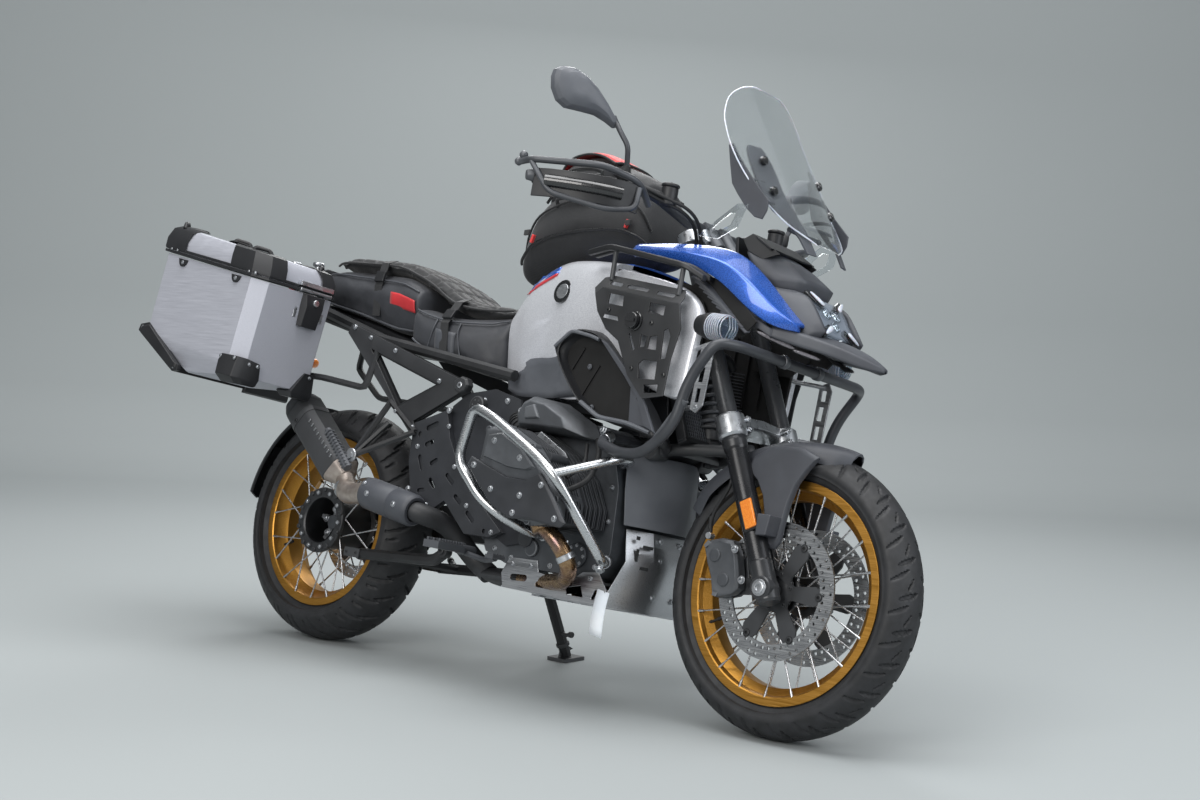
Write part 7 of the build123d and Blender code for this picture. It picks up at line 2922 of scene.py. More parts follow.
# --- pierced sheets, racks, hands and mirrors ---------------------------------------------------
def add_pierced(bm: Mesh, outline: Sequence[Pair], holes: Sequence[Sequence[Pair]],
                y_low: float, y_high: float) -> list[bmesh.types.BMVert]:
    """Add a flat sheet with holes, lying across the machine between two planes.

    Args:
        bm: mesh to add to.
        outline: edge of the sheet as (x, z) points.
        holes: edges of its holes.
        y_low: one face of the sheet.
        y_high: the other face.

    Returns:
        All new vertices.
    """
    made: list[bmesh.types.BMVert] = []
    walls = []
    for y in (y_low, y_high):
        edges, loops = [], []
        for points in (outline, *holes):
            ring = [bm.verts.new((x, y, z)) for x, z in points]
            edges += [bm.edges.new((a, b)) for a, b in zip(ring, ring[1:] + ring[:1])]
            loops.append(ring)
            made += ring
        bmesh.ops.triangle_fill(bm, edges=edges, use_beauty=True)
        walls.append(loops)
    for near, far in zip(*walls):
        for i, corner in enumerate(near):
            bm.faces.new((near[i - 1], corner, far[i], far[i - 1]))
    return made


def slot_edge(x: float, z: float, length: float, width: float, degrees: float = 0.0) -> list[Pair]:
    """A round-ended slot.

    Args:
        x: x of the middle.
        z: height of the middle.
        length: whole length.
        width: whole width.
        degrees: how far the slot is turned.

    Returns:
        The outline's points.
    """
    turn = math.radians(degrees)
    half, r = (length - width) / 2, width / 2
    spots = [on_circle(half if n < 7 else -half, 0, r, (n - (n > 6)) / 12 - 0.25)
             for n in range(14)]
    return [(x + u * math.cos(turn) - v * math.sin(turn),
             z + u * math.sin(turn) + v * math.cos(turn)) for u, v in spots]


def build_side_racks(shop: Workshop) -> None:
    """Pierced black plates at the tank shoulders with a round lock knob and slotted top rails.

    Args:
        shop: places and finishes the pieces.
    """
    outline = [(1008, 940), (1030, 957), (1268, 925), (1284, 868), (1270, 800), (1266, 712),
               (1206, 702), (1150, 754), (1104, 832), (1060, 858), (1024, 900)]
    holes = [
        [(1052, 920), (1054, 944), (1098, 939), (1100, 914)],
        [(1180, 902), (1181, 926), (1228, 920), (1227, 897)],
        [(1044, 886), (1046, 894), (1090, 889), (1094, 879)],
        disc_edge(1146, 878, 16, 24), slot_edge(1146, 832, 44, 7, -62),
        [(1172, 820), (1170, 850), (1190, 846), (1186, 822)],
        [(1196, 818), (1198, 846), (1220, 850), (1222, 816)],
        [(1240, 796), (1236, 862), (1248, 868), (1258, 850), (1254, 798)],
        [(1184, 748), (1178, 782), (1190, 792), (1232, 790), (1234, 748)],
        [(1208, 716), (1204, 734), (1246, 738), (1246, 718)],
        disc_edge(1060, 904, 3.5, 10), disc_edge(1196, 878, 3.5, 10),
    ]
    bm = bmesh.new()
    add_pierced(bm, outline, holes, -250, -246)
    strip = [(1008, 940), (1030, 957), (1268, 925), (1272, 940), (1262, 962), (1044, 990),
             (1018, 984), (1004, 956)]
    leaning = add_pierced(bm, strip, [slot_edge(1062, 968, 38, 9, -7),
                                      slot_edge(1130, 960, 66, 9, -7),
                                      slot_edge(1216, 948, 56, 9, -7)], -250, -246)
    for vert in leaning:
        vert.co.y += max(0.0, (vert.co.z - (957 - (vert.co.x - 1030) * 0.134))) * 0.55
    for x0, z0, x1, z1 in ((1040, 988, 1040, 1048), (1250, 958, 1252, 1012)):
        add_tube(bm, [(x0, -236, z0 - 10), (x1, -238, z1)], 6, sides=12)
    add_tube(bm, [(1180, -206, 900), (1180, -246, 900)], 8, sides=16)
    mirrored(bm)
    shop.fit("side_rack_plates", bm, Stock.BLACK_STEEL, instead=["side_racks"], round_mm=0.9)
    bm = bmesh.new()
    for step, drop in ((0, 0), (26, 3)):
        run = [Vector((952, -232 + step, 1044)), Vector((1030, -246 + step, 1056 + drop * 0.5)),
               Vector((1262, -242 + step, 1016 + drop)), Vector((1300, -216 + step, 994 + drop))]
        path = smooth_path(run, 18)
        loft(bm, [[p + Vector((0, u, v)) for u, v in
                   ((-8, -4), (-8, 4), (-5, 7), (5, 7), (8, 4), (8, -4), (5, -7), (-5, -7))]
                  for p in path])
    for share in (0.02, 0.3, 0.62, 0.96):
        spot = Vector((1030, -246, 1057)).lerp(Vector((1262, -242, 1018)), share)
        add_block(bm, spot + Vector((0, 13, -1)), (18, 34, 6))
    mirrored(bm)
    shop.fit("side_rack_rails", bm, Stock.BLACK_PLASTIC, round_mm=1.2)
    bm = bmesh.new()
    for a, b, r in ((-250, -256, 23), (-256, -268, 19)):
        add_rod(bm, (1146, a, 880), (1146, b, 880), r, 36, edge=1.6)
    add_block(bm, (1146, -269, 880), (26, 4, 7))
    for x, z in ((1060, 904), (1196, 878), (1160, 770), (1258, 760)):
        add_bolt(bm, (x, -250, z), (0, -1, 0), 4.6, 3)
    mirrored(bm)
    shop.fit("side_rack_locks", bm, Stock.GLOSS_BLACK, smooth=40)


GRIP_A = (1041.0, 340.0, 1187.0)
GRIP_B = (953.0, 470.0, 1167.0)


def on_side(point: Point, side: int) -> Vector:
    """A left-side point, or its mirror image on the right where side is -1."""
    return Vector((point[0], side * point[1], point[2]))


def build_handlebar(shop: Workshop) -> None:
    """Tapered bar, ribbed grips, switch blocks, levers, reservoirs and hoses.

    Args:
        shop: places and finishes the pieces.
    """
    bar = bmesh.new()
    path = smooth_path([(1124, 92, 1152), (1096, 214, 1192), GRIP_A, GRIP_B], 30, 6)
    whole = [Vector((p.x, -p.y, p.z)) for p in reversed(path)] + path
    sizes = [11 + 4.5 * max(0.0, 1 - abs(p.y) / 190) for p in whole]
    add_tube(bar, whole, sizes, sides=20)
    for side in SIDES:
        grip_b = on_side(GRIP_B, side)
        way = (grip_b - on_side(GRIP_A, side)).normalized()
        add_rod(bar, grip_b - way * 2, grip_b + way * 16, 15, 24, 12, edge=1.5)
    for side in SIDES:
        add_rod(bar, (1178, side * 30, 1104), (1138, side * 30, 1150), 17, 24, 15, edge=2)
        add_prism(bar, [(1118, 1140), (1112, 1158), (1132, 1170), (1146, 1156), (1140, 1138)],
                  side * 16, side * 46)
    shop.fit("bar_tube", bar, Stock.DARK_TUBE, "steering", ["handlebar"], smooth=45)
    grip, block, metal, hose = bmesh.new(), bmesh.new(), bmesh.new(), bmesh.new()
    for side in SIDES:
        a, b = on_side(GRIP_A, side), on_side(GRIP_B, side)
        way, length = (b - a).normalized(), (b - a).length
        stops = [(0, 12.5), (0, 19), (5, 20)]
        for n in range(16):
            h = 12 + (length - 26) * n / 16
            stops += [(h, 17.2), (h + 1.2, 16.0), (h + 3.6, 16.0), (h + 4.8, 17.2)]
        stops += [(length - 7, 17.2), (length - 5, 19), (length, 18.4), (length, 12.5)]
        around = square_to(way, UP)
        loft(grip, [ring_round(a + way * h, way, around, r, 24) for h, r in stops])
        ahead = around.cross(way) * -side
        ahead = ahead if ahead.x > 0 else -ahead
        turn = axes(way, ahead, around)
        middle = a - way * 20
        add_block(block, middle + around * 2, (34, 44, 46), turn)
        add_block(block, middle + ahead * 20 - around * 2, (26, 26, 22), turn)
        add_rod(block, middle - around * 30, middle - around * 14, 13, 20, edge=2)
        for lift in (12, 0, -12):
            add_rod(metal, middle - ahead * 21 + around * lift, middle - ahead * 26 + around * lift,
                    5, 14, edge=1)
        knuckle = middle + Vector((34, side * 6, -4))
        lever = [knuckle, knuckle + way * 18 + Vector((9, 0, -2)),
                 knuckle + way * 50 + Vector((12, 0, -2)), knuckle + way * 96 + Vector((6, 0, -2)),
                 knuckle + way * 140]
        add_tube(metal, lever, 6.2, 16, 14)
        add_rod(metal, lever[-1] - way * 3, lever[-1] + way * 7, 8, 16, edge=2.5)
        cup = Vector((1150, side * 214, 1190))
        add_rod(block, cup - UP * 26, cup + UP * 17, 20, 28, edge=2)
        add_rod(block, cup + UP * 17, cup + UP * 26, 22, 28, edge=2.5)
        for n in range(4):
            ahead_by, left_by = on_circle(0, 0, 14, (n + 0.5) / 4)
            add_bolt(metal, cup + Vector((ahead_by, left_by, 25)), UP, 2.6, 2.4)
        add_tube(block, [cup - UP * 10, knuckle - way * 40, knuckle - way * 8], 10, 20,
                 14)
        for lift, bow in ((0, 0), (9, 12)):
            add_tube(hose, [knuckle - way * 30 + UP * lift,
                            Vector((1196 + bow, side * 168, 1150 + lift)),
                            Vector((1172 + bow, side * 100, 1080)), Fork.point(6, side * 76, 850)],
                     4.2, 60, 12, 8)
    shop.fit("bar_grips", grip, Stock.GRIP, "steering", smooth=25)
    shop.fit("bar_switches", block, Stock.BLACK_PLASTIC, "steering", round_mm=2.4)
    shop.fit("bar_levers", metal, Stock.DARK_TUBE, "steering", round_mm=0.6)
    shop.fit("bar_hoses", hose, Stock.GRIP, "steering", smooth=50)


def build_hand_guards(shop: Workshop) -> None:
    """Tube frames with ball ends round dark shields that carry a long clear lamp strip.

    Args:
        shop: places and finishes the pieces.
    """
    frame, shield, lamp, rim = bmesh.new(), bmesh.new(), bmesh.new(), bmesh.new()
    add_tube(frame, [(918, -482, 1197), (962, -490, 1200), (1110, -410, 1206), (1152, -324, 1190),
                     (1134, -262, 1152)], 8, 30, 16, 7)
    add_tube(frame, [(958, -488, 1196), (1010, -470, 1128), (1120, -392, 1108), (1156, -330, 1124),
                     (1152, -322, 1176)], 6.5, 22, 14, 6)
    for spot in ((912, -482, 1197), (924, -482, 1212)):
        loft(frame, [ring_round(Vector(spot) + Vector((h, 0, 0)), AHEAD,
                                UP, r, 16)
                     for h, r in ((-10, 3), (-7, 7.5), (0, 10.5), (7, 7.5), (10, 3))])
    line = [(966, -480), (1010, -468), (1064, -440), (1112, -404), (1140, -362), (1152, -318)]
    bow = [(-36, 0.80), (-24, 0.95), (0, 1.0), (20, 0.97), (30, 0.86)]
    rings = []
    out = Vector((0.62, -0.78, 0))
    for x, y in line:
        ring = [Vector((x, y, 1153 + h)) + out * (5 * k - 6) for h, k in bow]
        rings.append(ring + [p - out * 6 for p in reversed(ring)])
    loft(shield, rings)
    strip = [Vector((x, y, 1154 - 0.02 * (x - 1010))) + out * d
             for x, y, d in ((1006, -469, 3), (1064, -439, 4), (1112, -402, 4), (1134, -370, 3))]
    add_tube(lamp, smooth_path(strip, 40, 4), 9.5, sides=16)
    longer = (strip[0] - (strip[1] - strip[0]) * 0.12, *strip[1:-1],
              strip[-1] + (strip[-1] - strip[-2]) * 0.2)
    add_tube(rim, smooth_path([p - out * 3.5 for p in longer], 40, 4), 15.0, sides=18)
    for bm in (frame, shield, lamp, rim):
        mirrored(bm)
    shop.fit("hand_guard_frames", frame, Stock.DARK_TUBE, "steering", ["hand_guards"], smooth=50)
    shop.fit("hand_guard_shields", shield, Stock.BLACK_PLASTIC, "steering", round_mm=1.5)
    shop.fit("hand_guard_lamps", lamp, Stock.LED_AND_PAINTED_HIGHLIGHT, "steering", smooth=50)
    shop.fit("hand_guard_bezels", rim, Stock.GLOSS_BLACK, "steering", smooth=50)


def build_mirrors(shop: Workshop) -> None:
    """Teardrop mirrors with a creased back, set on bent stalks with rubber boots.

    Args:
        shop: places and finishes the pieces.
    """
    edge = [(80, 8), (77, 25), (62, 36), (35, 40), (2, 30), (-36, 8), (-74, -24), (-104, -54),
            (-106, -63), (-98, -67), (-76, -58), (-45, -50), (-10, -51), (34, -54), (58, -43),
            (75, -18)]
    centre = Vector((1030, -440, 1384))
    out = Vector((-0.351, -0.936, 0))
    ahead = Vector((0.936, -0.351, 0))

    def ring(depth: float, share: float) -> list[Vector]:
        """One outline of the head, drawn in towards its crease."""
        return [centre + out * (8 + (u - 8) * share) + UP * (v * share - 4)
                + ahead * (depth * (1 - 0.25 * abs(u) / 106)) for u, v in edge]

    bm = bmesh.new()
    loft(bm, [ring(-13, 0.95), ring(-14, 0.99), ring(-8, 1.0), ring(8, 0.98), ring(20, 0.88),
              ring(30, 0.66), ring(36, 0.36)])
    mirrored(bm)
    shop.fit("mirror_heads", bm, Stock.MID_PLASTIC, "steering", ["mirrors"], round_mm=2.5,
             smooth=24)
    bm = bmesh.new()
    loft(bm, [ring(-15.5, 0.90), ring(-14, 0.92)])
    mirrored(bm)
    shop.fit("mirror_glass", bm, Stock.MIRROR, "steering", smooth=20)
    bm = bmesh.new()
    run = [(1080, -312, 1186), (1100, -320, 1224), (1108, -338, 1272), (1090, -350, 1300),
           (1070, -352, 1326), (1064, -356, 1338)]
    add_tube(bm, run, 6.2, 14, 16, 5)
    mirrored(bm)
    shop.fit("mirror_stalks", bm, Stock.DARK_TUBE, "steering", smooth=50)
    bm = bmesh.new()
    base, top = Vector((1078, -311, 1182)), Vector((1103, -322, 1232))
    way = (top - base).normalized()
    side = square_to(way, LEFT)
    loft(bm, [ring_round(base + way * h, way, side, r, 24) for h, r in
              ((0, 12), (0, 14), (8, 17), (16, 17), (20, 15.5), (24, 18), (36, 17), (44, 13),
               (52, 9), (56, 7))])
    mirrored(bm)
    shop.fit("mirror_boots", bm, Stock.GRIP, "steering", smooth=40)


# --- frame plates, skid plate, tail, cases and stands -------------------------------------------
def build_frame_plates(shop: Workshop) -> None:
    """Slotted dark gearbox plates, cast seat frame with its bolts, peg brackets and pivot caps.

    Args:
        shop: places and finishes the pieces.
    """
    outline = [(398, 600), (512, 642), (540, 572), (604, 480), (775, 356), (735, 338), (650, 338),
               (560, 412), (505, 374), (440, 400), (405, 500)]
    holes = [slot_edge(470, 596, 46, 14, 24), slot_edge(470, 552, 34, 12, 24),
             slot_edge(452, 500, 44, 13, -60), slot_edge(498, 506, 30, 12, 30),
             slot_edge(506, 452, 34, 13, -40), slot_edge(470, 430, 26, 11, 10),
             slot_edge(566, 468, 40, 12, -36), slot_edge(606, 420, 34, 12, -36),
             slot_edge(660, 382, 40, 12, -36), disc_edge(430, 572, 7), disc_edge(716, 352, 6)]
    bm = bmesh.new()
    add_pierced(bm, shrunk(outline, 0.99), holes, -176, -171)
    mirrored(bm)
    shop.fit("gearbox_plates", bm, Stock.FRAME, round_mm=0.9)
    bm = bmesh.new()
    add_side_bolts(bm, ((430, 540), (530, 600), (576, 500), (642, 408), (742, 352), (500, 396)),
                   176, 5, 4.5)
    add_side_bolts(bm, ((424, 430), (520, 640)), 176, 6, 4.5)
    add_side_bolts(bm, ((620, 676), (700, 680), (600, 500), (700, 420), (840, 352)), 158, 6, 5)
    shop.fit("frame_bolts", bm, Stock.SILVER, smooth=35)
    bm = bmesh.new()
    add_rod(bm, (610, -176, 660), (610, -150, 660), 24, 32, edge=2)
    for x, z in disc_edge(610, 660, 13, 6):
        add_rod(bm, (x, -177, z), (x, -174, z), 3.2, 12)
    eye = [(520, 716), (528, 694), (548, 684), (566, 692), (574, 708), (566, 724), (546, 730)]
    add_stack(bm, eye, ((-160, 1.0), (-178, 1.0), (-184, 0.8)))
    casting = [(92, 850), (540, 722), (563, 703), (545, 684), (400, 602), (418, 574), (398, 566),
               (80, 824)]
    window = shrunk([(208, 772), (449, 703), (331, 645)], 1.16)
    add_pierced(bm, shrunk(casting, 0.985), [window], -180, -172)
    mirrored(bm)
    shop.fit("seat_frame_castings", bm, Stock.BLACK_STEEL, round_mm=2.2)
    bm = bmesh.new()
    for side in SIDES:
        for x, z, r in ((548, 706, 8), (112, 838, 6), (402, 586, 6), (330, 624, 5), (470, 712, 5),
                        (182, 812, 5), (286, 782, 5)):
            add_bolt(bm, (x, side * 181, z), (0, side, 0), r, 5)
        add_rod(bm, (268, side * 246, 490), (268, side * 252, 490), 19, 32, edge=1.5)
        add_rod(bm, (268, side * 252, 490), (268, side * 255, 490), 9, 6)
    shop.fit("seat_frame_bolts", bm, Stock.SILVER, smooth=35)


def build_skid_plate(shop: Workshop) -> None:
    """Faceted aluminium plate with cut-outs, folded lips, screws and a small paper tag.

    Args:
        shop: places and finishes the pieces.
    """
    wall = [(790, 229), (779, 261), (798, 301), (890, 304), (900, 276), (1002, 268), (1039, 294),
            (1087, 300), (1120, 262), (1112, 224), (1100, 222)]
    holes = [slot_edge(838, 256, 56, 16, 3), slot_edge(926, 248, 60, 14, 0),
             [(1000, 236), (994, 252), (1040, 262), (1052, 236)],
             disc_edge(812, 286, 6, 14), disc_edge(872, 288, 6, 14), disc_edge(1066, 282, 7, 14),
             slot_edge(1086, 246, 26, 9, 70)]
    bm = bmesh.new()
    add_pierced(bm, wall, holes, -154, -150)
    mirrored(bm)
    loft(bm, [[(x, -y, z), (x, y, z), (x, y, z + 4), (x, -y, z + 4)]
              for x, y, z in ((786, 154, 227), (1100, 154, 220), (1157, 60, 222))])
    for n in range(5):
        add_prism(bm, [(850 + 46 * n, 219), (850 + 46 * n, 224), (876 + 46 * n, 224),
                       (876 + 46 * n, 219)], -110, 110)
    add_wrapped(bm, [(224, ((1104, 152), (1157, 60))), (262, ((1122, 148), (1163, 62))),
                     (335, ((1139, 125), (1172, 60))), (380, ((1122, 116), (1162, 60))),
                     (412, ((1112, 110), (1154, 60)))], 4, 0.98)
    shop.fit("skid_sheet", bm, Stock.SHEET, instead=["skid_plate"], round_mm=0.9)
    bm = bmesh.new()
    dark = bmesh.new()
    for side in SIDES:
        for x, y, z in ((1160, 36, 396), (1166, 36, 350), (1164, 36, 262)):
            add_bolt(bm, (x, side * y, z), (1, 0, 0.05), 6, 4)
        for x, z in ((812, 286), (872, 288), (1066, 282)):
            add_bolt(bm, (x, side * 153, z), (0, side, 0), 5, 4)
        # Dark rubber patches on the front facet are painted shade: they stand for openings that look
        # dark because they lie in shade.
        facet = Vector((1155, side * 92, 350))
        out = Vector((0.87, side * 0.48, 0))
        across = Vector((-0.48 * side, 0.87, 0))
        for u, v, long, wide in ((-14, 26, 26, 7), (10, 4, 7, 30), (-12, -24, 22, 8),
                                 (14, 44, 9, 9)):
            spot = facet + across * u * side + UP * v - out * 1.5
            add_block(dark, spot, (3.5, long, wide), axes(out, across, UP))
    shop.fit("skid_bolts", bm, Stock.SILVER, smooth=35)
    shop.fit("skid_openings_painted_shade", dark, Stock.GRIP, round_mm=0.6)
    bm = bmesh.new()
    tag = [(1096, -156, 262), (1130, -152, 256), (1128, -150, 150), (1092, -154, 156)]
    rows = []
    for n in range(7):
        share = n / 6
        left = Vector(tag[0]).lerp(Vector(tag[3]), share)
        right = Vector(tag[1]).lerp(Vector(tag[2]), share)
        curl = 5 * math.sin(share * 3)
        rows.append([p + Vector((0, -curl, 0)) for p in (left, left.lerp(right, 0.5), right)])
    loft(bm, rows, open_ring=True)
    made = shop.fit("paper_tag", bm, Stock.PAPER, smooth=40)
    made.modifiers.new("sheet", "SOLIDIFY").thickness = 0.4 * MM
    front_cowl(shop)


def front_cowl(shop: Workshop) -> None:
    """Grey creased cover below the radiators, its side wings and the mesh behind the fork.

    Args:
        shop: places and finishes the pieces.
    """
    bm = bmesh.new()
    add_wrapped(bm, [(418, ((1120, 132), (1152, 100), (1164, 58), (1182, 20))),
                     (450, ((1116, 134), (1142, 104), (1160, 66), (1184, 20))),
                     (500, ((1108, 136), (1134, 106), (1158, 72), (1184, 20))),
                     (560, ((1100, 134), (1126, 104), (1150, 80), (1182, 22))),
                     (590, ((1098, 132), (1120, 102), (1140, 84), (1174, 24)))], 5, 0.97)
    shop.fit("lower_cowl", bm, Stock.MID_PLASTIC, instead=["front_cowl"], round_mm=2.0)
    bm = bmesh.new()
    for n in range(23):
        z = 640 + n * 8
        add_rod(bm, (1231 - n * 3.6, -96, z), (1231 - n * 3.6, 96, z), 1.5, 6)
    for n in range(25):
        y = -96 + 8 * n
        add_rod(bm, (1233, y, 640), (1153.8, y, 816), 1.5, 6)
    for side in SIDES:
        for n in range(26):
            z = 640 + 8 * n
            add_plate(bm, [(1120, side * 126, z), (1186, side * 206, z), (1186, side * 206, z + 2),
                           (1120, side * 126, z + 2)], 2)
    shop.fit("radiator_mesh", bm, Stock.DARK_TUBE, smooth=40)
    bm = bmesh.new()
    slope = Matrix.Rotation(math.radians(-24.2), 3, "Y")
    add_block(bm, (1177, 0, 728), (22, 204, 204), slope)
    for x, z in ((1232, 634), (1148, 822)):
        add_block(bm, (x - 6, 0, z), (26, 214, 12), slope)
    for y in (-104, 104):
        add_block(bm, (1186, y, 728), (26, 12, 206), slope)
    for side in SIDES:
        add_prism(bm, [(1104, 628), (1100, 850), (1146, 850), (1194, 628)], side * 112, side * 118)
        add_tube(bm, [(1136, side * 150, 846), (1134, side * 130, 868), (1130, side * 70, 872)],
                 13, 24, 16)
        add_tube(bm, [(1180, side * 150, 640), (1196, side * 124, 612), (1160, side * 70, 604)],
                 12, 24, 16)
    shop.fit("radiator_frame", bm, Stock.BLACK_PLASTIC, round_mm=2.0)


def build_rear(shop: Workshop) -> None:
    """Tail tray, lamp, plate carrier, hugger, luggage rack with its silver knobs.

    Args:
        shop: places and finishes the pieces.
    """
    bm = bmesh.new()
    rows = []
    for x, low, high, half in ((288, 796, 820, 96), (120, 806, 862, 100), (0, 836, 886, 100),
                               (-150, 868, 918, 98), (-300, 928, 954, 84), (-334, 944, 958, 60)):
        rows.append([(x, -half + 10, low), (x, -half, low + 8), (x, -half, high - 6),
                     (x, -half + 10, high), (x, half - 10, high), (x, half, high - 6),
                     (x, half, low + 8), (x, half - 10, low)])
    loft(bm, rows)
    shop.fit("tail_tray", bm, Stock.BLACK_PLASTIC, instead=["tail_unit"], round_mm=2.5)
    bm = bmesh.new()
    plate = []
    for x, z, half in ((-318, 934, 44), (-372, 838, 52), (-408, 752, 66), (-430, 700, 84),
                       (-438, 642, 84)):
        plate.append([(x, -half, z), (x, half, z), (x + 12, half - 4, z + 4),
                      (x + 12, -half + 4, z + 4)])
    loft(bm, plate)
    for n in range(4):
        add_tube(bm, [(-366 - 17 * n, -50, 838 - 42 * n), (-366 - 17 * n, 50, 838 - 42 * n)], 4,
                 sides=10)
    for side in SIDES:
        add_tube(bm, [(-398, side * 60, 770), (-404, side * 118, 776)], 6, sides=12)
    shop.fit("plate_carrier", bm, Stock.BLACK_PLASTIC, round_mm=1.2)
    bm = bmesh.new()
    loft(bm, [[(x, y * 56, z) for y in (-1, -0.5, 0, 0.5, 1)]
              + [(x2, y * 56, z2) for y in (1, 0.5, 0, -0.5, -1)]
              for x, z, x2, z2 in ((-346, 936, -330, 938), (-356, 944, -332, 946),
                                   (-352, 962, -330, 962), (-344, 968, -330, 966))])
    shop.fit("tail_lamp", bm, Stock.TAIL_RED, round_mm=2.0)
    bm = bmesh.new()
    for side in SIDES:
        loft(bm, [ring_round(Vector((-404 + u, side * (118 + w), 776)), Vector((0, side, 0)),
                             AHEAD, r, 20)
                  for u, w, r in ((0, 0, 8), (0, 4, 14), (0, 16, 15), (0, 24, 12), (0, 27, 6))])
    shop.fit("rear_signals", bm, Stock.AMBER, smooth=45)
    bm = bmesh.new()
    top_r = REAR_AXLE_Z + 18
    profile = [(-84, top_r - 26), (-80, top_r - 16), (-62, top_r - 2), (-40, top_r + 1),
               (0, top_r + 2), (40, top_r + 1), (74, top_r - 4), (96, top_r - 24),
               (93, top_r - 28), (70, top_r - 8), (0, top_r - 3), (-60, top_r - 6),
               (-80, top_r - 28)]
    rings = []
    steps = 24
    for n in range(steps + 1):
        angle = math.radians(112 + 62 * n / steps)
        wide = 0.7 if n in (0, steps) else 1.0
        rings.append([(r * math.cos(angle), y * wide, REAR_AXLE_Z + r * math.sin(angle))
                      for y, r in profile])
    loft(bm, rings)
    add_tube(bm, [(-10, 118, 402), (-180, 126, 470), (-276, 92, 480)], 9, 40, 16)
    add_plate(bm, [(-262, -64, 500), (-262, 64, 500), (-276, 64, 474), (-276, -64, 474)], 6)
    shop.fit("rear_hugger", bm, Stock.BLACK_PLASTIC, instead=["rear_guard"], smooth=38)
    luggage_rack(shop)


def luggage_rack(shop: Workshop) -> None:
    """Pierced black rack plate with rolled side tubes, grab rails and silver lock knobs.

    Args:
        shop: places and finishes the pieces.
    """
    bm = bmesh.new()
    outline = [(-145, -96), (-350, -84), (-376, -54), (-376, 54), (-350, 84), (-145, 96)]
    holes = [[(-190, -70), (-330, -60), (-330, -22), (-190, -22)],
             [(-190, 70), (-330, 60), (-330, 22), (-190, 22)],
             slot_edge(-262, 0, 110, 14)]
    holes += [disc_edge(x, y, 3.3, 12) for x in (-167, -355) for y in (-45, 45)]
    made = add_pierced(bm, outline, holes, 1001, 1011)
    for vert in made:
        vert.co.y, vert.co.z = vert.co.z, vert.co.y
    for side in SIDES:
        add_tube(bm, [(-140, side * 104, 1000), (-240, side * 104, 1006), (-350, side * 90, 1006),
                      (-379, side * 56, 1006), (-379, 0, 1006)], 8, 24, 16)
        add_tube(bm, [(-164, side * 90, 930), (-164, side * 92, 996)], 11, sides=18)
        add_tube(bm, [(-240, side * 80, 950), (-280, side * 80, 998)], 9, sides=18)
    shop.fit("rack_plate", bm, Stock.BLACK_STEEL, instead=["luggage_rack"], round_mm=1.2)
    bm = bmesh.new()
    for side in SIDES:
        for x in (-200, -300):
            spot = Vector((x, side * 88, 1010))
            loft(bm, [ring_round(spot + UP * h, UP, AHEAD,
                                 r, 24) for h, r in
                      ((0, 9), (8, 9), (9, 15), (12, 17), (18, 17), (20, 15), (20, 5))])
            add_rod(bm, spot + UP * 18, spot + UP * 21, 5, 6)
    shop.fit("rack_knobs", bm, Stock.SILVER, smooth=38)


def build_cases(shop: Workshop) -> None:
    """Welded aluminium side case with chamfered corners, black guards, latch and ribbed lid.

    Args:
        shop: places and finishes the pieces.
    """
    levels = [(960, -372, 892, 62, 488), (790, -391, 730, 40, 488), (742, -396, 668, 33, 488),
              (700, -330, 654, 31.5, 482), (640, -220, 640, 30, 466)]
    bm = bmesh.new()

    def ring(level: Sequence[float], inset: float) -> list[Point]:
        """One chamfered outline of the box at a height.

        Args:
            level: one level's heights and distances.
            inset: distance inside the outer face.

        Returns:
            The outline's points.
        """
        z_rear, x_rear, z_front, x_front, y_out = level
        y_out, y_in = y_out - inset, 232 + inset
        x0, x1 = x_rear + inset, x_front - inset
        slope = (z_front - z_rear) / (x_front - x_rear)
        plan = [(x0 + 26, -y_out), (x1 - 34, -y_out), (x1, -y_out + 34), (x1, -y_in - 8),
                (x1 - 8, -y_in), (x0 + 8, -y_in), (x0, -y_in - 8), (x0, -y_out + 26)]
        return [(x, y, z_rear + slope * (x - x_rear)) for x, y in plan]

    outer = [ring(level, 0) for level in levels]
    inner = [ring(level, 2.5) for level in reversed(levels)]
    loft(bm, outer + inner, caps=False, wrap=True)
    loft(bm, [outer[-1], [(x, y, z + 3) for x, y, z in outer[-1]]])
    shop.fit("case_box", bm, Stock.CASE, instead=["pannier_case"], round_mm=2.0)
    case_fittings(shop)
    lid(shop)


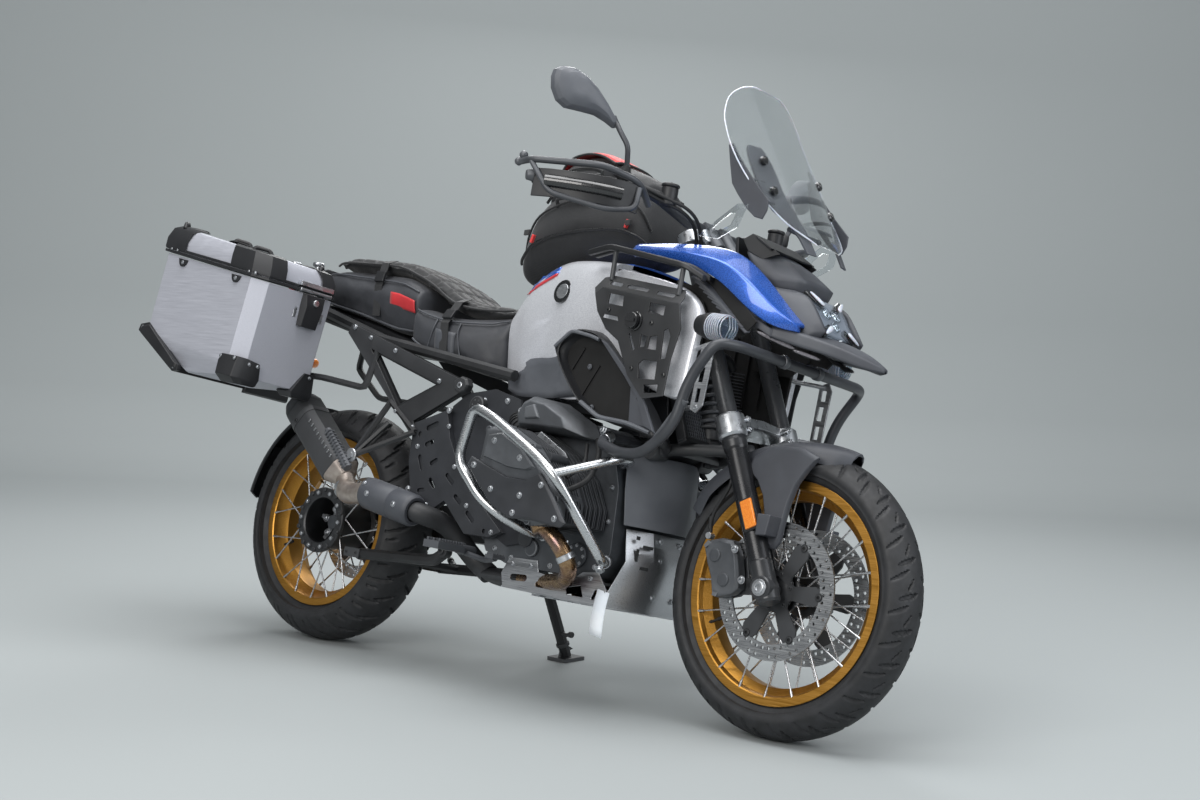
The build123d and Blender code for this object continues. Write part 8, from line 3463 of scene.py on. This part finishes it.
def case_fittings(shop: Workshop) -> None:
    """Black lower corner guards with their rivets, the rim lugs, latch and mounting plate.

    Args:
        shop: places and finishes the pieces.
    """
    dark, rivets, bright = bmesh.new(), bmesh.new(), bmesh.new()
    rear = [(-410, 738), (-404, 756), (-368, 762), (-205, 652), (-205, 638), (-226, 634)]
    add_prism(dark, rear, -478, -491)
    add_stack(dark, rear, ((-490, 0.94), (-496, 0.84)))
    add_prism(dark, [(-402, 740), (-396, 752), (-222, 646), (-228, 634)], -240, -484)
    loft(dark, [
        [(-36, -493, 676), (-22, -494, 694), (30, -484, 690), (44, -462, 688), (44, -418, 682),
         (42, -412, 664)],
        [(-38, -493, 640), (-20, -500, 640), (34, -498, 634), (46, -476, 634), (44, -420, 634),
         (40, -408, 640)],
        [(-30, -476, 622), (-10, -480, 620), (32, -478, 618), (42, -460, 618), (40, -424, 618),
         (34, -412, 622)],
    ])
    loft(dark, [
        [(24, -262, 690), (40, -262, 690), (40, -228, 690), (24, -228, 690)],
        [(-20, -300, 636), (42, -300, 634), (42, -226, 634), (-20, -226, 636)],
        [(-12, -290, 622), (36, -290, 620), (36, -230, 620), (-12, -230, 622)],
    ])
    for spot in ((-392, -491, 748), (-222, -491, 646), (-26, -494, 686), (26, -490, 684)):
        add_bolt(rivets, spot, (0, -1, 0), 4, 2.5)
    for y in (-452, -424):
        add_bolt(rivets, (44, y, 674), (1, 0, 0), 4, 2.5)
    add_bolt(rivets, (41, -244, 680), (1, 0, 0), 4, 2.5)
    for x, z in ((-271, 934), (-32, 897)):
        lug = [(x - 20, z + 8), (x - 14, z - 8), (x - 6, z - 15), (x + 6, z - 15), (x + 14, z - 9),
               (x + 20, z + 2)]
        add_prism(dark, lug, -487, -493)
        add_bolt(rivets, (x, -492.5, z - 4), (0, -1, 0), 4.5, 2.5)
    for y0, y1 in ((-352, -342), (-262, -252)):
        add_plate(bright, [(63, y0, 918), (63, y1, 918), (54, y1, 826), (54, y0, 826)], 9)
    add_rod(bright, (70, -356, 900), (70, -248, 900), 5, 16, edge=1)
    add_block(bright, (68, -302, 916), (14, 112, 12))
    loft(dark, [[(59, -338, 892), (74, -334, 890), (74, -270, 890), (59, -266, 892)],
                [(58, -338, 860), (78, -330, 858), (78, -274, 858), (58, -266, 860)],
                [(52, -334, 806), (66, -328, 804), (66, -276, 804), (52, -270, 806)]])
    add_rod(rivets, (76, -302, 872), (82, -302, 872), 9, 24, edge=1)
    add_prism(dark, [(-350, 940), (40, 880), (16, 690), (-200, 690), (-360, 780)], -232, -226)
    shop.fit("case_corner_guards", dark, Stock.BLACK_PLASTIC, instead=["case_guards"],
             round_mm=1.6)
    shop.fit("case_rivets", rivets, Stock.SILVER, smooth=35)
    shop.fit("case_latch", bright, Stock.SILVER, round_mm=1.2)


def lid(shop: Workshop) -> None:
    """Silver lid with a black double rim and four black corner caps with tie-down eyes.

    Args:
        shop: places and finishes the pieces.
    """
    gap = 2.0
    slope = (893 - 962) / (62 + 380)

    def rim_ring(lift: float, out: float) -> list[Point]:
        """One outline of the lid at a height above the case's edge.

        Args:
            lift: height above the case's edge.
            out: distance outside the case.

        Returns:
            The outline's points.
        """
        x0, x1, y0, y1 = -380 - out, 63 + out, -491 - out, -229 + out
        plan = [(x0 + 24, y0), (x1 - 34, y0), (x1, y0 + 34), (x1, y1 - 10), (x1 - 10, y1),
                (x0 + 10, y1), (x0, y1 - 10), (x0, y0 + 24)]
        return [(x, y, 962 + gap + lift + slope * (x + 380)) for x, y in plan]

    def top_ring(share: float, lift: float) -> list[Point]:
        """One outline of the lid's top, drawn in.

        Args:
            share: size against the rim.
            lift: height above the case's edge.

        Returns:
            The outline's points.
        """
        base = rim_ring(lift, -2)
        mx, my = LID_MIDDLE
        return [(mx + (x - mx) * share, my + (y - my) * share, z) for x, y, z in base]

    bm = bmesh.new()
    loft(bm, [rim_ring(0, -6), rim_ring(12, -3), top_ring(0.995, 40), top_ring(0.93, 62),
              top_ring(0.905, 70), top_ring(0.85, 72)])
    shop.fit("lid_shell", bm, Stock.CASE, "case_lid", ["pannier_lid"], round_mm=2.0)
    bm = bmesh.new()
    for low in (0.5, 9.5):
        loft(bm, [rim_ring(low, -4), rim_ring(low, 1.2), rim_ring(low + 1, 2),
                  rim_ring(low + 6.5, 2), rim_ring(low + 7.5, 1.2), rim_ring(low + 7.5, -4)],
             caps=False, wrap=True)
    for x_side, y_side in ((-1, -1), (1, -1), (1, 1), (-1, 1)):
        bottom, top = rim_ring(16, 1), top_ring(0.95, 67)
        ends = {(-1, -1): (7, 0), (1, -1): (1, 2), (1, 1): (3, 4), (-1, 1): (5, 6)}[x_side, y_side]
        first, second = ends
        before, after = (first - 1) % 8, (second + 1) % 8
        reach = 0.24 if y_side < 0 else 0.2

        def row(ring: list[Point], swell: float) -> list[Vector]:
            """The stretch of one outline that the cap covers.

            Args:
                ring: the outline to follow.
                swell: how far the cap stands out.

            Returns:
                Four points.
            """
            a, b = Vector(ring[first]), Vector(ring[second])
            from_a = a.lerp(Vector(ring[before]), reach)
            from_b = b.lerp(Vector(ring[after]), reach)
            middle = Vector((*LID_MIDDLE, a.z))
            return [p + (p - middle).normalized() * swell for p in (from_a, a, b, from_b)]

        rows = [row(bottom, 0), row(bottom, 3), row(rim_ring(40, 0), 3), row(top, 4),
                row(top_ring(0.86, 76), 0), row(top_ring(0.7, 75), 0)]
        loft(bm, [r + [p - UP * 3 for p in reversed(r)] for r in rows])
        corner = Vector(rows[3][1]).lerp(Vector(rows[3][2]), 0.5)
        centre = Vector((*LID_MIDDLE, corner.z))
        spot = corner.lerp(centre, 0.14) + UP * 6
        across = (Vector(rows[3][2]) - Vector(rows[3][1])).normalized()
        add_tube(bm, [spot - across * 26 - UP * 4, spot - across * 20 + UP * 10,
                      spot + across * 20 + UP * 10, spot + across * 26 - UP * 4], 5.5, 8, 14)
    shop.fit("lid_rim_and_caps", bm, Stock.BLACK_PLASTIC, "case_lid", round_mm=1.4)
    bm = bmesh.new()
    for x in (-330, 20):
        for n in (0, 1):
            at = x + 26 * n
            add_bolt(bm, (at, -492, 975 + slope * (at + 380)), (0, -1, 0), 3.5, 2.5)
    shop.fit("lid_rivets", bm, Stock.SILVER, "case_lid", smooth=35)


def build_pegs_and_pedals(shop: Workshop) -> None:
    """Riders' footpegs with teeth, folded passenger pegs, brake pedal and gear lever.

    Args:
        shop: places and finishes the pieces.
    """
    bm = bmesh.new()
    for side in SIDES:
        add_pierced(bm, [(650, 290), (650, 308), (702, 308), (702, 290)], [],
                    side * 214, side * 306)
        for n in range(9):
            for x in (656, 676, 696):
                add_block(bm, (x, side * (222 + 9.4 * n), 311), (7, 5, 8))
        add_tube(bm, [(676, side * 158, 300), (676, side * 216, 300)], 12, sides=20)
        add_rod(bm, (664, side * 186, 286), (664, side * 186, 316), 8, 16, edge=1)
        folded = [Vector((282, side * 264, 455)), Vector((176, side * 263, 548))]
        way = (folded[1] - folded[0]).normalized()
        add_rod(bm, folded[0], folded[1], 12, 8, 9)
        for n in range(12):
            spot = folded[0] + way * (8 + 11 * n)
            add_block(bm, spot, (5, 22, 20), axes(way, LEFT, way.cross(LEFT)))
    brake = [(650, -182, 296), (760, -196, 282), (830, -236, 290)]
    add_tube(bm, brake, 7, 26, 14)
    add_block(bm, (838, -246, 293), (26, 44, 9))
    for n in range(4):
        add_block(bm, (838, -230 - 11 * n, 299), (22, 4, 5))
    add_tube(bm, [(650, 182, 296), (760, 196, 284), (820, 206, 300), (822, 262, 300)], 6, 16, 14)
    add_rod(bm, (822, 226, 300), (822, 264, 300), 9.5, 18, edge=2)
    shop.fit("pegs_and_pedals", bm, Stock.DARK_TUBE, instead=["foot_controls"], round_mm=0.9)


# --- stands, drive and small fittings ---------------------------------------------------
def build_stand_fittings(shop: Workshop) -> None:
    """Hinge bolts, gussets, feet and a lifting lug on both stands.

    Args:
        shop: places and finishes the pieces.
    """
    pivot, foot = Vector((600, 183, 290)), Vector((618, 318, 76))
    folded = Vector((-0.995, 0.07, 0.07))
    along = (foot - pivot).normalized()
    hinge = (foot - pivot).cross(folded).normalized()
    out = along.cross(hinge).normalized()
    bm = bmesh.new()
    add_bolt(bm, pivot + hinge * 18, hinge, 10, 7)
    add_bolt(bm, pivot - hinge * 8, -hinge, 8, 5)
    for share, reach in ((0.10, 19), (0.86, 18)):
        add_rod(bm, pivot.lerp(foot, share - 0.02), pivot.lerp(foot, share + 0.02), reach, 24,
                edge=1.5)
    lug = pivot.lerp(foot, 0.72)
    add_tube(bm, [lug, lug + out * 24 + along * 6, lug + out * 44 + along * 2], [6, 5.5, 5],
             sides=12)
    add_rod(bm, lug + out * 40 + along * 2, lug + out * 52 + along * 2, 8, 16, edge=1.5)
    for side in SIDES:
        base = pivot.lerp(foot, 0.88) + hinge * side * 9
        loft(bm, [[base + hinge * d, base + along * 20 + hinge * d + out * 2,
                   base + along * 22 + hinge * (side * 18 + d)] for d in (-1.5, 1.5)])
    shop.fit("side_stand_fittings", bm, Stock.BLACK_STEEL, "side_stand_leg", round_mm=0.5)
    bm = bmesh.new()
    for side in SIDES:
        add_bolt(bm, (560, side * 150, 288), (0, side, 0), 9, 6)
        add_prism(bm, [(536, 276), (560, 274), (540, 258), (506, 250)],
                  side * 138 - 3, side * 138 + 3)
        add_prism(bm, [(274, 258), (222, 258), (216, 252), (216, 240), (222, 234), (274, 234)],
                  side * 165, side * 163.2)
        for x in (226, 262):
            add_bolt(bm, (x, side * 164, 246), (0, side, 0), 4, 3)
    add_tube(bm, [(300, 150, 250), (286, 178, 262), (250, 196, 270)], 6, 14, 14)
    add_rod(bm, (256, 192, 269), (240, 202, 273), 9, 16, edge=1.5)
    shop.fit("centre_stand_fittings", bm, Stock.BLACK_STEEL, "centre_stand_frame", round_mm=0.5)


def build_drive(shop: Workshop) -> None:
    """Bevel housing with ribs, cover bolts and plugs, and the arm's pivot caps and gaiter.

    Args:
        shop: places and finishes the pieces.
    """
    bm = bmesh.new()
    z = REAR_AXLE_Z
    add_lathe(bm, [(166, 40), (174, 62), (176, 80), (172, 90), (150, 91), (120, 91), (106, 88)],
              0, z, 64)
    for bolt_x, bolt_z in disc_edge(0, z, 83, 10, 0.5):
        add_bolt(bm, (bolt_x, 173, bolt_z), LEFT, 4.5)
    for n in range(6):
        add_prism(bm, radial_rib(z, n / 6, (50, 2.5), (76, 2)), 168, 180)
    add_lathe(bm, [(170, 1), (186, 1), (187, 26), (184, 44), (178, 50), (168, 52)], 0, z, 48)
    add_bolt(bm, (0, 186, z), (0, 1, 0), 15, 7)
    add_rod(bm, (30, 176, z + 46), (30, 186, z + 46), 10, 6)
    shop.fit("bevel_housing_cover", bm, Stock.ENGINE_GREY, smooth=35)
    bm = bmesh.new()
    for x, high in ((500, 432), (420, 424), (340, 414), (250, 404), (160, 395)):
        share = (560 - x) / 490
        y = 139 + 27 * min(1.0, (560 - x) / 230)
        add_prism(bm, [(x + 30, high - 30), (x + 4, high - 74), (x - 2, high - 74),
                       (x + 22, high - 30)], y - 2, y + 1.6 + share)
    shop.fit("swingarm_ribs", bm, Stock.BLACK_STEEL, round_mm=0.8)
    bm = bmesh.new()
    rings = []
    for n in range(15):
        share = n / 14
        x = 556 + 46 * share
        reach = 54 - 2 * share + (5 if n % 2 else 0)
        rings.append([(x, 100 + reach * 0.82 * math.cos(t * math.pi / 12),
                       385 + reach * math.sin(t * math.pi / 12)) for t in range(24)])
    loft(bm, rings)
    shop.fit("shaft_gaiter", bm, Stock.GRIP, smooth=60)
    bm = bmesh.new()
    for y, way in ((138, 1), (-94, -1)):
        add_rod(bm, (560, y, 390), (560, y + way * 6, 390), 24, 36, edge=2)
        add_bolt(bm, (560, y + way * 6, 390), (0, way, 0), 13, 8)
    for x, bolt_z in ((6, 468), (66, 416), (4, 412)):
        add_bolt(bm, (x, 126, bolt_z), LEFT, 6, 5)
    add_prism(bm, [(-4, 408), (64, 408), (76, 464), (14, 476)], 84, 90)
    shop.fit("rear_pivots_and_caliper_bolts", bm, Stock.SILVER, smooth=35)
    bm = bmesh.new()
    add_tube(bm, [(30, 118, 476), (60, 132, 500), (200, 150, 440), (420, 146, 440),
                  (560, 122, 470)], 4, 60, 10)
    add_tube(bm, [(10, 118, 470), (60, 140, 486), (210, 158, 424), (430, 152, 428),
                  (566, 126, 462)], 2.6, 60, 10)
    shop.fit("rear_brake_line", bm, Stock.GRIP, smooth=60)


def build_inner_panels(shop: Workshop) -> None:
    """Dark liners with ribs inside the shoulder panels, drawn near-black as painted shade, and the
    slotted stays in front of them.

    Args:
        shop: places and finishes the pieces.
    """
    bm = bmesh.new()
    add_stack(bm, SHOULDER_OUTLINE, ((-185, 0.995), (-180, 0.99), (-178, 0.97)))
    for n in range(5):
        x = 1070 + 46 * n
        add_prism(bm, [(x, 760), (x + 5, 760), (x + 5, 960), (x, 960)], -178, -171)
    add_stack(bm, [(1180, 1000), (1330, 960), (1352, 884), (1300, 840), (1184, 850)],
              ((-169, 1.0), (-165, 0.985)))
    mirrored(bm)
    # The liners are dark plastic drawn near-black, partly their own colour and partly painted shade
    # inside the fairing.
    shop.fit("fairing_liners_painted_shade", bm, Stock.PAINTED_SHADE, round_mm=0.8)
    bm = bmesh.new()
    add_pierced(bm, [(1344, 838), (1368, 846), (1380, 826), (1374, 700), (1358, 682), (1340, 690)],
                [[(1352, 826), (1366, 826), (1366, 800), (1352, 800)],
                 [(1351, 786), (1365, 786), (1363, 752), (1349, 752)],
                 [(1350, 738), (1362, 738), (1361, 706), (1349, 706)]], -238, -234)
    for x, z in ((1358, 833), (1356, 694)):
        add_bolt(bm, (x, -238, z), (0, -1, 0), 5, 3.5)
        add_tube(bm, [(x, -235, z), (x - 20, -222, z + 2), (1284, -184, z + 4)], 6, 12, 10)
    mirrored(bm)
    shop.fit("slotted_stays", bm, Stock.SHEET, round_mm=0.5)


# --- studio -----------------------------------------------------------------------------
def plain(name: str, colour: str, cloud_colour: str, roughness: float) -> bpy.types.Material:
    """A matt studio surface with faint clouds, seen through from behind.

    Args:
        name: material name.
        colour: the surface's colour.
        cloud_colour: colour of its faint clouds.
        roughness: gloss of the surface.

    Returns:
        The material.
    """
    made = bpy.data.materials.new(name)
    made.use_nodes = True
    tree = made.node_tree
    shader = tree.nodes["Principled BSDF"]
    place = add_node(tree, "ShaderNodeTexCoord")
    cloud = add_node(tree, "ShaderNodeTexNoise", {"Scale": 0.35, "Detail": 2.0},
                     {"Vector": (place, "Object")})
    hue = mixed(tree, (cloud, "Fac"), linear(colour), linear(cloud_colour))
    wire(tree, hue, shader, "Base Color")
    shader.inputs["Roughness"].default_value = roughness
    shader.inputs["Specular IOR Level"].default_value = 0.2
    # A camera behind the raised backdrop looks through it at the machine.
    back = add_node(tree, "ShaderNodeNewGeometry")
    clear = add_node(tree, "ShaderNodeBsdfTransparent")
    blend = add_node(tree, "ShaderNodeMixShader")
    tree.links.new(back.outputs["Backfacing"], blend.inputs[0])
    tree.links.new(shader.outputs[0], blend.inputs[1])
    tree.links.new(clear.outputs[0], blend.inputs[2])
    tree.links.new(blend.outputs[0], tree.nodes["Material Output"].inputs["Surface"])
    return made


def build_studio(shop: Workshop) -> None:
    """Pale floor that curves up into a backdrop, soft overhead light and the camera.

    Args:
        shop: places and finishes the pieces.
    """
    bm = bmesh.new()
    rows = []
    ahead = Vector((-0.664, 0.748, 0))
    across = Vector((0.748, 0.664, 0))
    for share in range(-6, 7):
        row = []
        for reach, height in ((-30, 0), (-6, 0), (0, 0), (3.6, 0), (4.1, 0.01), (4.35, 0.06),
                              (4.55, 0.18), (4.7, 0.42), (4.78, 0.9), (4.8, 2.2), (4.82, 12)):
            spot = ahead * reach + across * (share * 6)
            row.append((spot.x, spot.y, height))
        rows.append(row)
    loft(bm, rows, open_ring=True)
    bm.normal_update()
    if sum(face.normal.z * face.calc_area() for face in bm.faces) < 0:
        bmesh.ops.reverse_faces(bm, faces=bm.faces[:])
    mesh = bpy.data.meshes.new("studio_floor")
    bm.to_mesh(mesh)
    bm.free()
    mesh.shade_smooth()
    mesh.materials.append(plain("studio_paper", "9a9fa0", "9ea3a4", 0.85))
    floor = bpy.data.objects.new("studio_floor", mesh)
    bpy.context.scene.collection.objects.link(floor)

    def lamp(name: str, spot: Point, size: float, power: float, colour: str,
             wide: float | None = None) -> None:
        """Hang one soft box that faces the machine.

        Args:
            name: the lamp's name.
            spot: its place in metres.
            size: its width in metres.
            power: its power in watts.
            colour: six hex digits.
            wide: its other width, where it isn't square.
        """
        data = bpy.data.lights.new(name, "AREA")
        data.energy = power
        data.color = linear(colour)[:3]
        data.size = size
        if wide:
            data.shape = "RECTANGLE"
            data.size_y = wide
        item = bpy.data.objects.new(name, data)
        bpy.context.scene.collection.objects.link(item)
        item.location = spot
        aim = Vector((0, 0, 0.7)) - Vector(spot)
        item.rotation_euler = aim.to_track_quat("-Z", "Y").to_euler()

    lamp("overhead", (0.3, -0.6, 5.2), 5.0, 300, "ffffff", 4.0)
    lamp("key", (1.2, -5.4, 3.0), 3.2, 190, "fffdfa")
    lamp("front_fill", (5.4, 0.4, 2.6), 3.0, 120, "f6faff")
    lamp("back_edge", (-2.4, 2.9, 3.6), 2.2, 90, "ffffff")
    world = bpy.context.scene.world or bpy.data.worlds.new("studio_air")
    bpy.context.scene.world = world
    world.use_nodes = True
    air = world.node_tree
    sky = air.nodes["Background"]
    sky.inputs["Color"].default_value = linear("c8cbcd")
    sky.inputs["Strength"].default_value = 0.55
    camera(shop)


def camera(shop: Workshop) -> None:
    """Place the camera at the machine's right front, a little below the bars.

    Args:
        shop: places and finishes the pieces.
    """
    data = bpy.data.cameras.new("studio_camera")
    data.lens = 59.08
    data.sensor_width = 36.0
    data.sensor_fit = "HORIZONTAL"
    data.clip_end = 200.0
    item = bpy.data.objects.new("studio_camera", data)
    bpy.context.scene.collection.objects.link(item)
    shift = shop.stance.translation
    yaw, pitch, roll = math.radians(131.594), math.radians(-3.221), math.radians(2.221)
    ahead = Vector((math.cos(pitch) * math.cos(yaw), math.cos(pitch) * math.sin(yaw),
                    math.sin(pitch)))
    right = ahead.cross(UP).normalized()
    up = right.cross(ahead)
    side = right * math.cos(roll) + up * math.sin(roll)
    top = up * math.cos(roll) - right * math.sin(roll)
    turn = axes(side, top, -ahead).to_4x4()
    place = Vector((4103.8, -3504.5, 983.5)) * MM + shift
    item.matrix_world = Matrix.Translation(place) @ turn
    bpy.context.scene.camera = item
    bpy.context.scene.view_settings.view_transform = "Standard"


def main() -> None:
    """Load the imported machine, dress it and light it."""
    logging.basicConfig(level=logging.INFO, format="%(message)s")
    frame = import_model()
    shop = Workshop(frame)
    build_studio(shop)
    dress_packed(shop)
    build_wheels(shop)
    build_guard_bars(shop)
    build_engine(shop)
    build_exhaust(shop)
    build_front_end(shop)
    Tank().build(shop)
    Shoulders().build(shop)
    build_front_panels(shop)
    Saddle().build(shop)
    QuiltedPad().build(shop)
    TankBag().build(shop)
    build_side_racks(shop)
    build_handlebar(shop)
    build_hand_guards(shop)
    build_mirrors(shop)
    build_frame_plates(shop)
    build_skid_plate(shop)
    build_rear(shop)
    build_cases(shop)
    build_pegs_and_pedals(shop)
    build_stand_fittings(shop)
    build_drive(shop)
    build_inner_panels(shop)


if __name__ == "__main__":
    main()
